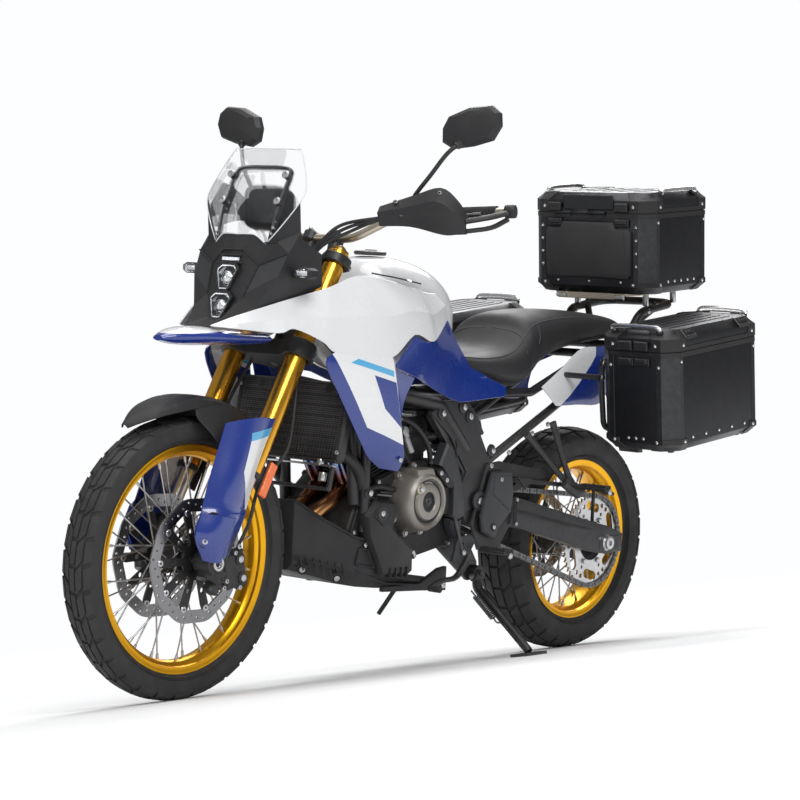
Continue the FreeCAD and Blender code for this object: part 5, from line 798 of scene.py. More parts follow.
# Wheels: block tread, drop-centre rim, crossed spokes, drilled discs
wheels = {
    "front": {"centre": frontCentre, "body": "front_wheel", "radius": 347, "half": 46, "rise": 14, "rows": 34,
              "blockDepth": 5.0, "bead": 267.5, "rimHalf": 33, "flange": 280.5, "well": 256, "hub": 26,
              "hubHalf": 59.2, "hubFlange": 42, "hubFlangePlace": 36, "spokes": 36, "hubBolts": (1, -1),
              "tread": ((-0.17, 0.17, 0.05, 0.95, 0), (0.23, 0.62, 0.05, 0.93, 9), (-0.62, -0.23, 0.55, 1.43, -9),
                        (0.68, 1.02, 0.12, 1.0, 4), (-1.02, -0.68, 0.62, 1.5, -4))},
    "rear": {"centre": rearCentre, "body": "rear_wheel", "radius": 321, "half": 75, "rise": 26, "rows": 30,
             "blockDepth": 6.0, "bead": 216.5, "rimHalf": 57, "flange": 230, "well": 204, "hub": 36,
             "hubHalf": 78, "hubFlange": 58, "hubFlangePlace": 50, "spokes": 36, "hubBolts": (-1,),
             "tread": ((-0.18, 0.18, 0.04, 0.94, 0), (0.23, 0.62, 0.05, 0.93, 12), (-0.62, -0.23, 0.55, 1.43, -12),
                       (0.67, 1.01, 0.12, 1.0, 5), (-1.01, -0.67, 0.62, 1.5, -5))}}
blockTop = {"root": 3.0, "shoulder": 0.6, "shoulderSize": 0.93, "topSize": 0.85}
# Each disc: name, wheel, radius, width of its band, distance from the middle, side, and the nodes it stands for
discs = [("frontDiscLeft", "front", 155, 34, 63, 1, ("front_discs",)),
         ("frontDiscRight", "front", 155, 34, 63, -1, ()),
         ("rearDiscBrake", "rear", 130, 30, 81.8, -1, ("rear_disc",))]


def tyreReach(wheel, place):
    # The crown's radius at a distance from the middle, below the blocks.
    share = min(1.0, abs(place) / wheel["half"])
    return wheel["radius"] - wheel["blockDepth"] - wheel["rise"] * share ** 2.3


def treadBlock(wheel, y1, y2, a1, a2, skew):
    # One block of tread between two places across and two angles, its top smaller than its foot.
    points = []
    for lift, size in ((-blockTop["root"], 1.0),
                       (wheel["blockDepth"] - blockTop["shoulder"], blockTop["shoulderSize"]),
                       (wheel["blockDepth"], blockTop["topSize"])):
        for sy, sa in ((-1, -1), (1, -1), (1, 1), (-1, 1)):
            y = (y1 + y2) / 2 + sy * (y2 - y1) / 2 * size
            a = (a1 + a2) / 2 + sa * (a2 - a1) / 2 * size + radians(skew) * (y - (y1 + y2) / 2) / wheel["half"]
            reach = tyreReach(wheel, y) + lift
            points.append(wheel["centre"] + Vector((cos(a) * reach, y, sin(a) * reach)))
    faces = [(8, 9, 10, 11)]
    for ring in (0, 4):
        faces.extend((ring + k, ring + (k + 1) % 4, ring + 4 + (k + 1) % 4, ring + 4 + k) for k in range(4))
    return points, faces


def buildTyre(label, wheel):
    # A tyre with walls, moulded rings and rows of tread blocks.
    half, crown = wheel["half"], wheel["radius"] - wheel["blockDepth"]
    outside = [(half * share, tyreReach(wheel, half * share)) for share in (0, 0.2, 0.4, 0.6, 0.78, 0.9, 0.97)]
    shoulder = crown - wheel["rise"]
    wall = shoulder - wheel["flange"]
    outside += [(half * 0.995, shoulder - wall * 0.1), (half, shoulder - wall * 0.28),
                (half * 0.985, shoulder - wall * 0.5), (half * 0.93, shoulder - wall * 0.74),
                (wheel["rimHalf"] + 1.5, wheel["flange"] + 5), (wheel["rimHalf"] - 1, wheel["flange"] + 1.5),
                (wheel["rimHalf"] - 4.6, wheel["bead"] + 3)]
    ring = outside + [(-y, r) for y, r in outside[:0:-1]]
    body = turned(ring, wheel["centre"], 144)
    # Fine moulded rings near the rim
    rings = []
    for share in (0.80, 0.86):
        y, r = half * 0.93 * (1 - (share - 0.8) * 1.5) + 1.2, shoulder - wall * share
        for side in (1, -1):
            rings.append(turned([(side * y, r), (side * (y + 1.6), r + 1.2), (side * y, r + 2.4)],
                                wheel["centre"], 144))
    blocks = []
    rows = wheel["rows"]
    step = 2 * pi / rows
    for row in range(rows):
        a = row * step
        for low, high, first, last, skew in wheel["tread"]:
            blocks.append(treadBlock(wheel, low * half, high * half, a + first * step, a + last * step, skew))
    return piece(label + "TyreTread", joined(body, *rings, *blocks), wheel["body"], tyreRubber, angle=30,
                 over=(label + "_tyre",))


def buildRim(label, wheel):
    # A drop-centre rim turned about the axle.
    h, bead, flange, well = wheel["rimHalf"], wheel["bead"], wheel["flange"], wheel["well"]
    left = [(0, well), (h * 0.42, well), (h * 0.6, bead - 1), (h - 5, bead), (h - 4.4, flange - 1),
            (h - 2.6, flange + 0.4),
            (h, flange - 1.4), (h, flange - 5), (h - 1.8, flange - 8), (h - 2.2, bead - 5), (h * 0.74, bead - 6.5),
            (h * 0.58, well - 3), (h * 0.42, well - 6), (h * 0.2, well - 7.5), (0, well - 8)]
    ring = left + [(-y, r) for y, r in left[-2:0:-1]]
    rim = turned(ring, wheel["centre"], 144)
    return piece(label + "RimGold", rim, wheel["body"], goldRim, over=(label + "_rim",), angle=32)


def buildSpokes(label, wheel):
    # Crossed spokes with bent heads and nipples.
    parts = []
    nipples = []
    for index in range(wheel["spokes"]):
        side = 1 if index % 2 else -1
        lean = 1 if index % 4 < 2 else -1
        rimTurn = 2 * pi * index / wheel["spokes"]
        hubTurn = rimTurn + lean * radians(68)
        reachIn, reachOut = wheel["hubFlange"] - 5, wheel["well"] - 7
        start = wheel["centre"] + Vector((cos(hubTurn) * reachIn, side * (wheel["hubFlangePlace"] + 2.4 * lean),
                                          sin(hubTurn) * reachIn))
        end = wheel["centre"] + Vector((cos(rimTurn) * reachOut, side * wheel["rimHalf"] * 0.3,
                                        sin(rimTurn) * reachOut))
        way = (end - start).normalized()
        parts.append(barrel(start, end, 2.1, 8))
        parts.append(barrel(start - wayY * 3.6 * lean, start + wayY * 3.6 * lean, 2.9, 8))
        nipples.append(barrel(end - way * 15, end + way * 2, 3.6, 8, endRadius=4.2, soft=0.6))
    piece(label + "Spokes", joined(marked(joined(*parts), 0), marked(joined(*nipples), 1)), wheel["body"],
          [spokeSteel, steel], angle=50)


def buildHub(label, wheel):
    # A hub with two spoke flanges and its bolts.
    core, half, flange, place = wheel["hub"], wheel["hubHalf"], wheel["hubFlange"], wheel["hubFlangePlace"]
    left = [(0, core - 3), (place * 0.4, core - 4), (place - 11, core), (place - 5, core + 6),
            (place - 3.4, flange - 2),
            (place - 2.2, flange), (place + 2.2, flange), (place + 3.4, flange - 2), (place + 6, core + 7),
            (half - 4, core + 4), (half - 0.6, core + 2), (half - 0.4, 17.5), (half - 5, 15.5), (half - 5, 12)]
    ring = left + [(-y, r) for y, r in left[:0:-1]]
    hub = turned(ring, wheel["centre"], 72)
    bolts = []
    for index in range(6):
        angle = radians(60 * index + 15)
        for side in wheel["hubBolts"]:
            place = wheel["centre"] + Vector((cos(angle) * (core - 3), side * (half + 3.4), sin(angle) * (core - 3)))
            bolts.append(bolt(place, wayY * side, 5, 3.6))
    piece(label + "HubCore", joined(marked(hub, 0), marked(joined(*bolts), 1)), wheel["body"],
          [satinBlack, darkSteel], over=(label + "_hub",))


def buildDisc(label, wheel, radius, band, place, side, over):
    # Wavy rim, two rows of holes, open arms to the hub.
    lay = facing(wheel["centre"] + wayY * side * place, wayX, wayZ)
    wave = []
    for k in range(144):
        angle = 2 * pi * k / 144
        wave.append((cos(angle) * (radius - 2.2 + 2.2 * cos(angle * 10)),
                     sin(angle) * (radius - 2.2 + 2.2 * cos(angle * 10))))
    inner = []
    for k in range(144):
        angle = 2 * pi * k / 144
        reach = radius - band + 1.8 * cos(angle * 10)
        inner.append((cos(angle) * reach, sin(angle) * reach))
    holes = [inner]
    for k in range(40):
        angle = 2 * pi * (k + 0.5) / 40
        reach = radius - band * (0.28, 0.5, 0.72, 0.5)[k % 4]
        holes.append(roundLoop(cos(angle) * reach, sin(angle) * reach, 3.4, 12))
    ring = plate(wave, holes, 4.6, lay, bevel=0.3)
    reachOut, reachIn = radius - band + 1, wheel["hub"] + 5
    outline = []
    for k in range(10):
        angle = 2 * pi * k / 10
        for turnShare, reach in ((-0.30, reachIn + 16), (-0.17, reachOut - 10), (-0.12, reachOut + 3),
                                 (0.12, reachOut + 3),
                                 (0.17, reachOut - 10), (0.30, reachIn + 16)):
            a = angle + turnShare * 2 * pi / 10
            outline.append((cos(a) * reach, sin(a) * reach))
    carrier = plate(outline, [roundLoop(0, 0, reachIn - 12, 48)] + [
        roundLoop(cos(2 * pi * k / 10) * (reachIn + reachOut) * 0.5,
                  sin(2 * pi * k / 10) * (reachIn + reachOut) * 0.5, 6.5, 12) for k in range(10)],
        6.0, lay, bevel=0.6)
    pins = []
    for k in range(10):
        angle = 2 * pi * k / 10
        centre = wheel["centre"] + Vector((cos(angle) * reachOut, side * place, sin(angle) * reachOut))
        pins.append(turned([(-4.6, 3.2), (-4.6, 7.4), (-3.4, 8.4), (3.4, 8.4), (4.6, 7.4), (4.6, 3.2)], centre, 20))
    piece(label, joined(marked(ring, 0), marked(carrier, 1), marked(joined(*pins), 2)), wheel["body"],
          [discSteel, satinBlack, steel], over=over, angle=30)


for label, wheel in wheels.items():
    buildTyre(label, wheel)
    buildRim(label, wheel)
    buildSpokes(label, wheel)
    buildHub(label, wheel)
for label, wheelName, *shape in discs:
    buildDisc(label, wheels[wheelName], *shape)

# Rear sprocket with slots, and its carrier drum
sprocket = {"teeth": 51, "pitch": 15.875, "line": 105}
pitchRadius = sprocket["pitch"] / (2 * sin(pi / sprocket["teeth"]))
toothLoop = []
for k in range(sprocket["teeth"]):
    for share, rise in ((0.0, -4.2), (0.16, -3.6), (0.3, -0.6), (0.42, 4.0), (0.5, 4.8), (0.58, 4.0), (0.7, -0.6),
                        (0.84, -3.6)):
        angle = 2 * pi * (k + share) / sprocket["teeth"]
        toothLoop.append((cos(angle) * (pitchRadius + rise), sin(angle) * (pitchRadius + rise)))
slots = [roundLoop(0, 0, 56, 60)]
for k in range(6):
    angle = 60 * k + 30
    slots.append(slotLoop(cos(radians(angle)) * 98, sin(radians(angle)) * 98, 62, 26,
                          angle + 90 + 16))
    for extra, reach, size in ((-24, 108, 6.5), (-31, 84, 5), (24, 108, 6.5)):
        a = radians(angle + extra)
        slots.append(roundLoop(cos(a) * reach, sin(a) * reach, size, 14))
sprocketLay = facing(rearCentre + wayY * sprocket["line"], wayX, wayZ)
sprocketPlate = plate(toothLoop, slots, 6.4, sprocketLay, bevel=0.5)
sprocketDrum = turned([(78.6, 30), (78.6, 68), (88, 74), (98, 74), (101.4, 70), (101.4, 50), (96, 40), (90, 30)],
                      rearCentre, 72)
sprocketBolts = [hexNut(rearCentre + Vector((cos(radians(60 * k)) * 66, 108.2, sin(radians(60 * k)) * 66)),
                        wayY, 7.5, 6) for k in range(6)]
piece("rearSprocketRing",
      joined(marked(sprocketPlate, 0), marked(sprocketDrum, 1), marked(joined(*sprocketBolts), 2)), "rear_wheel",
      [silver, satinBlack, steel], over=("rear_sprocket",))
print("wheels ready")


# Bodywork: tank, white and blue panels, beak, dark nose with two lamps, screen, seat
def fold(points):
    # The edges of a closed field in (x, z), run so that the field lies on their left.
    area = sum(points[k][0] * points[(k + 1) % len(points)][1] - points[(k + 1) % len(points)][0] * points[k][1]
               for k in range(len(points)))
    ordered = points if area > 0 else points[::-1]
    return [(*ordered[k], *ordered[(k + 1) % len(ordered)]) for k in range(len(ordered))]


def panelPair(name, net, body, finishes, thick=4.0, across=1, along=5, angle=14, bevel=1.0, over=()):
    # A moulded panel and its mirror image, creased at its rows.
    return piece(name, mirrored(netSurface(net, across, along)), body, finishes, angle=angle, solid=thick,
                 bevel=bevel, over=over)


bodywork = {
    "tank": [(650, 80, 868, 982), (690, 108, 835, 1042), (770, 130, 800, 1083), (880, 144, 785, 1101),
             (950, 146, 792, 1098), (1000, 146, 805, 1080), (1040, 142, 830, 1024), (1078, 130, 862, 955)],
    "upperShroud": [
        [(1545, 50, 913), (1490, 80, 938), (1433, 110, 961), (1350, 137, 987), (1265, 163, 1013), (1205, 156, 1029),
         (1140, 150, 1046), (1060, 151, 1047), (985, 152, 1035), (905, 150, 1022), (861, 149, 1013),
         (808, 142, 1010)],
        [(1543, 53, 912), (1488, 92, 922), (1420, 128, 930), (1362, 160, 945), (1290, 192, 945), (1225, 203, 945),
         (1150, 212, 950), (1075, 216, 950), (980, 207, 965), (905, 197, 962), (858, 182, 958), (785, 158, 982)],
        [(1540, 56, 911), (1485, 98, 907), (1396, 140, 902), (1368, 166, 913), (1302, 197, 885), (1262, 206, 859),
         (1180, 226, 851), (1087, 242, 850), (973, 216, 906), (900, 211, 890), (852, 193, 900), (766, 152, 947)]],
    "shroud": [
        [(1262, 207, 861), (1180, 227, 852), (1130, 236, 851), (1088, 243, 850)],
        [(1294, 205, 834), (1200, 228, 834), (1130, 241, 834), (1084, 247, 832)],
        [(1247, 212, 754), (1160, 236, 754), (1110, 245, 754), (1068, 251, 754)],
        [(1190, 214, 676), (1120, 238, 676), (1085, 246, 676), (1050, 251, 676)],
        [(1157, 215, 631), (1105, 234, 631), (1070, 242, 631), (1035, 248, 629)],
        [(1128, 212, 600), (1085, 226, 600), (1050, 234, 600), (1018, 238, 598)],
        [(1075, 205, 572), (1055, 212, 568), (1035, 216, 565), (1015, 218, 562)]],
    "wing": [
        [(1064, 236, 833), (971, 216, 903), (917, 212, 887), (850, 191, 896), (764, 151, 943), (710, 142, 886),
         (657, 149, 822), (570, 147, 792), (489, 145, 767)],
        [(1062, 235, 828), (962, 217, 850), (915, 206, 838), (850, 190, 830), (762, 170, 850), (710, 159, 810),
         (655, 156, 780), (570, 150, 763), (491, 146, 755)],
        [(1056, 234, 822), (952, 215, 796), (905, 190, 788), (850, 181, 768), (762, 167, 741), (708, 161, 729),
         (655, 157, 731), (570, 150, 737), (494, 145, 742)]],
    "tail": [
        [(310, 131, 765), (220, 132, 819), (134, 131, 872), (40, 128, 879), (-60, 122, 885), (-100, 114, 862)],
        [(280, 136, 740), (190, 141, 770), (90, 144, 800), (20, 143, 830), (-40, 136, 850), (-98, 122, 853)],
        [(243, 134, 713), (150, 136, 716), (37, 137, 720), (0, 138, 785), (-10, 136, 813), (-95, 126, 842)]],
    "beak": [(1378, 101, 868, 903), (1420, 96, 866, 904.5), (1500, 82, 865, 908),
             (1560, 66, 864, 911), (1625, 42, 866, 904), (1669, 16, 874, 887)]}

piece("tankShell", hullForm(bodywork["tank"], power=3.6, topPower=2.7, sides=56), "chassis", glossWhite,
      angle=30, over=("fuel_tank",))
panelPair("fairingWhite", bodywork["upperShroud"], "chassis", glossWhite, over=("upper_shrouds",))

shroudPaint = paintByPlace(glossPaint("shroudPaint", white, whiteShade, drift=0.25), [
    (royalBlue, [(1248, 815, 1161, 684)]), (royalBlue, [(1145, 671, 1034, 629)]),
    (lightBlue, fold([(1223, 836), (1201, 846), (1087, 817), (1085, 802)])),
    (royalBlue, fold([(1150, 806), (1078, 788), (1051, 673), (1110, 722)]))])
panelPair("shroudSide", bodywork["shroud"], "chassis", shroudPaint, across=3, angle=20, over=("shrouds",))
panelPair("wingBlue", bodywork["wing"], "chassis", glossBlue, across=3, along=1, angle=18,
          over=("side_panels",))

# The dark duct between the shroud's rear edge and the wing
ductWall = [[(1082, 244, 830), (1060, 246, 760), (1046, 247, 690), (1034, 246, 634)],
            [(1058, 222, 824), (1030, 214, 760), (1022, 214, 690), (1020, 222, 640)],
            [(958, 214, 797), (985, 206, 740), (1002, 212, 680), (1014, 226, 634)]]
panelPair("shroudDuct", ductWall, "chassis", glossBlue, thick=3, across=2, angle=20)

tailPaint = paintByPlace(glossPaint("tailPaint", royalBlue, blueShade, drift=0.25), [
    (white, fold([(330, 760), (134, 885), (60, 885), (70, 855), (190, 740), (243, 700), (300, 735)]))])
panelPair("tailSide", bodywork["tail"], "chassis", tailPaint, across=3, angle=24, over=("tail_panels",))
beakPaint = paintByPlace(glossPaint("beakPaint", royalBlue, blueShade), [
    (white, fold([(1370, 897), (1600, 893), (1700, 884), (1700, 960), (1370, 960)]))])
piece("beakBlade", hullForm(bodywork["beak"], power=2.0, sides=48), "chassis", beakPaint, angle=24,
      over=("beak",))

# The seams and screws of the painted panels
seams = {"screws": [((927, 153, 1040), (0, 0.5, 1)), ((1036, 242, 592), (0, 1, -0.1)),
                    ((905, 150, 1010), (0, 0.5, 1))],
         "tankSeam": [(1046, 128, 1058), (950, 136, 1048), (861, 138, 1036)]}
seamParts = [marked(mirrored(tube(seams["tankSeam"], 2.0, 8)), 0)]
for place, way in seams["screws"]:
    addPair(seamParts, 1, bolt(Vector(place), way, 6.5, 4))
piece("panelSeams", joined(*seamParts), "chassis", [mouldedDeep, steel], angle=40)
print("painted panels ready")

# Nose: faceted dark mask, ears beside the screen, the vent, two hexagonal lamps and a strip lamp
nose = {"capMid": (1411, 0, 1139), "cap": (1406, 52, 1139), "corner": (1399, 82, 1119), "slitMid": (1423, 0, 1099),
        "slit": (1420, 32, 1100), "fold": (1413, 78, 1064), "ridge": (1386, 150, 1096), "vent": (1392, 118, 1122),
        "ear": (1361, 158, 1224), "earBack": (1346, 152, 1150), "maskSide": (1444, 62, 991),
        "maskLow": (1468, 22, 934), "maskLowMid": (1470, 0, 930), "facet": (1414, 140, 1037),
        "skirt": (1446, 105, 957), "skirtTip": (1530, 44, 913), "skirtTipMid": (1534, 0, 911),
        "skirtBack": (1312, 141, 992), "back": (1256, 149, 1020), "backTop": (1262, 149, 1098),
        "backUp": (1330, 146, 1130), "rim": (1300, 150, 905), "rimFront": (1410, 130, 905)}
noseFaces = [
    (("capMid", "cap", "slit", "slitMid"), 0), (("cap", "corner", "fold", "slit"), 0),
    (("corner", "vent", "fold"), 0), (("corner", "ear", "earBack", "vent"), 0), (("vent", "earBack", "ridge"), 0),
    (("vent", "ridge", "fold"), 1), (("slitMid", "slit", "fold", "maskSide", "maskLow", "maskLowMid"), 0),
    (("fold", "ridge", "facet"), 2), (("fold", "facet", "maskSide"), 2), (("maskSide", "facet", "skirt"), 0),
    (("maskSide", "skirt", "skirtTip", "maskLow"), 0), (("maskLow", "skirtTip", "skirtTipMid", "maskLowMid"), 0),
    (("ridge", "backTop", "back", "facet"), 0), (("facet", "back", "skirtBack", "skirt"), 0),
    (("ridge", "earBack", "backUp", "backTop"), 0)]


def facets(places, faces, side):
    # Flat faces between named places, on one side of the machine.
    points = [Vector((x, y * side, z)) for x, y, z in places.values()]
    order = list(places)
    rings = [tuple(order.index(word) for word in words) for words, mark in faces]
    return points, rings if side > 0 else [ring[::-1] for ring in rings], [mark for words, mark in faces]


noseShell = joined(facets(nose, noseFaces, 1), facets(nose, noseFaces, -1))
mouldedFacet = finish("mouldedFacet", (0.028, 0.029, 0.033), (0.04, 0.041, 0.046), rough=(0.42, 0.55), grain=1100,
                      bump=0.25, dust=0.08)
piece("noseMask", noseShell, "chassis", [moulded, mouldedDeep, mouldedFacet], angle=10, solid=4.0,
      bevel=2.2, bevelAngle=9, weld=True, over=("cowl",))

lampFace = Vector((0.963, 0, 0.268))
lampUp = Vector((-0.268, 0, 0.963))
lamps = {"upper": (1443, 0, 1032), "lower": (1463, 0, 962), "radius": 44}


def hexPlate(centre, radius, hole, depth):
    # A six-sided bezel, its top and bottom edges flat and the lower half narrower.
    side = lampUp.cross(lampFace)
    rings = []
    for reach, out in ((radius, -depth), (radius, 0), (hole, 0), (hole, -depth)):
        ring = []
        for degrees, share in ((30, 1.05), (90 - 35, 1.0), (90 + 35, 1.0), (150, 1.05), (248, 0.95), (292, 0.95)):
            a = radians(degrees)
            ring.append(Vector(centre) + (side * cos(a) + lampUp * sin(a)) * reach * share + lampFace * out)
        rings.append(ring)
    points = [p for ring in rings for p in ring]
    faces = [(r * 6 + k, r * 6 + (k + 1) % 6, ((r + 1) % 4) * 6 + (k + 1) % 6, ((r + 1) % 4) * 6 + k)
             for r in range(4) for k in range(6)]
    return points, faces


lampParts = []
for label in ("upper", "lower"):
    middle = Vector(lamps[label])
    radius = lamps["radius"]
    add(lampParts, 0, hexPlate(middle + lampFace * 5, radius, radius * 0.82, 12))
    add(lampParts, 1, hexPlate(middle + lampFace * 3, radius * 0.82, radius * 0.74, 8))
    bowl = turned([(-6, 5), (-4, 16), (0, 26), (4, 32)], middle - lampFace * 6, 6, way=lampFace, closed=False)
    add(lampParts, 1, bowl, barrel(middle - lampFace * 12, middle - lampFace * 8, radius * 0.74, 6))
    lens = turned([(-6, 20), (0, 19.5), (6, 15), (10, 8), (11.6, 0.5)], middle - lampFace * 5, 32, way=lampFace,
                  closed=False)
    add(lampParts, 2, lens)
    cover = turned([(0, 36), (2.5, 28), (3.8, 15), (4, 0.5)], middle + lampFace * 5, 32, way=lampFace, closed=False)
    add(lampParts, 3, cover)
    for k in range(-1, 2):
        add(lampParts, 1, block(middle + lampUp * (29 - abs(k) * 1.5) + wayY * k * 16 - lampFace * 1, (3, 9, 2.2),
                                (lampFace, wayY, lampUp), 0.4))
strip = Vector((1429, 0, 1076))
add(lampParts, 0, hexPlate(strip + lampFace * 3, 1, 0.9, 4))
add(lampParts, 1, block(strip + lampFace * 1.5, (5, 58, 12), (lampFace, wayY, lampUp), 2))
add(lampParts, 3, block(strip + lampFace * 3.5, (4, 62, 15), (lampFace, wayY, lampUp), 2))
for k in (-1, 1):
    add(lampParts, 0, block(strip + lampFace * 3.5 + lampUp * k * 9.5, (7, 76 - k * 8, 4), (lampFace, wayY, lampUp),
                            1.2))
add(lampParts, 0, block(Vector((1423, 0, 1100)) + lampFace * 1.2, (5, 66, 3), (lampFace, wayY, lampUp), 1))
piece("headlampPair", joined(*lampParts), "chassis", [cornerPlastic, reflector, mirrorFace, lensClear],
      angle=35, over=("headlamps",))

# The grooves of the nose as painted shade: dark lines laid along its folds; and the vent's slats
foldShadeLines = [[nose["slitMid"], nose["slit"], nose["fold"], nose["ridge"]], [nose["fold"], nose["maskSide"]],
           [nose["corner"], nose["vent"]]]
foldShadeAndSlatParts = []
for line in foldShadeLines:
    lifted = [Vector(place) + Vector((1.0, 0.6, 0.4)) for place in line]
    foldShadeAndSlatParts.append(mirrored(tube(lifted, 2.0, 8, sharp=True)))
ventSlats = [block(Vector((1396 - 5 * k, 108 + 12 * k, 1092 + 3 * k)), (5, 3, 20 - 3 * k), soft=1) for k in range(4)]
foldShadeAndSlatParts.append(mirrored(joined(*ventSlats)))
piece("noseFoldShadeAndSlats", joined(*foldShadeAndSlatParts), "chassis", mouldedDeep, angle=40)
print("nose ready")

# Screen: one bent clear sheet with a pale rim, four bolts and a flat black hoop behind it
screen = {"net": [
    [(1411, 0, 1139), (1395, 0, 1190), (1376, 0, 1240), (1346, 0, 1297), (1310, 0, 1354)],
    [(1406, 52, 1139), (1391, 62, 1190), (1373, 70, 1240), (1343, 70, 1297), (1309, 62, 1354)],
    [(1399, 82, 1119), (1386, 104, 1178), (1368, 122, 1232), (1341, 112, 1294), (1312, 96, 1352)],
    [(1396, 88, 1122), (1382, 122, 1165), (1363, 156, 1219), (1342, 159, 1259), (1315, 116, 1346)]],
    "hoop": [(1384, 86, 1128), (1370, 92, 1190), (1350, 92, 1240), (1328, 92, 1286), (1318, 76, 1304),
             (1318, 0, 1306), (1318, -76, 1304), (1328, -92, 1286), (1350, -92, 1240), (1370, -92, 1190),
             (1384, -86, 1128)],
    "bolts": [(1372, 92, 1222), (1345, 92, 1288)]}
screenHalf = netSurface(screen["net"], 6, 8)
piece("screenSheet", mirrored(screenHalf), "chassis", screenClear, angle=60, solid=4.0, weld=True,
      over=("windscreen",))
rimLine = [screen["net"][0][0], screen["net"][1][0], screen["net"][2][0]] + screen["net"][3] \
    + [screen["net"][2][4], screen["net"][1][4], screen["net"][0][4]]
screenRim = finish("screenRim", (0.75, 0.78, 0.8), (0.85, 0.87, 0.88), rough=(0.08, 0.16), grain=90, bump=0.01)
piece("screenRimEdge", mirrored(tube(rimLine, 1.5, 8, 4)), "chassis", screenRim, angle=60)
hoopParts = [marked(tube(screen["hoop"], 8.5, 10, 4, flat=0.55), 0)]
for place in screen["bolts"]:
    out = Vector((0.9, 0.0, 0.42))
    addPair(hoopParts, 0, barrel(Vector(place) - out * 14, Vector(place) + out * 2, 9, 20, soft=1))
    addPair(hoopParts, 1, turned([(2, 10), (4, 10), (5.6, 7.5), (2, 7)], Vector(place), 24, way=out),
            bolt(Vector(place) + out * 3, out, 8, 4))
for k in range(6):
    place = Vector((1382 - 6 * k, 90, 1140 + 15 * k))
    addPair(hoopParts, 1, barrel(place, place + Vector((9, 3, 3)), 3.2, 10))
piece("screenHoop", joined(*hoopParts), "chassis", [satinBlack, steel], over=("screen_bracket",))

# Dash: a flat display in a moulded box behind the screen
dashParts = [marked(hullForm([(1278, 68, 1158, 1240), (1292, 78, 1150, 1256), (1318, 70, 1158, 1262),
                              (1330, 56, 1170, 1254)], power=5), 0),
             marked(block((1279, 0, 1202), (4, 118, 66), (Vector((0.96, 0, 0.28)), wayY, Vector((-0.28, 0, 0.96))),
                          1.5), 1)]
piece("dashDisplay", joined(*dashParts), "chassis", [mouldedDeep, cornerPlastic], over=("dash",))
print("screen ready")

# Seat: rider's dip, step up and pillion pad with sewn seams
seat = {"form": [(-137, 80, 905, 951), (-60, 108, 896, 967), (80, 122, 880, 977), (230, 132, 850, 977),
                 (345, 140, 790, 963), (385, 147, 762, 926), (440, 146, 762, 879), (520, 132, 776, 857),
                 (590, 105, 792, 853), (644, 72, 806, 862)]}


def seatTop(x):
    # The half width and top of the seat at a distance along the machine.
    rows = seat["form"]
    for first, second in zip(rows, rows[1:]):
        if first[0] <= x <= second[0]:
            share = (x - first[0]) / (second[0] - first[0])
            return [a + (b - a) * share for a, b in zip(first, second)]
    return rows[0] if x < rows[0][0] else rows[-1]


def seatLine(path):
    # A seam laid on the seat from (x, share across) places.
    lift = 0.6
    line = []
    for x, share in path:
        half, low, high = seatTop(x)[1:]
        middle, rise = (low + high) / 2, (high - low) / 2
        angle = radians(90 * (1 - share))
        y = cos(angle) ** (2 / 2.7) * half if share > 0.001 else 0.0
        z = middle + sin(angle) ** (2 / 2.7) * rise
        line.append(Vector((x, y + lift * share, z + lift)))
    return line


seatBody = hullForm(seat["form"], power=3.0, topPower=2.7, sides=64, steps=8)
seatPads = piece("seatCover", seatBody, "chassis", seatVinyl, angle=60, over=("seat",))
seamLines = [seatLine([(600, 0.62), (520, 0.62), (440, 0.6), (390, 0.58), (345, 0.6), (230, 0.62), (80, 0.62),
                       (-60, 0.6)]),
             seatLine([(318, 0.02), (320, 0.3), (326, 0.6), (334, 0.85), (340, 0.98)]),
             seatLine([(388, 0.02), (389, 0.3), (392, 0.6), (398, 0.9)])]
piece("seatSeams", joined(*[mirrored(tube(line, 1.3, 6, 4)) for line in seamLines]), "chassis", seatThread,
      angle=60)
print("seat ready")


# Front mudguard: a pointed shell over the wheel with side cheeks down to the fork
fender = {"radius": 391, "start": 58.5, "end": 122, "half": 66, "crown": 13, "cheekLow": 332}
fenderRows = []
for step in range(41):
    share = step / 40
    a = radians(fender["start"] + (fender["end"] - fender["start"]) * share)
    grow = min(1.0, share / 0.34)
    half = fender["half"] * (0.16 + 0.84 * sin(grow * pi / 2)) * (1 - 0.16 * max(0, share - 0.7) / 0.3)
    lift = 7 * sin(share * pi) - 4 * (1 - grow)
    row = []
    for side in range(-10, 11):
        s = side / 10
        ridge = 3.2 * max(0, 1 - abs(abs(s) - 0.55) / 0.09) * grow
        reach = fender["radius"] + lift - fender["crown"] * abs(s) ** 2.4 + ridge
        if abs(s) > 0.95:
            reach -= 16 * grow
        row.append(frontCentre + Vector((cos(a) * reach, half * (s if abs(s) < 0.95 else s * 1.04), sin(a) * reach)))
    fenderRows.append(row)
piece("fenderShell", skin(fenderRows, closed=False), "fork", moulded, angle=28, solid=3.6, bevel=0.8,
      over=("front_fender",))
cheek = [[(1600, 66, 712), (1540, 69, 722), (1480, 69, 720), (1430, 68, 702)],
         [(1596, 72, 690), (1536, 78, 694), (1478, 80, 690), (1436, 76, 676)],
         [(1560, 84, 655), (1524, 92, 655), (1480, 94, 650), (1450, 88, 645)],
         [(1532, 92, 620), (1512, 96, 616), (1488, 97, 614), (1466, 94, 612)]]
piece("fenderCheeks", mirrored(netSurface(cheek, 5, 5)), "fork", moulded, angle=30, solid=3.6,
      bevel=0.8)
fenderBolts = [mirrored(bolt(place, (0.1, 1, 0.3), 6.5, 4)) for place in ((1500, 93, 668), (1522, 95, 634))]
piece("fenderBolts", joined(*fenderBolts), "fork", darkSteel)

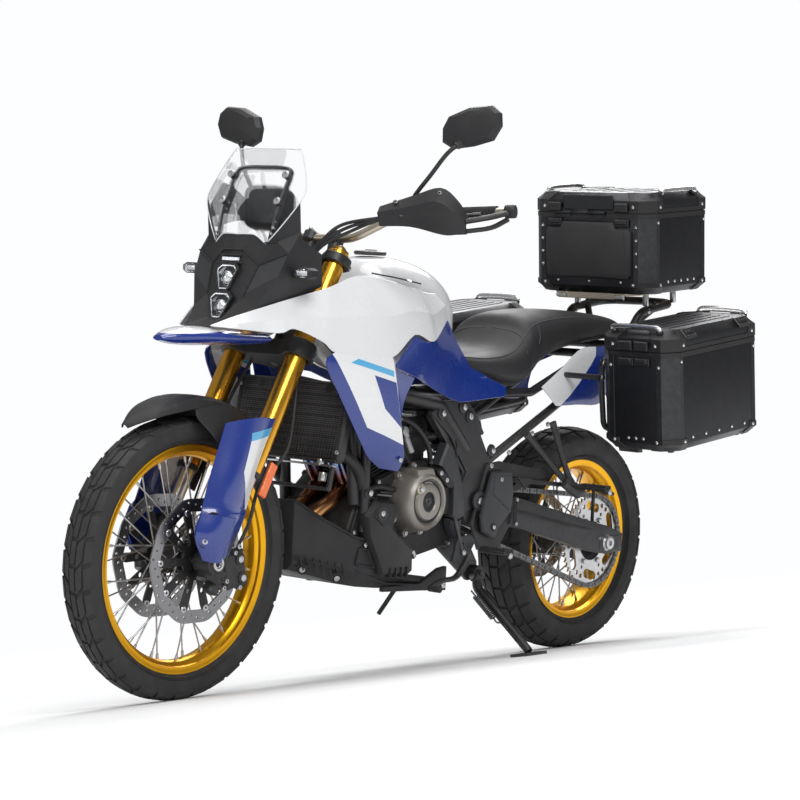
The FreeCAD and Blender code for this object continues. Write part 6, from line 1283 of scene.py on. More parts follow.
# Fork: gold outer tubes, dark inner tubes and castings, clamped by two yokes
legCentre = 47
leg = {"outer": [(610, 24.5), (612, 26.8), (640, 27), (900, 27.6), (925, 27), (1200, 27), (1224, 27), (1226, 25)],
       "cap": [(1224, 24), (1226, 24.5), (1232, 24), (1233, 15), (1240, 14), (1240, 1)],
       "wiper": [(597, 22), (598, 26), (611, 27.6), (612, 22)],
       "inner": [(466, 21.5), (600, 21.5)],
       "casting": [(466, 22), (464, 27), (456, 29.5), (420, 29.5), (400, 27), (378, 27), (352, 31), (330, 31),
                   (318, 26), (317, 2)]}


def alongLeg(profile, side):
    # A ring turned about one fork leg.
    return turned(profile, onFork(legCentre, side * machine["legPlace"], 0), 48, way=forkUp, closed=False)


goldLegs, darkLegs = [], []
for side in (1, -1):
    goldLegs.append(alongLeg([(605, 22)] + leg["outer"] + [(1226, 20)], side))
    add(darkLegs, 1, alongLeg(leg["wiper"], side))
    add(darkLegs, 2, alongLeg(leg["inner"], side))
    add(darkLegs, 0, alongLeg(leg["casting"], side))
    add(darkLegs, 3, alongLeg(leg["cap"], side))
    add(darkLegs, 2, bolt(onFork(legCentre, side * machine["legPlace"], 1240), forkUp, 8, 5))
    axleEnd = frontCentre + wayY * side * 78
    add(darkLegs, 0, barrel(axleEnd, axleEnd + wayY * side * 56, 29, 36, soft=3))
    add(darkLegs, 2, turned([(0, 11), (0, 17), (3, 18), (7, 17), (7, 11)], frontCentre + wayY * side * 134, 32,
                            way=wayY * side))
    add(darkLegs, 0, block(onFork(legCentre - 26, side * 106, 330), (34, 30, 66), (forkAhead, wayY, forkUp), 5))
    for along in (322, 340):
        add(darkLegs, 2, bolt(onFork(8 + legCentre - 50, side * 112, along), wayY * side, 6, 20))
piece("forkGold", joined(*goldLegs), "fork", goldFork, angle=30, over=("fork_tubes",))
castAnodised = finish("castAnodised", (0.33, 0.2, 0.05), (0.42, 0.27, 0.08), metallic=1, rough=(0.3, 0.4), grain=600,
                      bump=0.04)
piece("forkDark", joined(*darkLegs), "fork", [satinBlack, hoseRubber, steel, castAnodised], angle=35,
      over=("fork_lowers",))


clampRadius = 39


def yokeShape(start, height, front):
    # A clamp plate round both legs, waisted between them.
    outline = []
    for side in (1, -1):
        centre = (legCentre, side * machine["legPlace"])
        for degrees in range(-100, 101, 10):
            a = radians(90 * side + degrees)
            outline.append((centre[0] + cos(a) * clampRadius, centre[1] + sin(a) * clampRadius))
        outline.append((-16, side * 34) if side > 0 else (front, -60))
        if side > 0:
            outline.append((-27, 0))
            outline.append((-16, -34))
    outline.append((front, 60))
    lay = Matrix.Translation(onFork(0, 0, start + height / 2)) @ Matrix((forkAhead, wayY,
                                                                         forkUp)).transposed().to_4x4()
    holes = [roundLoop(legCentre, side * machine["legPlace"], 27.4, 40) for side in (1, -1)]
    return plate(outline, holes, height, lay, bevel=2.5)


yokeParts = [marked(yokeShape(925, 44, 60), 0), marked(yokeShape(1190, 24, 58), 0),
             marked(barrel(onFork(0, 0, 925), onFork(0, 0, 1190), 14, 28), 1),
             marked(turned([(0, 8), (0, 20), (8, 21), (10, 18), (10, 8)], onFork(0, 0, 1214), 6, way=forkUp), 1)]
for side in (1, -1):
    for along in (936, 956, 1202):
        place = onFork(legCentre - 34, side * 121, along)
        add(yokeParts, 1, bolt(place - wayY * side * 4, wayY * side, 5.5, 11))
        add(yokeParts, 0, block(onFork(legCentre - 36, side * 112, along), (16, 22, 14), (forkAhead, wayY, forkUp),
                                3))
    riser = onFork(-4, side * 42, 1212)
    top = Vector((1092, side * 42, 1141))
    add(yokeParts, 0, barrel(riser, top, 17, 28, soft=3), block(top, (44, 34, 34), (forkAhead, wayY, forkUp), 7))
    for k in (-1, 1):
        add(yokeParts, 1, bolt(top + forkAhead * 15 * k + forkUp * 16, forkUp, 5, 5))
piece("yokePair", joined(*yokeParts), "fork", [satinBlack, steel], angle=35, over=("yokes",))

# Fork guards with their white field, pale stripe, folds and screws; amber reflectors behind
guardNet = [
    [(1534, 106, 682), (1487, 134, 694), (1436, 137, 697), (1373, 124, 692)],
    [(1557, 107, 622), (1514, 138, 620), (1468, 141, 618), (1418, 124, 612)],
    [(1586, 109, 545), (1547, 141, 542), (1500, 143, 538), (1449, 124, 536)],
    [(1606, 111, 486), (1566, 140, 482), (1524, 142, 476), (1470, 124, 474)],
    [(1613, 113, 468), (1573, 144, 464), (1530, 146, 458), (1476, 126, 458)],
    [(1632, 114, 416), (1598, 141, 412), (1556, 143, 404), (1498, 124, 410)],
    [(1604, 116, 358), (1586, 133, 352), (1562, 133, 350), (1524, 122, 362)]]
guardPaint = paintByPlace(glossPaint("guardPaint", royalBlue, blueShade, dust=0.06), [
    (white, fold([(1480, 642), (1395, 655), (1466, 478), (1478, 472), (1505, 566)])),
    (lightBlue, fold([(1478, 660), (1390, 672), (1396, 652), (1480, 640)]))])
panelPair("forkGuardBlue", guardNet, "fork", guardPaint, thick=3.5, across=3, along=6, angle=20, bevel=1.2,
          over=("fork_guards",))
panelPair("forkGuardPad", [[(x + 2, y + 4.5, z) for x, y, z in row[:3]] for row in guardNet[4:]], "fork", glossBlue,
          thick=6, across=3, along=6, angle=20, bevel=1.6)
guardTrim = []
for place in ((1592, 136, 456), (1616, 134, 404)):
    addPair(guardTrim, 1, turned([(0, 17), (2.2, 15.5), (1.8, 10), (0, 8)], place, 28, way=(0.61, 0.79, 0)))
    addPair(guardTrim, 2, bolt(Vector(place) + wayY, (0.61, 0.79, 0), 7.5, 5))
reflectorCentre = Vector((1393, 122, 541))
addPair(guardTrim, 0, block(reflectorCentre, (25, 12, 90), (forkAhead, wayY, forkUp), 3))
addPair(guardTrim, 1, block(reflectorCentre - wayY * 5, (30, 8, 96), (forkAhead, wayY, forkUp), 2))
piece("forkGuardTrim", joined(*guardTrim), "fork", [orangeLens, mouldedDeep, steel])

# Front calipers: four-piston bodies behind the legs, with pads, bolts and hoses
caliper = {"behind": 124, "out": 78, "below": 22, "lean": 14}
caliperParts = []
for side in (1, -1):
    centre = frontCentre + Vector((-caliper["behind"], side * caliper["out"], -caliper["below"]))
    swing = radians(caliper["lean"])
    up = Vector((sin(swing), 0, cos(swing)))
    ahead = Vector((cos(swing), 0, -sin(swing)))
    ways = (ahead, wayY, up)
    add(caliperParts, 0, block(centre + wayY * side * 7, (46, 22, 100), ways, 8),
        block(centre + wayY * side * -26, (40, 14, 92), ways, 6))
    for k in (-1, 1):
        add(caliperParts, 0, barrel(centre + up * 24 * k + wayY * side * 16, centre + up * 24 * k + wayY * side * 23,
                                    15, 28, soft=2))
        add(caliperParts, 1,
            barrel(centre + up * 24 * k + wayY * side * 22, centre + up * 24 * k + wayY * side * 25, 9, 24, soft=1),
            bolt(centre + up * 44 * k + wayY * side * 17 + ahead * 14, wayY * side, 6, 6))
    add(caliperParts, 0, block(centre + ahead * 34 + wayY * side * 12, (36, 10, 84), ways, 3))
    add(caliperParts, 1, block(centre - ahead * 8, (22, 20, 64), ways, 1.5))
    banjo = centre + up * 54 - ahead * 6 + wayY * side * 12
    add(caliperParts, 1, bolt(banjo, wayY * side, 7, 7))
    hose = [banjo, banjo + Vector((-26, side * 10, 60)), banjo + Vector((-60, side * 8, 150)),
            Vector((1330, side * 122, 610)), Vector((1296, side * 112, 720)), Vector((1246, side * 70, 842)),
            Vector((1228, side * 26, 880))]
    add(caliperParts, 2, tube(hose, 4.6, 12, 8))
piece("frontCaliperPair", joined(*caliperParts), "fork", [satinBlack, steel, hoseRubber], angle=35,
      over=("front_calipers",))
print("fork ready")

# Handlebar with grips, levers, switch pods, reservoir and cables
bar = {"path": [(1095, 0, 1140), (1092, 95, 1142), (1040, 205, 1206), (942, 462, 1226)],
       "mirror": [(1022, 262, 1211), (1056, 263, 1222), (1069, 272, 1250), (1060, 318, 1310), (1040, 352, 1365),
                  (1012, 378, 1396)]}


def onBar(y):
    # A place beside the outer stretch of the bar.
    share = (y - 205) / 257
    return Vector((1040 - 98 * share, y, 1206 + 20 * share))


barWay = (onBar(462) - onBar(205)).normalized()
barLine = [Vector(place) for place in bar["path"]]
barCurve = smoothPath([barLine[0], barLine[0].lerp(barLine[1], 0.8), barLine[1].lerp(barLine[2], 0.12),
                       barLine[1].lerp(barLine[2], 0.5), barLine[1].lerp(barLine[2], 0.9),
                       barLine[2].lerp(barLine[3], 0.08), barLine[3]], 6)
piece("barTube", mirrored(tube(barCurve, 11, 24, sharp=True)), "fork", champagne, angle=50,
      over=("handlebar",))
controlParts = []
gripRings = [(0, 12)]
for k in range(16):
    gripRings += [(2 + k * 7.4, 16.6), (5.6 + k * 7.4, 16.6), (6.2 + k * 7.4, 15.4), (8.8 + k * 7.4, 15.4)]
gripRings += [(122, 16.6), (124, 12)]
addPair(controlParts, 0, turned(gripRings, onBar(330), 36, way=barWay, closed=False),
        turned([(0, 12), (0, 22), (3, 23), (6, 20), (6, 12)], onBar(324), 36, way=barWay))
pod = onBar(292)
addPair(controlParts, 1, block(pod - Vector((0, 0, 4)), (44, 46, 52), (wayX, barWay, wayZ), 9))
for k, size in enumerate(((12, 12, 7), (16, 10, 7), (12, 14, 6))):
    addPair(controlParts, 0, block(pod + Vector((-22, 0, 12 - 14 * k)), size[::-1], (wayX, barWay, wayZ), 2))
clamp = onBar(262)
addPair(controlParts, 1, barrel(clamp - barWay * 12, clamp + barWay * 12, 18, 28, soft=2),
        block(clamp + Vector((26, 0, 2)), (46, 24, 26), (wayX, barWay, wayZ), 6))
leverRoot = clamp + Vector((44, 4, 0))
lever = [leverRoot, leverRoot + Vector((14, 24, 2)), leverRoot + Vector((-4, 80, 2)),
         leverRoot + Vector((-30, 140, 0)), leverRoot + Vector((-52, 176, 4))]
addPair(controlParts, 2, tube(lever, [7, 7, 6, 5.5, 8], 12, 6, flat=1.5), bolt(leverRoot - wayZ * 12, wayZ, 6, 26))
reservoir = Vector((clamp.x + 34, -clamp.y - 4, clamp.z + 34))
add(controlParts, 1, barrel(reservoir - wayZ * 16, reservoir + wayZ * 14, 22, 28, soft=3))
add(controlParts, 0, turned([(14, 1), (14, 23), (20, 24), (22, 22), (22, 1)], reservoir, 28, way=wayZ, closed=False))
for k in range(3):
    start = Vector((1078, 240 + 8 * k, 1204 + 4 * k))
    add(controlParts, 3,
        tube([start, start + Vector((50, -30, -14)), Vector((1160 + 6 * k, 150 - 8 * k, 1160 + 8 * k)),
              Vector((1200, 92, 1120 + 7 * k)), Vector((1214, 56, 1066 + 6 * k)), onFork(68, 20, 1105)], 4.4, 12, 8))
add(controlParts, 3, tube([Vector((1084, -250, 1206)), Vector((1140, -214, 1186)), Vector((1170, -140, 1150)),
                           Vector((1204, -80, 1100)), onFork(70, -46, 1198), onFork(38, -24, 1142)], 4.6, 12, 8))
piece("barControls", joined(*controlParts), "fork", [gripRubber, mouldedDeep, satinBlack, hoseRubber],
      angle=38, over=("controls",))

# Hand guards: folded shields with a strap to the bar's end and a weight
guardShape = [
    [(1137, 222, 1223), (1100, 300, 1254), (1082, 370, 1275), (1062, 408, 1245), (1046, 428, 1207)],
    [(1149, 224, 1208), (1116, 300, 1226), (1102, 374, 1240), (1082, 412, 1216), (1054, 432, 1196)],
    [(1141, 222, 1192), (1112, 300, 1200), (1100, 378, 1204), (1080, 412, 1190), (1056, 433, 1184)],
    [(1135, 222, 1176), (1102, 295, 1178), (1085, 385, 1161), (1066, 412, 1163), (1050, 432, 1165)]]
panelPair("handShield", guardShape, "fork", moulded, thick=3.6, across=1, along=4, angle=12,
          bevel=1.4, over=("handguards",))
strap = []
addPair(strap, 0, tube([(1056, 428, 1196), (1004, 466, 1210), (962, 482, 1222)], 7, 12, 5, flat=2.0),
        tube([(1052, 430, 1172), (1002, 468, 1184), (958, 484, 1206)], 6, 12, 5, flat=1.6),
        barrel(onBar(463), onBar(490), 17, 32, soft=4))
addPair(strap, 1, turned([(26.9, 0.5), (27.6, 8), (26.9, 9)], onBar(463), 24, way=barWay, closed=False))
for place in ((1126, 262, 1236), (1119, 278, 1206), (1090, 372, 1262)):
    addPair(strap, 1, bolt(place, (0.8, 0.45, 0.5), 6, 4))
addPair(strap, 0, block((1104, 262, 1212), (56, 22, 16), (Vector((1, -0.2, 0)).normalized(),
                                                          Vector((0.2, 1, 0)).normalized(), wayZ), 3))
piece("guardStraps", joined(*strap), "fork", [moulded, darkSteel], angle=38)

# Mirrors: bent stems with rubber boots, folded heads and glass
mirrorParts = [marked(mirrored(tube(bar["mirror"], 5.6, 16, 8)), 1),
               marked(mirrored(hexNut((1022, 262, 1218), (0.1, 0, 1), 11, 12)), 2),
               marked(mirrored(tube([(1026, 366, 1382), (1016, 374, 1392), (1004, 384, 1404)], [10, 12, 9], 16, 6)),
                      1)]
headCentre = Vector((1010, 396, 1432))
mirrorWide = Vector((-0.10, 0.98, 0.16)).normalized()
mirrorOut = Vector((1, 0.12, 0.10)).normalized()
mirrorTall = mirrorOut.cross(mirrorWide) * -1
mirrorTall = mirrorTall if mirrorTall.z > 0 else -mirrorTall
mirrorLoop = [(-88, -26), (-60, -46), (0, -48), (58, -42), (84, -10), (84, 22), (62, 44), (0, 50), (-66, 36),
              (-86, 8)]


def mirrorRing(scale, out, lift=0.0):
    # The outline of a mirror head, scaled and set out along its face.
    return [headCentre + mirrorWide * x * scale + mirrorTall * (z * scale + lift) + mirrorOut * out
            for x, z in mirrorLoop]


headRings = [mirrorRing(0.93, -17), mirrorRing(1.0, -15), mirrorRing(1.0, -4), mirrorRing(0.9, 8),
             mirrorRing(0.62, 16, 4), mirrorRing(0.2, 19, 6)]
addPair(mirrorParts, 0, skin(headRings))
addPair(mirrorParts, 3, skin([mirrorRing(0.92, -17.6), mirrorRing(0.02, -17.6)], caps=False))
for share in (0.25, 0.6):
    edgeLine = [headCentre + mirrorWide * x + mirrorTall * (z * share) + mirrorOut * (13 - abs(x) * 0.07)
                for x, z in ((-60, -18), (0, 14), (56, -26))]
    addPair(mirrorParts, 0, tube(edgeLine, 1.6, 8, 4))
piece("mirrorPair", joined(*mirrorParts), "fork", [moulded, satinBlack, darkSteel, mirrorFace], angle=26,
      over=("mirrors",))
print("handlebar ready")


# Engine: cases, finned cylinder, round covers, hoses, headers, radiator and the frame round them
def softCopy(name, label, body, finishes, bevel):
    # One of the frame's own solids as a piece of the scene, its sharp edges eased.
    source = bmesh.new()
    source.from_mesh(nodes[label].data)
    bmesh.ops.remove_doubles(source, verts=source.verts, dist=0.00001)
    bmesh.ops.dissolve_limit(source, angle_limit=radians(1.5), verts=source.verts, edges=source.edges)
    away = bikeToRow.inverted()
    points = [away @ vertex.co for vertex in source.verts]
    source.verts.index_update()
    faces = [tuple(vertex.index for vertex in face.verts) for face in source.faces]
    source.free()
    return piece(name, (points, faces), body, finishes, angle=34, bevel=bevel, bevelAngle=35, over=(label,))


def sidePlate(outline, y1, y2, holes=(), bevel=1.5):
    # A plate in the machine's side view between two places across, with holes.
    return plate(outline, holes, abs(y2 - y1), facing((0, (y1 + y2) / 2, 0), wayX, wayZ), bevel=bevel)


def spread(outline, scale):
    # An outline larger or smaller about its middle.
    cx = sum(p[0] for p in outline) / len(outline)
    cz = sum(p[1] for p in outline) / len(outline)
    return [(cx + (x - cx) * scale, cz + (z - cz) * scale) for x, z in outline]


def domed(outline, steps):
    # A raised boss from an outline, through (y, scale) steps.
    return skin([[Vector((x, y, z)) for x, z in spread(outline, scale)] for y, scale in steps])


engine = {"crankcase": [(1085, 395), (1050, 480), (990, 530), (850, 568), (725, 575), (645, 530), (632, 400),
                        (672, 345),
                        (820, 318), (1000, 318), (1070, 345)], "caseHalf": 117,
          "barrel": [(838, 545), (985, 500), (1046, 640), (1058, 700), (948, 738), (884, 712)], "barrelHalf": 100,
          "generator": (847, 473), "clutch": (800, 440), "fins": 9, "finLow": ((838, 545), (884, 712)),
          "finHigh": ((985, 500), (1046, 640))}
castDark = finish("castDark", (0.022, 0.022, 0.024), (0.04, 0.04, 0.042), metallic=0.4, rough=(0.42, 0.56), grain=450,
                  bump=0.35, dust=0.12, wear=0.2)
engineParts = [marked(sidePlate(engine["crankcase"], -engine["caseHalf"], engine["caseHalf"], bevel=9), 0)]
for y in (-engine["caseHalf"] - 3, engine["caseHalf"] + 3):
    add(engineParts, 0, sidePlate(spread(engine["crankcase"], 0.965), y - 5, y + 5, bevel=2))
for k, (x, z) in enumerate(spread(engine["crankcase"], 0.93)):
    for side in (1, -1):
        add(engineParts, 0, barrel((x, side * 110, z), (x, side * 129, z), 10, 20, soft=2))
        add(engineParts, 2, bolt((x, side * 128, z), (0, side, 0), 6, 5))
# Front cylinder with its fins and head cover
outline, half, fins = engine["barrel"], engine["barrelHalf"], engine["fins"]
add(engineParts, 0, sidePlate(spread(outline, 0.95), -half + 6, half - 6, bevel=6))
for k in range(fins):
    share = 0.1 + 0.5 * k / fins
    low, high = [(x1 + (x2 - x1) * share, z1 + (z2 - z1) * share)
                 for (x1, z1), (x2, z2) in (engine["finLow"], engine["finHigh"])]
    way = Vector((high[0], 0, high[1])) - Vector((low[0], 0, low[1]))
    run = way.normalized()
    add(engineParts, 0,
        block(((low[0] + high[0]) / 2, 0, (low[1] + high[1]) / 2), (way.length + 10, 2 * half + 5, 4.2),
              (run, wayY, Vector((-run.z, 0, run.x))), 1.2))
headWay = Vector((1058 - 948, 0, 700 - 738)).normalized()
headUp = Vector((-headWay.z, 0, headWay.x))
for k in range(4):
    addPair(engineParts, 2, bolt(Vector((960 + 26 * k, half - 14, 735 - 9 * k)), headUp, 6, 6))
cover = [(890, 690), (1040, 640), (1054, 698), (950, 734)]
addPair(engineParts, 1, domed(cover, ((half - 8, 1.0), (half + 2, 0.98), (half + 7, 0.9), (half + 8, 0.6))))
piece("engineBlock", joined(*engineParts), "chassis", [castDark, castCover, steel], angle=36,
      over=("engine",))

coverParts = []
gx, gz = engine["generator"]
centre = Vector((gx, 0, gz))
add(coverParts, 0,
    turned([(117, 60), (117, 86), (128, 88), (140, 84), (162, 80), (178, 76), (188, 71), (192, 66), (190, 61),
            (184, 58), (183, 50), (190, 46), (192, 40), (192, 27), (188, 24)], centre, 96, closed=False))
# Dark centre cap and its hex; the dark band laid in the groove at radius 47 to 57 is painted shade
add(coverParts, 1, turned([(186, 25), (190, 24), (191, 20), (187, 18), (187, 3)], centre, 48, closed=False),
    turned([(183.4, 47), (184.6, 57)], centre, 96, closed=False),
    turned([(187, 3), (190, 6), (190, 11), (187, 13)], centre, 6))
for k in range(9):
    a = radians(40 * k + 8)
    place = centre + Vector((cos(a) * 90, 118, sin(a) * 90))
    if cos(a) * 90 < 88:
        add(coverParts, 0, barrel(place, place + wayY * 20, 9.5, 20, soft=2))
        add(coverParts, 2, bolt(place + wayY * 19, wayY, 6, 5))
upper = [(893, 557), (824, 560), (806, 528), (816, 512), (880, 515)]
add(coverParts, 0, domed(upper, ((116, 1.0), (172, 1.0), (182, 0.93), (184, 0.6))),
    barrel((884, 120, 509), (884, 190, 509), 17, 32, soft=3))
add(coverParts, 3, turned([(189, 4), (189, 14.5), (192, 15), (194, 12), (194, 4)], (884, 0, 509), 32))
add(coverParts, 2, bolt((884, 192, 509), wayY, 9, 7))
# Clutch cover on the right
cx, cz = engine["clutch"]
clutch = Vector((cx, 0, cz))
add(coverParts, 0, turned([(-117, 60), (-117, 104), (-128, 108), (-142, 104), (-160, 99), (-172, 93), (-176, 84),
                           (-172, 76), (-172, 54), (-178, 48), (-182, 38), (-182, 3)], clutch, 96, closed=False))
for k in range(10):
    a = radians(36 * k + 10)
    place = clutch + Vector((cos(a) * 108, -118, sin(a) * 108))
    add(coverParts, 0, barrel(place, place - wayY * 22, 9.5, 20, soft=2))
    add(coverParts, 2, bolt(place - wayY * 21, -wayY, 6, 5))
for k in range(3):
    a = radians(120 * k + 90)
    place = clutch + Vector((cos(a) * 34, -181, sin(a) * 34))
    add(coverParts, 2, bolt(place, -wayY, 6, 4))
# Front sprocket cover with its two-screw plate
sprocketOutline = [(790, 552), (735, 570), (690, 556), (660, 510), (664, 452), (700, 428), (742, 430), (752, 480),
                   (772, 512)]
add(coverParts, 1, domed(sprocketOutline, ((112, 1.0), (140, 1.0), (150, 0.95), (153, 0.8))),
    domed([(800, 553), (776, 556), (721, 515), (728, 503), (748, 505), (790, 540)],
          ((140, 1.0), (168, 1.0), (172, 0.93), (173, 0.6))))
for x, z in ((782, 545), (757, 526)):
    add(coverParts, 2, bolt((x, 171, z), wayY, 6.5, 5))
for x, z in ((674, 500), (690, 444), (724, 560)):
    add(coverParts, 2, bolt((x, 148, z), wayY, 6, 6))
piece("engineCovers", joined(*coverParts), "chassis", [castCover, castDark, steel, champagne], angle=30,
      over=("engine_covers",))

# Black faceted cover low at the front left, with its recess, and the same on the right
lowCover = [(1019, 482), (951, 476), (946, 450), (962, 408), (868, 342), (866, 287), (879, 279), (987, 284),
            (1048, 389), (1058, 442)]
lowParts = [marked(mirrored(domed(lowCover, ((120, 1.0), (150, 1.0), (164, 0.93), (166, 0.86)))), 0)]
addPair(lowParts, 1, domed([(1016, 478), (953, 473), (949, 452), (966, 414), (1000, 412), (1040, 440)],
                           ((160, 1.0), (169, 0.9), (170, 0.5))))
addPair(lowParts, 0, turned([(166, 4), (171, 8), (174, 13), (171, 17), (166, 18)], (1006, 0, 447), 28))
addPair(lowParts, 2, bolt((1008, 168, 448), wayY, 8, 6))
for k in range(4):
    addPair(lowParts, 1, block((896 + 22 * k, 160, 292), (4, 20, 26), soft=1))
addPair(lowParts, 2, barrel((868, 150, 340), (868, 165, 340), 6, 16, soft=1))
piece("lowerCovers", joined(*lowParts), "chassis", [satinBlack, mouldedDeep, steel], angle=24)

# Coolant and breather hoses, wiring, clamps
hoses = [([(1176, 116, 770), (1120, 128, 742), (1058, 118, 720), (1008, 96, 712)], 15),
         ([(1178, 118, 618), (1130, 134, 600), (1076, 138, 560), (1040, 128, 505), (990, 120, 470)], 15),
         ([(1176, -116, 770), (1110, -126, 740), (1040, -118, 716), (996, -96, 706)], 15),
         ([(1180, -118, 620), (1120, -136, 580), (1050, -134, 500), (960, -124, 450)], 15),
         ([(905, 116, 560), (934, 128, 600), (960, 124, 640), (948, 108, 690)], 8),
         ([(770, 128, 560), (800, 136, 620), (850, 130, 668), (900, 108, 690)], 7),
         ([(1060, 118, 690), (1000, 130, 668), (930, 128, 636), (880, 126, 590), (848, 128, 556)], 6),
         ([(1040, 122, 500), (990, 132, 512), (940, 136, 505), (905, 134, 500)], 8),
         ([(700, 122, 590), (716, 132, 640), (760, 128, 700), (800, 112, 742)], 9),
         ([(640, 106, 700), (660, 124, 660), (672, 128, 610), (668, 118, 560)], 10)]
hoseParts = []
for path, size in hoses:
    add(hoseParts, 0, tube(path, size, 18, 8))
    for first, second in ((path[0], path[1]), (path[-1], path[-2])):
        way = (Vector(second) - Vector(first)).normalized()
        foot = Vector(first) + way * 14
        add(hoseParts, 1, turned([(-4, size - 1), (-4, size + 1.8), (4, size + 1.8), (4, size - 1)], foot, 28,
                                 way=way))
for x, z in ((846, 646), (760, 652)):
    add(hoseParts, 2, barrel((x, -70, z), (x, 70, z), 38, 36, soft=4))
    addPair(hoseParts, 1, bolt((x, 70, z), wayY, 9, 12))
linkRod = [((906, 150, 640), (888, 156, 600)), ((914, 148, 660), (905, 152, 640))]
for first, second in linkRod:
    add(hoseParts, 3, barrel(first, second, 9, 20, soft=2))
add(hoseParts, 3, barrel((912, 128, 655), (912, 156, 655), 12, 20, soft=2))
add(hoseParts, 2, block((800, 0, 600), (130, 170, 90), soft=16))
for k in range(7):
    x, z = 940 + 16 * k, 470 + 3 * k
    add(hoseParts, (0, 1, 3)[k % 3],
        barrel((x - 30, 132 + k % 3 * 4, 500 - 6 * k), (x + 26, 132 + k % 3 * 4, 505 - 6 * k), 2.6, 8))
piece("hosesAndClamps", joined(*hoseParts), "chassis", [hoseRubber, darkSteel, castDark, castLight],
      angle=40)

# Headers: two pipes down from the front head, tinted by heat from blue through copper to straw
heatMetal = finish("heatMetal", (0.5, 0.5, 0.5), metallic=1, rough=(0.2, 0.34), grain=260, bump=0.05)
heatTree = heatMetal.node_tree
heatPlace = useGroup(heatTree, placeGroup)
heatSpread = addNode(heatTree, "MapRange", {"From Min": 400, "From Max": 605})
heatRipple = addNode(heatTree, "TexNoise", {"Scale": 18})
heatSum = addNode(heatTree, "Math", {1: 0.22}, operation="MULTIPLY_ADD")
heatRamp = addNode(heatTree, "ValToRGB")
feed(heatTree, heatPlace.outputs["Z"], heatSpread.inputs["Value"])
feed(heatTree, heatRipple.outputs["Fac"], heatSum.inputs[0])
feed(heatTree, heatSpread.outputs["Result"], heatSum.inputs[2])
feed(heatTree, heatSum.outputs[0], heatRamp.inputs["Fac"])
stops = [(0.0, (0.55, 0.36, 0.16)), (0.3, (0.52, 0.28, 0.11)), (0.55, (0.34, 0.13, 0.06)), (0.78, (0.22, 0.1, 0.09)),
         (0.92, (0.16, 0.22, 0.42)), (1.0, (0.4, 0.48, 0.58))]
while len(heatRamp.color_ramp.elements) < len(stops):
    heatRamp.color_ramp.elements.new(0.5)
for element, (place, colour) in zip(heatRamp.color_ramp.elements, stops):
    element.position = place
    element.color = (*colour, 1)
feed(heatTree, heatRamp.outputs["Color"], heatTree.nodes["Principled BSDF"].inputs["Base Color"])
headerParts = []
for y in (62, -22):
    pipe = [(1034, y, 622), (1070, y, 616), (1084, y, 586), (1062, y, 546), (1046, y, 514), (1078, y, 478),
            (1126, y * 0.92, 450), (1158, y * 0.72, 416), (1150, y * 0.6, 366), (1100, y * 0.6, 316),
            (1020, y * 0.6, 300), (900, y * 0.6, 292)]
    add(headerParts, 0, tube([Vector(p) for p in pipe], 19.5, 28, 8))
    add(headerParts, 1, turned([(-8, 18), (-8, 25), (8, 25), (8, 18)], Vector((1052, y, 620)), 28, way=wayX))
add(headerParts, 0, barrel((1078, 62, 590), (1078, -22, 590), 11, 20))
add(headerParts, 2, tube([(760, 0, 292), (700, -60, 290), (600, -118, 284), (500, -170, 292), (412, -206, 312)],
                         [30, 27, 25, 25, 25], 28, 8))
muffleWay = Vector((-cos(radians(14)), 0, sin(radians(14))))
muffleStart = Vector((404, -212, 322))
muffle = [(0, 24), (6, 44), (14, 50), (34, 52), (36, 54), (60, 54), (62, 52), (430, 52), (432, 54), (452, 54),
          (454, 52), (474, 48), (484, 34), (486, 24),
          (478, 22), (470, 18)]
add(headerParts, 3, turned(muffle, muffleStart, 56, way=muffleWay, closed=False))
for along in (66, 440):
    add(headerParts, 1,
        turned([(-9, 52), (-9, 55.5), (9, 55.5), (9, 52)], muffleStart + muffleWay * along, 56, way=muffleWay),
        bolt(muffleStart + muffleWay * along + Vector((0, -6, 52)), wayZ, 6, 8))
shieldRows = []
for k in range(13):
    along = 90 + 26 * k
    row = []
    for j in range(11):
        a = radians(-70 + 14 * j)
        row.append(muffleStart + muffleWay * along + Vector((0, -cos(a) * 58, sin(a) * 58)))
    shieldRows.append(row)
headerShield = skin(shieldRows, closed=False)
piece("exhaustPipes", joined(*headerParts), "chassis", [heatMetal, steel, headerMetal, satinBlack],
      angle=32, over=("exhaust",))
piece("mufflerShield", headerShield, "chassis", moulded, angle=40, solid=2.0)

# Radiator: core behind a grille of small bars, side tanks, lower rail and two brackets
radiator = {"centre": (1181, 681), "half": 176, "high": 94, "tilt": 12, "bars": 36, "rows": 22}
radTilt = radians(radiator["tilt"])
radUp = Vector((-sin(radTilt), 0, cos(radTilt)))
radOut = Vector((cos(radTilt), 0, sin(radTilt)))
radMiddle = Vector((radiator["centre"][0], 0, radiator["centre"][1]))
radWays = (radOut, wayY, radUp)
coreParts = [marked(block(radMiddle, (22, 2 * radiator["half"], 2 * radiator["high"]), radWays, 2), 0)]
for k in range(radiator["bars"]):
    y = radiator["half"] * (2 * k / (radiator["bars"] - 1) - 1) * 0.97
    add(coreParts, 1, block(radMiddle + radOut * 15.5 + wayY * y, (2.4, 1.8, 182), radWays, 0.5))
for k in range(radiator["rows"]):
    z = -90 + 180 * k / (radiator["rows"] - 1)
    add(coreParts, 1, block(radMiddle + radOut * 14 + radUp * z, (2.4, 344, 1.8), radWays, 0.5))
for k in range(36):
    z = -91 + 182 * k / 35
    add(coreParts, 2, block(radMiddle + radOut * 11.2 + radUp * z, (1.4, 348, 2.2), radWays, 0.4))
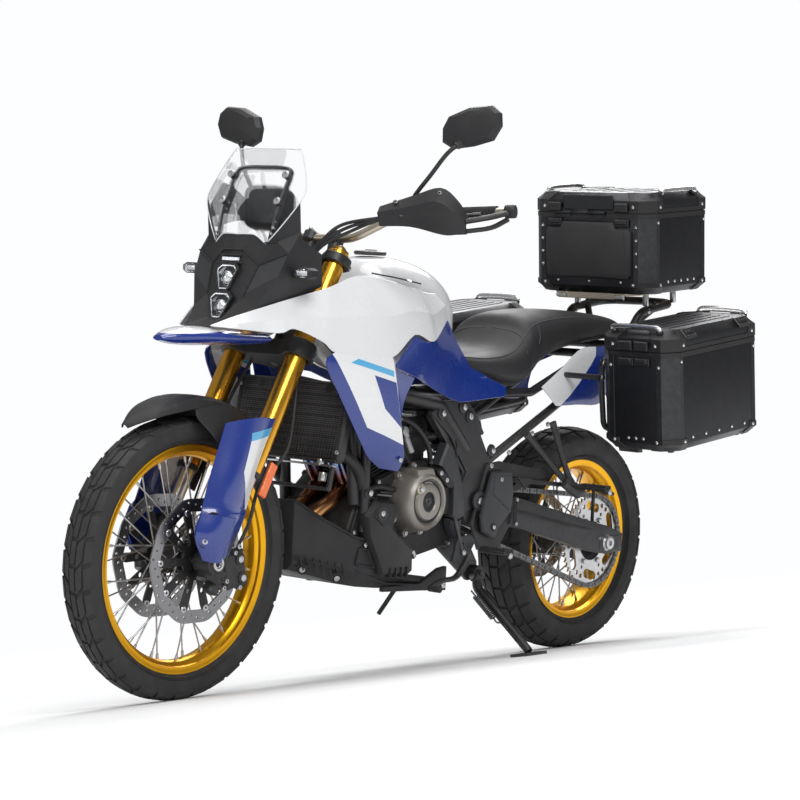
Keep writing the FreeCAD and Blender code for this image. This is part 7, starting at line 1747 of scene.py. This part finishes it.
for side in (1, -1):
    add(coreParts, 1, block(radMiddle + wayY * side * 183, (28, 16, 194), radWays, 5))
    add(coreParts, 3, bolt(radMiddle + wayY * side * 183 + radOut * 14 + radUp * 76, radOut, 6, 4),
        bolt(radMiddle + wayY * side * 183 + radOut * 14 - radUp * 76, radOut, 6, 4),
        barrel(radMiddle + wayY * side * 130 - radUp * 112 + radOut * 8,
                        radMiddle + wayY * side * 130 - radUp * 96 + radOut * 8, 9, 20, soft=1))
for z in (-97, 97):
    add(coreParts, 1, block(radMiddle + radUp * z, (28, 366, 8), radWays, 2.5))
add(coreParts, 3, block(radMiddle - radUp * 110 + radOut * 6, (18, 352, 4), radWays, 1.2))
add(coreParts, 1, block(radMiddle - radUp * 168 + radOut * 2, (12, 340, 9), radWays, 2))
addPair(coreParts, 1, block(radMiddle - radUp * 140 + wayY * 166, (12, 10, 66), radWays, 2))
add(coreParts, 3, barrel(radMiddle + wayY * 146 - radUp * 128 + radOut * 8,
                         radMiddle + wayY * 146 - radUp * 150 + radOut * 8, 10, 20, soft=2))
piece("radiatorCore", joined(*coreParts), "chassis", [radiatorCore, satinBlack, darkSteel, steel],
      angle=40, over=("radiator",))

# Skid plate trim: folded rims, window frames, ribs and recessed screws
skid = [(700, 120, 230, 254), (955, 142, 246, 290), (1030, 142, 254, 378), (1076, 138, 262, 388),
        (1150, 96, 284, 432), (1206, 48, 300, 478)]
skidParts = []
edge = [(x, half + 0.6, high) for x, half, low, high in skid]
addPair(skidParts, 0, tube(edge, 3.4, 10, 1, sharp=True))
crease = [(700, 121, 238), (955, 143, 262), (1062, 140, 300), (1150, 100, 318), (1206, 52, 332)]
addPair(skidParts, 0, tube(crease, 2.2, 8, 1, sharp=True))
window = [(1058, 358), (1026, 352), (1000, 306), (1070, 318)]
for index in range(4):
    (x1, z1), (x2, z2) = window[index], window[(index + 1) % 4]
    addPair(skidParts, 0, barrel((x1, 142, z1), (x2, 142, z2), 3.4, 8))
addPair(skidParts, 1, domed(window, ((138, 1.0), (141.6, 0.96))))
for k in range(7):
    x = 1090 + 17 * k
    half = 138 - (x - 1076) * 0.56 if x > 1076 else 138
    addPair(skidParts, 0, barrel((x, half + 1, 268 + (x - 1076) * 0.30), (x + 12, half - 6, 316 + (x - 1076) * 0.2),
                                 2.6, 8))
for place, way in (((1112, 116, 283), (0.5, 0.7, -0.4)), ((1188, 66, 304), (0.7, 0.6, -0.4))):
    addPair(skidParts, 1, turned([(-2, 13), (2, 15), (2.6, 11), (-1, 8)], place, 24, way=way))
    addPair(skidParts, 2, bolt(Vector(place) + Vector(way) * 1, way, 8, 4))
for x, z in ((716, 240), (1040, 366)):
    addPair(skidParts, 2, bolt((x, 120 + (x > 1000) * 23, z), wayY, 7, 5))
strut = [(690, 226), (690, 290), (720, 286), (800, 250), (948, 252), (948, 238), (800, 232)]
addPair(skidParts, 0, sidePlate(strut, 120, 134, [roundLoop(705, 242, 7, 16)]))
addPair(skidParts, 2, bolt((704, 134, 241), wayY, 9, 5))
add(skidParts, 1, barrel((873, 120, 250), (873, 60, 168), 6, 12))
piece("skidTrim", joined(*skidParts), "chassis", [moulded, cornerPlastic, steel], angle=34)
softCopy("skidShell", "skid_plate", "chassis", moulded, 2.0)

# Frame: eased beams with pivot plates, bolts, welds and the post ahead of the engine
softCopy("frameBeams", "frame", "chassis", frameCoat, 1.6)
softCopy("rearFrame", "subframe", "chassis", frameCoat, 1.2)
frameParts = []
beam = [(745, 734), (647, 733), (523, 543), (560, 468), (664, 413), (690, 440), (640, 540), (720, 640), (800, 700)]
addPair(frameParts, 0, sidePlate(beam, 128, 146, bevel=3))
upperSide = [(772, 565), (742, 622), (729, 618), (698, 566), (663, 477), (662, 423), (685, 413), (713, 425),
             (717, 510)]
addPair(frameParts, 1, domed(upperSide, ((130, 1.0), (156, 1.0), (163, 0.94), (165, 0.84))))
lowerSide = [(712, 420), (685, 410), (663, 420), (667, 382), (687, 368), (702, 390)]
addPair(frameParts, 1, domed(lowerSide, ((130, 1.0), (150, 1.0), (156, 0.9))))
addPair(frameParts, 0, tube([(1052, 140, 640), (1046, 138, 520), (1040, 136, 400)], 13, 16, 6))
for x, y, z in ((541, 146, 597), (948, 136, 580), (760, 146, 700), (672, 146, 715), (590, 150, 462), (1094, 122, 800),
                (1040, 146, 500)):
    size = 12 if (x, z) == (590, 462) else 9
    addPair(frameParts, 0, turned([(0, 3), (0, size + 8), (4, size + 7), (6, size + 2), (5, 3)], (x, y, z), 32))
    addPair(frameParts, 2, hexNut((x, y + 4, z), wayY, size, 7))
addPair(frameParts, 1, turned([(150, 4), (150, 26), (156, 27), (160, 22), (160, 16), (157, 14), (157, 4)],
                              (590, 0, 462), 40))
for z in (590, 566, 545):
    addPair(frameParts, 3, barrel((706, 158, z + 40), (700, 158, z + 20), 3.6, 8))
piece("framePlates", joined(*frameParts), "chassis", [frameCoat, mouldedFacet, steel, hoseRubber], angle=30)

# Ribbed grey side cover under the seat's front with one round bolt
sideCover = [(735, 736), (690, 742), (648, 735), (600, 690), (566, 640), (600, 628), (668, 668)]
ribParts = [marked(mirrored(domed(sideCover, ((118, 1.0), (138, 0.99), (144, 0.93), (145, 0.7)))), 0)]
for k in range(6):
    a, b = (712 - 24 * k, 733 - 11 * k), (688 - 22 * k, 690 - 10 * k)
    addPair(ribParts, 0, barrel((a[0], 144, a[1]), (b[0], 144, b[1]), 2.0, 8))
addPair(ribParts, 1, turned([(143, 4), (143, 18), (149, 17), (151, 12), (151, 4)], (640, 0, 690), 32))
addPair(ribParts, 2, bolt((640, 150, 690), wayY, 9, 4))
piece("sideCovers", joined(*ribParts), "chassis", [mouldedFacet, mouldedDeep, steel], angle=30)

# Fuel cap: a fixed ring with its screws, and the flap with its lock
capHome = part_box("fuel_cap")
capMiddle = bikeToRow.inverted() @ ((Vector(capHome[0]) + Vector(capHome[1])) / 2)
capTop = capMiddle + wayZ * 4
collar = [marked(turned([(0, 14), (0, 40), (4, 43), (9, 42), (11, 36), (8, 32), (8, 14)], capTop - wayZ * 6, 64,
                        way=wayZ), 0)]
capParts = [marked(turned([(6, 1), (6, 31), (10, 29), (12, 22), (12.5, 1)], capTop - wayZ * 6, 48, way=wayZ,
                          closed=False), 0),
            marked(block(capTop + wayZ * 7 - wayX * 4, (30, 18, 4), soft=1.5), 1)]
for k in range(6):
    a = radians(60 * k)
    add(collar, 2, bolt(capTop + Vector((cos(a) * 37, sin(a) * 37, 3)), wayZ, 3.6, 2.5))
piece("fuelCapCollar", joined(*collar), "chassis", [satinBlack, darkSteel, steel], angle=34)
piece("fuelCapFlap", joined(*capParts), "tank_cap", [satinBlack, darkSteel, steel], angle=34,
      over=("fuel_cap",))
print("engine ready")


# Cases: corner extrusions, guards, rivets, belts, latches, handles and feet on three metal boxes
caseEdge = finish("caseEdge", (0.028, 0.029, 0.032), (0.04, 0.041, 0.045), metallic=0.7, rough=(0.36, 0.48),
                  brushed=(900, 8), bump=0.08, dust=0.05, wear=0.1)
rivetSilver = finish("rivetSilver", (0.75, 0.75, 0.76), (0.85, 0.85, 0.86), metallic=1, rough=(0.2, 0.3), grain=900,
                     bump=0.03)
cases = {"top": {"x": -54.7, "z": 1261.2, "pitch": 5.6, "length": 321.7, "inner": -209.8, "outer": 209.8,
                 "depth": 232, "corner": 38.6, "lid": 58, "bodies": ("chassis", "top_lid"),
                 "latches": [("front", -118), ("front", 118)], "handles": [("side", 1), ("side", -1)], "pad": True},
         "left": {"x": 259.1, "z": 880.1, "pitch": 7.49, "length": 444.7, "inner": 280.4, "outer": 523.4,
                  "depth": 272, "corner": 37.3, "lid": 58, "bodies": ("chassis", "left_lid"),
                  "latches": [("front", 376), ("front", 428)], "handles": [("front", 1), ("back", 1)], "pad": False}}
cases["right"] = dict(cases["left"], bodies=("chassis", "right_lid"), flip=True)
caseTrim = {"edge": 22, "bottomEdge": 20, "flange": 15, "guardFlange": 30}


def caseLine(case, corner, flange, lift, inset=0.0):
    # Places across one upright corner of a case: flange, cut corner, flange; corner is (front or back, in or out).
    front, out = corner
    x0 = (0 if front > 0 else -case["length"]) + front * (lift - inset)
    y0 = (case["outer"] if out > 0 else case["inner"]) + out * (lift - inset)
    cut = case["corner"]
    return [(x0, y0 - out * (cut + flange)), (x0, y0 - out * cut), (x0 - front * cut, y0),
            (x0 - front * (cut + flange), y0)]


def cornerPiece(case, corner, rows, flange, lift, thick):
    # A folded sheet round an upright corner through rows of (z, inset), closed on itself with its thickness.
    outside = [[Vector((x, y, z)) for x, y in caseLine(case, corner, flange, lift, inset)] for z, inset in rows]
    inside = [[Vector((x, y, z)) for x, y in caseLine(case, corner, flange, lift - thick, inset)]
              for z, inset in rows]
    rings = [out + back[::-1] for out, back in zip(outside, inside)]
    return skin(rings)


def caseRing(case, z, lift):
    # A ring round a case at one height.
    ring = []
    for corner in ((1, -1), (1, 1), (-1, 1), (-1, -1)):
        line = caseLine(case, corner, 0, lift)[1:3]
        ring.extend(line if corner[0] * corner[1] > 0 else line[::-1])
    return [Vector((x, y, z)) for x, y in ring]


def rivet(place, way, radius=4.6):
    # A domed rivet head.
    return turned([(0, radius), (1.2, radius * 0.94), (2.4, radius * 0.6), (2.9, 0.4)], place, 14, way=way,
                  closed=False)


def latch(place, way, across):
    # A lever catch over the seam, with three slots across.
    way, across = Vector(way), Vector(across)
    ways = (way, across, wayZ)
    lower = [marked(block(place + way * 3 - wayZ * 26, (7, 50, 22), ways, 2.5), 0),
             marked(block(place + way * 7 - wayZ * 23, (8, 40, 15), ways, 3), 0)]
    upper = [marked(block(place + way * 5 + wayZ * 18, (11, 46, 26), ways, 3), 0)]
    for k in (-1, 0, 1):
        add(upper, 1, block(place + way * 10.8 + across * 12 * k + wayZ * 18, (1.2, 7, 3), ways, 0.5))
        add(lower, 1, block(place + way * 11.2 + across * 12 * k - wayZ * 23, (1.2, 6, 3), ways, 0.5))
    return lower, upper


def liftHandle(start, end, way):
    # A bent flat bar on two feet.
    start, end, way = Vector(start), Vector(end), Vector(way)
    run = (end - start).normalized()
    path = [start, start + run * 12 + way * 13, end - run * 12 + way * 13, end]
    parts = [marked(tube(path, 5.4, 12, 5, flat=1.7), 2)]
    for foot in (start, end):
        add(parts, 0, barrel(foot - way * 4, foot + way * 4, 10, 20, soft=2))
        add(parts, 2, bolt(foot + way * 3, way, 5, 5))
    return parts


def dressCase(label, case):
    # All trim of one case: what stays on the box and what rides with the lid.
    depth, lid, length, edge = case["depth"], case["lid"], case["length"], caseTrim["edge"]
    box, cover = [], []
    corners = [(1, 1), (1, -1), (-1, 1), (-1, -1)]
    for corner in corners:
        strip = cornerPiece(case, corner, [(-depth + caseTrim["bottomEdge"] + 2, 0), (-15, 0)], caseTrim["flange"],
                            1.1, 1.5)
        add(box, 1, strip)
        low = cornerPiece(case, corner,
                          [(-depth - 0.8, caseTrim["bottomEdge"] - 1), (-depth + caseTrim["bottomEdge"], 0),
                           (-depth + 34, 0)], caseTrim["guardFlange"], 3.0, 2.6)
        add(box, 0, low)
        high = cornerPiece(case, corner, [(3, 0), (lid - edge, 0), (lid + 1.5, edge)], caseTrim["guardFlange"], 3.0,
                           2.6)
        add(cover, 0, high)
        front, out = corner
        line = caseLine(case, corner, caseTrim["flange"] * 0.5, 1.6)
        count = 4 if label == "top" else 2
        for k in range(count):
            z = -40 - (depth - 120) * k / max(1, count - 1)
            if label == "top" or k == 0:
                add(box, 2, rivet(Vector((line[0][0], line[0][1], z)), (front, 0, 0)))
            if k == 0:
                add(box, 2, rivet(Vector((line[3][0], line[3][1], z + 14)), (0, out, 0)))
        guard = caseLine(case, corner, caseTrim["guardFlange"] * 0.6, 3.2)
        for z, into in ((-depth + 27, box), (18, cover)):
            add(into, 2, rivet(Vector((guard[0][0], guard[0][1], z)), (front, 0, 0), 5),
                rivet(Vector((guard[3][0], guard[3][1], z)), (0, out, 0), 5))
    for z1, z2, into in ((-15, -1.2, box), (1.2, 13, cover)):
        add(into, 0,
            skin([caseRing(case, z1, 0.2), caseRing(case, z1, 2.2), caseRing(case, z2, 2.2), caseRing(case, z2, 0.2)],
                 caps=False))
    # Rivet rows along the lower edges and feet
    for y, way in ((case["outer"] + 0.9, wayY), (case["inner"] - 0.9, -wayY)):
        for k in range(5):
            x = -case["corner"] - 56 - (length - 2 * case["corner"] - 112) * k / 4
            add(box, 2, rivet(Vector((x, y, -depth + 34)), way))
    for x, way in ((0.9, wayX), (-length - 0.9, -wayX)):
        for k in range(3):
            room = case["outer"] - case["inner"] - 2 * case["corner"] - 120
            y = case["inner"] + case["corner"] + 60 + room * k / 2
            add(box, 2, rivet(Vector((x, y, -depth + 34)), way))
    middle = (case["inner"] + case["outer"]) / 2
    if label != "top":
        for x in (-60, 60 - length):
            for y in (case["inner"] + 50, case["outer"] - 50):
                add(box, 0, barrel((x, y, -depth - 9), (x, y, -depth + 1), 9, 20, soft=2))
    for side, place in case["latches"]:
        lower, upper = latch(Vector((2, place, -2)), wayX, wayY)
        box.extend(lower)
        cover.extend(upper)
    for k in (-1, 1):
        loop = Vector((-length / 2 + k * length * 0.3, case["outer"] - 6, lid - 12))
        tilt = (Vector((0, 0.7, 0.7)), wayX, Vector((0, -0.7, 0.7)))
        if label != "top":
            add(cover, 0, block(loop, (9, 56, 34), tilt, 3))
            add(cover, 1, block(loop + tilt[0] * 5, (3, 34, 9), tilt, 1))
            add(cover, 0, block(loop + tilt[0] * 5 - tilt[2] * 13, (5, 46, 5), tilt, 1.5))
    # Raised ribs pressed into the lid
    for k in range(-2, 3):
        y = middle + k * (case["outer"] - case["inner"]) * 0.13
        add(cover, 3, block((-length / 2, y, lid + 0.4), (length - 150, 12, 2.4), soft=1.1))
    for side, sign in case["handles"]:
        if side == "side":
            y = sign * (case["outer"] - 14)
            cover.extend(liftHandle((-length / 2 + 82, y, lid - 4), (-length / 2 - 82, y, lid - 4),
                                    (0, sign * 0.5, 0.86)))
        else:
            x = -14 if side == "front" else 14 - length
            cover.extend(liftHandle((x, middle - 74, lid - 4), (x, middle + 74, lid - 4),
                                    (0.5 if side == "front" else -0.5, 0, 0.86)))
    if case["pad"]:
        outline = [(-142, -44), (-150, -56), (-150, -176), (-138, -188), (138, -188), (150, -176), (150, -56),
                   (142, -44),
                   (98, -44), (88, -26), (-88, -26), (-98, -44)]
        rings = []
        for scale, out in ((1.0, 0.5), (1.0, 8), (0.955, 15), (0.9, 17.5)):
            rings.append([Vector((out, y * scale, (z + 112) * scale - 112)) for y, z in outline])
        add(box, 4, skin(rings))
        add(cover, 3, block((2.5, 0, 30), (7, 176, 44), soft=3))
    place = Matrix.Translation(Vector((case["x"], 0, case["z"]))) @ Matrix.Rotation(radians(case["pitch"]), 4, "Y")
    if case.get("flip"):
        place = Matrix.Scale(-1, 4, wayY) @ place
    finishesUsed = [cornerPlastic, caseEdge, rivetSilver, caseBlack, gripRubber]
    for name, parts, body in (("CaseTrim", box, case["bodies"][0]), ("LidTrim", cover, case["bodies"][1])):
        shape = moved(joined(*parts), place)
        if case.get("flip"):
            shape = (shape[0], [tuple(reversed(face)) for face in shape[1]], shape[2])
        piece(label + name, shape, body, finishesUsed, angle=32)


for label, case in cases.items():
    dressCase(label, case)

# The slotted plate under the top case, on four posts
plateShape = {"length": 321.7, "half": 150, "thick": 6, "top": -232.3}
lay = Matrix.Translation(Vector((-54.7, 0, 1261.2))) @ Matrix.Rotation(radians(5.6), 4, "Y")
middle = -plateShape["length"] / 2
outline = [(-6, -120), (-6, 120), (-40, 150), (-282, 150), (-316, 120), (-316, -120), (-282, -150), (-40, -150)]
holes = [slotLoop(middle + k * 62, j * 66, 74, 15, 90) for k in (-2, -1, 0, 1, 2) for j in (-1, 1)]
holes += [slotLoop(middle + k * 92, 0, 60, 22, 0) for k in (-1, 0, 1)]
holes += [roundLoop(-22, y, 5, 12) for y in (-100, -50, 50, 100)]
platePlace = lay @ Matrix.Translation(Vector((0, 0, plateShape["top"] - plateShape["thick"] / 2)))
plateParts = [marked(plate(outline, holes, plateShape["thick"] - 0.6, platePlace, bevel=0.8), 0)]
for x in (-110, -250):
    for y in (-122, 122):
        add(plateParts, 1, moved(barrel((x, y, plateShape["top"] - 42), (x, y, plateShape["top"] - 5), 9, 20, soft=1),
                                 lay), moved(bolt((x, y, plateShape["top"] - 1.5), wayZ, 8, 2.2), lay))
add(plateParts, 0, moved(block((-8, 0, plateShape["top"] - 10), (5, 236, 17), soft=2), lay))
for y in (-104, 104):
    add(plateParts, 1, moved(block((-3, y, plateShape["top"] - 10), (9, 34, 12), soft=3), lay))
piece("carrierPlate", joined(*plateParts), "chassis", [champagne, steel], angle=35,
      over=("case_plate",))
print("cases ready")


# Swingarm with its cover, axle blocks and clamp; chain guard
softCopy("swingArmBeams", "swingarm", "chassis", armCoat, 2.2)
softCopy("chainGuardRail", "chain_guard", "chassis", moulded, 1.0)
guardPlate = [(504, 560), (470, 564), (256, 532), (226, 518), (286, 506), (330, 500), (380, 480), (446, 474),
              (470, 520)]
piece("chainGuardPlate", sidePlate(guardPlate, 118, 124, [[(447, 522), (372, 514), (405, 492)]], bevel=1.5),
      "chassis", moulded, angle=30)
armCover = [(558, 541), (474, 542), (462, 486), (470, 430), (524, 388), (537, 358), (590, 380), (600, 421),
            (581, 476)]
armParts = [marked(mirrored(domed(armCover, ((163, 1.0), (168, 1.0), (173, 0.95), (174, 0.86)))), 0),
            marked(mirrored(domed([(556, 534), (560, 480), (480, 430), (470, 470), (484, 534)],
                                  ((172, 0.96), (176, 0.9), (176.6, 0.8)))), 0)]
for x, z in ((524, 520), (548, 392)):
    addPair(armParts, 1, turned([(172, 3), (172, 12), (176, 11), (176, 3)], (x, 0, z), 28))
    addPair(armParts, 2, bolt((x, 174, z), wayY, 6, 4))
for x in (448, 440):
    addPair(armParts, 1, block((x, 166, 430), (6, 6, 78), soft=2))
for z in (396, 462):
    addPair(armParts, 2, bolt((444, 168, z), wayY, 5, 5))
addPair(armParts, 1, domed([(440, 522), (368, 516), (402, 486)], ((163, 1.0), (165.4, 0.95))))
for x, half in ((0, 30), (-20, 30)):
    addPair(armParts, 2, turned([(164, 4), (164, 20 if x else 24), (170, 19), (171, 12), (171, 4)], (x / 4, 0, 321),
                                6 if x else 40))
addPair(armParts, 0, block((-10, 160, 321), (96, 12, 44), soft=3))
for k in range(5):
    addPair(armParts, 2, block((20 + 6 * k, 167, 336), (1.4, 1.2, 9 if k % 2 else 6), soft=0.3))
for z in (310, 332):
    addPair(armParts, 2, barrel((-52, 150, z), (-86, 150, z), 4, 12))
addPair(armParts, 2, hexNut((-76, 150, 321), wayX, 9, 8))
addPair(armParts, 3, block((-78, 148, 321), (6, 22, 46), soft=2))
addPair(armParts, 1, tube([(500, 166, 436), (380, 165, 420), (200, 163, 384), (40, 160, 356)], 3.2, 8, 6))
piece("armTrim", joined(*armParts), "chassis", [mouldedFacet, mouldedDeep, steel, silver], angle=30)

# Chain: links along two straight runs and two arcs; each sprocket is (x, z, pitch radius)
drive, driven = (737, 471, 40.7), (0, 321, 128.9)
apart = Vector((drive[0] - driven[0], 0, drive[1] - driven[1]))
lean = asin((driven[2] - drive[2]) / apart.length)
heading = atan2(apart.z, apart.x)
upperTurn, lowerTurn = heading + pi / 2 - lean, heading - pi / 2 + lean
runLength = sqrt(apart.length ** 2 - (driven[2] - drive[2]) ** 2)
backArc = 2 * pi - (upperTurn - lowerTurn)
stretches = [runLength, drive[2] * (upperTurn - lowerTurn), runLength, driven[2] * backArc]
linkCount = 2 * round(sum(stretches) / sprocket["pitch"] / 2)


def chainPlace(along):
    # A point and heading on the chain's loop.
    for index, stretch in enumerate(stretches):
        if along <= stretch:
            break
        along -= stretch
    share = along / stretch
    rim = lambda wheel, a: Vector((wheel[0] + cos(a) * wheel[2], sprocket["line"], wheel[1] + sin(a) * wheel[2]))
    if index == 0:
        return rim(driven, upperTurn).lerp(rim(drive, upperTurn), share)
    if index == 1:
        return rim(drive, upperTurn - (upperTurn - lowerTurn) * share)
    if index == 2:
        return rim(drive, lowerTurn).lerp(rim(driven, lowerTurn), share)
    return rim(driven, lowerTurn - backArc * share)


chainParts = []
places = [chainPlace(sum(stretches) * k / linkCount) for k in range(linkCount)]
for k, place in enumerate(places):
    following = places[(k + 1) % linkCount]
    run = (following - place).normalized()
    rise = Vector((-run.z, 0, run.x))
    for side in (1, -1):
        y = side * (8.6 if k % 2 else 6.2)
        ring = []
        for end, first in ((following, -75), (place, 105)):
            for j in range(5):
                a = radians(first + 37.5 * j)
                ring.append(end + (run * cos(a) + rise * sin(a)) * 7.2)
        outer = [p + wayY * (y + side) for p in ring]
        inner = [p + wayY * (y - side) for p in ring]
        add(chainParts, k % 2, skin([inner, outer] if side > 0 else [outer, inner]))
    add(chainParts, 1, barrel(place - wayY * 11, place + wayY * 11, 2.9, 8))
    add(chainParts, 0, barrel(place - wayY * 5, place + wayY * 5, 4.9, 8))
piece("chainLinks", joined(*chainParts), "chassis", [chainSteel, darkSteel], angle=40, over=("chain",))

# Shock: coil over a damper with its reservoir
shockLow, shockHigh = Vector((462, 0, 450)), Vector((640, 0, 690))
shockWay = (shockHigh - shockLow).normalized()
sideA = wayY
sideB = shockWay.cross(sideA)
length = (shockHigh - shockLow).length
coil = [shockLow + shockWay * (50 + (length - 110) * k / 84)
        + (sideA * cos(k * pi / 6) + sideB * sin(k * pi / 6)) * 30
        for k in range(85)]
shockParts = [marked(tube(coil, 6, 10, 2), 0), marked(barrel(shockLow, shockLow + shockWay * 90, 16, 28, soft=2), 1),
              marked(barrel(shockLow + shockWay * 80, shockHigh, 21, 28, soft=2), 2),
              marked(turned([(-5, 16), (-5, 37), (3, 38), (5, 34), (5, 16)], shockLow + shockWay * 46, 40,
                            way=shockWay), 1),
              marked(turned([(-5, 16), (-5, 37), (3, 38), (5, 34), (5, 16)], shockHigh - shockWay * 56, 40,
                            way=shockWay), 1),
              marked(barrel(shockLow - wayY * 26, shockLow + wayY * 26, 17, 28, soft=2), 2),
              marked(barrel(shockHigh - wayY * 26, shockHigh + wayY * 26, 17, 28, soft=2), 2)]
springCoat = finish("springCoat", (0.20, 0.2, 0.21), (0.26, 0.26, 0.27), metallic=0.5, rough=(0.3, 0.42), grain=500,
                    bump=0.06)
piece("shockCoil", joined(*shockParts), "chassis", [springCoat, steel, satinBlack], angle=40,
      over=("rear_shock",))
softCopy("rearCaliperBody", "rear_caliper", "chassis", satinBlack, 1.6)

# Side stand: tube leg with a spring, foot with a rounded pad
standParts = []
standLeg = [Vector((508, 94, 250)), Vector((508, 100, 215)), Vector((515, 286, 72))]
add(standParts, 0, tube([standLeg[0], standLeg[0].lerp(standLeg[1], 0.7), standLeg[1].lerp(standLeg[2], 0.08),
                         standLeg[1].lerp(standLeg[2], 0.5), standLeg[2]], [13, 13, 12.5, 12, 11.5], 20, 6))
legRun = (standLeg[2] - standLeg[1]).normalized()
base = standLeg[1] + legRun * 20 + Vector((26, 0, -6))
spring = [base + legRun * (0.92 * k) + (wayX * cos(k * pi / 3) + legRun.cross(wayX) * sin(k * pi / 3)) * 8
          for k in range(91)]
add(standParts, 1, tube(spring, 2.2, 8, 2), tube([base - legRun * 22, base], 2.4, 8, 2),
    tube([base + legRun * 83, base + legRun * 100, base + legRun * 104 - Vector((22, 0, -2))], 2.6, 8, 4))
add(standParts, 0, barrel(standLeg[0] - wayX * 17, standLeg[0] + wayX * 17, 17, 28, soft=3))
add(standParts, 1, hexNut(standLeg[0] + wayX * 16, wayX, 10, 8))
piece("standSpring", joined(*standParts), "stand", [satinBlack, darkSteel], angle=40)
softCopy("standLeg", "side_stand", "stand", frameCoat, 1.4)

# Hangers, pegs and shifter
pegParts = []
riderHanger = [(560, 560), (500, 545), (430, 420), (500, 330), (585, 330), (620, 400)]
addPair(pegParts, 1, sidePlate(riderHanger, 146, 156, [slotLoop(520, 470, 60, 22, 60)], bevel=2))
for path in ([(392, 150, 640), (300, 152, 572), (214, 152, 512), (150, 154, 484)],
             [(272, 150, 668), (236, 152, 596), (196, 154, 524), (168, 154, 492)]):
    addPair(pegParts, 1, tube(path, [12, 10, 10, 12], 16, 6, flat=0.7))
addPair(pegParts, 1, tube([(214, 158, 500), (150, 158, 470), (120, 158, 476)], [16, 17, 12], 14, 5, flat=0.6))
for x, z, first, last in ((586, 326, 170, 262), (130, 478, 160, 252)):
    for k in range(9):
        y = first + (last - first) * (k + 0.5) / 9
        addPair(pegParts, 0, block((x, y, z + 13), (34 if x > 300 else 28, 4, 9), soft=1))
    addPair(pegParts, 1, block((x, (first + last) / 2, z + 6), (40 if x > 300 else 30, last - first, 10), soft=3))
    addPair(pegParts, 2, hexNut((x, last, z), wayY, 9, 5))
add(pegParts, 1, tube([(640, 168, 318), (700, 176, 268), (770, 184, 262), (826, 188, 246)], 7, 14, 6, flat=1.5))
add(pegParts, 0, barrel((826, 186, 246), (826, 226, 246), 8, 16, soft=2))
add(pegParts, 1, barrel((668, 168, 330), (700, 158, 430), 5, 12))
addPair(pegParts, 2, hexNut((668, 168, 330), wayY, 8, 6))
add(pegParts, 1,
    moved(joined(tube([(640, 168, 318), (700, 176, 268), (780, 184, 250), (840, 188, 262)], 7, 14, 6, flat=1.5),
                 block((846, 200, 264), (20, 34, 12), soft=3)), Matrix.Scale(-1, 4, wayY)))
for x, z in ((545, 556), (520, 532), (370, 640), (300, 664), (470, 590)):
    addPair(pegParts, 2, bolt((x, 152, z), wayY, 7, 5))
hanger = [(680, 372), (634, 374), (612, 356), (650, 306), (706, 308), (690, 358)]
addPair(pegParts, 4, sidePlate(hanger, 156, 166, [roundLoop(668, 350, 7, 16)], bevel=1.5))
piece("pegTrim", joined(*pegParts), "chassis", [gripRubber, satinBlack, steel, silver, mouldedFacet],
      angle=36, over=("footpegs",))

# Tail: lamp, plate holder and rear mudguard, and the four signals
softCopy("rearMudguard", "rear_fender", "chassis", mouldedDeep, 1.2)
tailParts = []
signals = {"front": (1362, 190, 1050), "rear": (-262, 128, 742)}
signalLoop = [(-30, -10), (-30, 12), (-20, 22), (16, 22), (30, 12), (30, -12), (16, -22), (-20, -22)]
for label, (x, y, z) in signals.items():
    ahead = 1 if label == "front" else -1
    centre = Vector((x, y, z))
    for mark, steps in ((0, ((0.72, -24), (0.96, -14), (1.0, 0), (1.0, 12), (0.86, 17))),
                        (1, ((0.8, 14), (0.78, 20), (0.6, 23), (0.2, 24)))):
        addPair(tailParts, mark, skin([[centre + Vector((ahead * out, y2 * scale * 0.95, z2 * scale * 0.62))
                                        for y2, z2 in signalLoop] for scale, out in steps]))
    addPair(tailParts, 2, block(centre + Vector((ahead * 16.5, 0, 0)), (3, 34, 13), soft=1.4))
    addPair(tailParts, 0,
            tube([(x - ahead * 4, 118 if ahead > 0 else 40, z - 4), (x - ahead * 4, 150 if ahead > 0 else 76, z - 3),
                  (x - ahead * 4, y - 22, z)], [11, 9, 8], 18, 6))
add(tailParts, 3, block((-186, 0, 872), (26, 112, 28), soft=5))
add(tailParts, 0, block((-176, 0, 872), (30, 120, 36), soft=6),
    block((-338, 0, 648), (5, 130, 84), (Vector((0.94, 0, 0.34)), wayY, Vector((-0.34, 0, 0.94))), 2))
add(tailParts, 1, block((-300, 0, 688), (24, 60, 14), soft=4))
piece("signalsAndTail", joined(*tailParts), "chassis", [mouldedDeep, lensClear, reflector, redLens], angle=32,
      over=("signal_lights",))

# Racks: carrier, grab rails, hoops and their fixings
softCopy("rearCarrier", "rear_rack", "chassis", satinBlack, 1.0)
softCopy("sideHoops", "pannier_racks", "chassis", satinBlack, 1.0)
rackParts = []
for x, y, z in ((-118, 108, 896), (-190, 128, 984), (-240, 122, 1000), (60, 124, 862), (210, 262, 800),
                (206, 262, 840), (-120, 262, 890), (-146, 262, 720)):
    addPair(rackParts, 0, hexNut((x, y, z), wayY, 8, 9))
    addPair(rackParts, 1, turned([(-2, 4), (-2, 13), (1, 13), (1, 4)], (x, y, z), 24))
piece("rackFixings", joined(*rackParts), "chassis", [steel, satinBlack], angle=36)

for label, body in (("top_case", "chassis"), ("top_case_lid", "top_lid"), ("left_case", "chassis"),
                    ("left_case_lid", "left_lid"), ("right_case", "chassis"), ("right_case_lid", "right_lid")):
    softCopy(label + "Shell", label, body, caseBlack, 1.6)
softCopy("frontAxleBar", "front_axle", "fork", steel, 0.6)
softCopy("rearAxleBar", "rear_axle", "chassis", steel, 0.6)
print("rear ready")
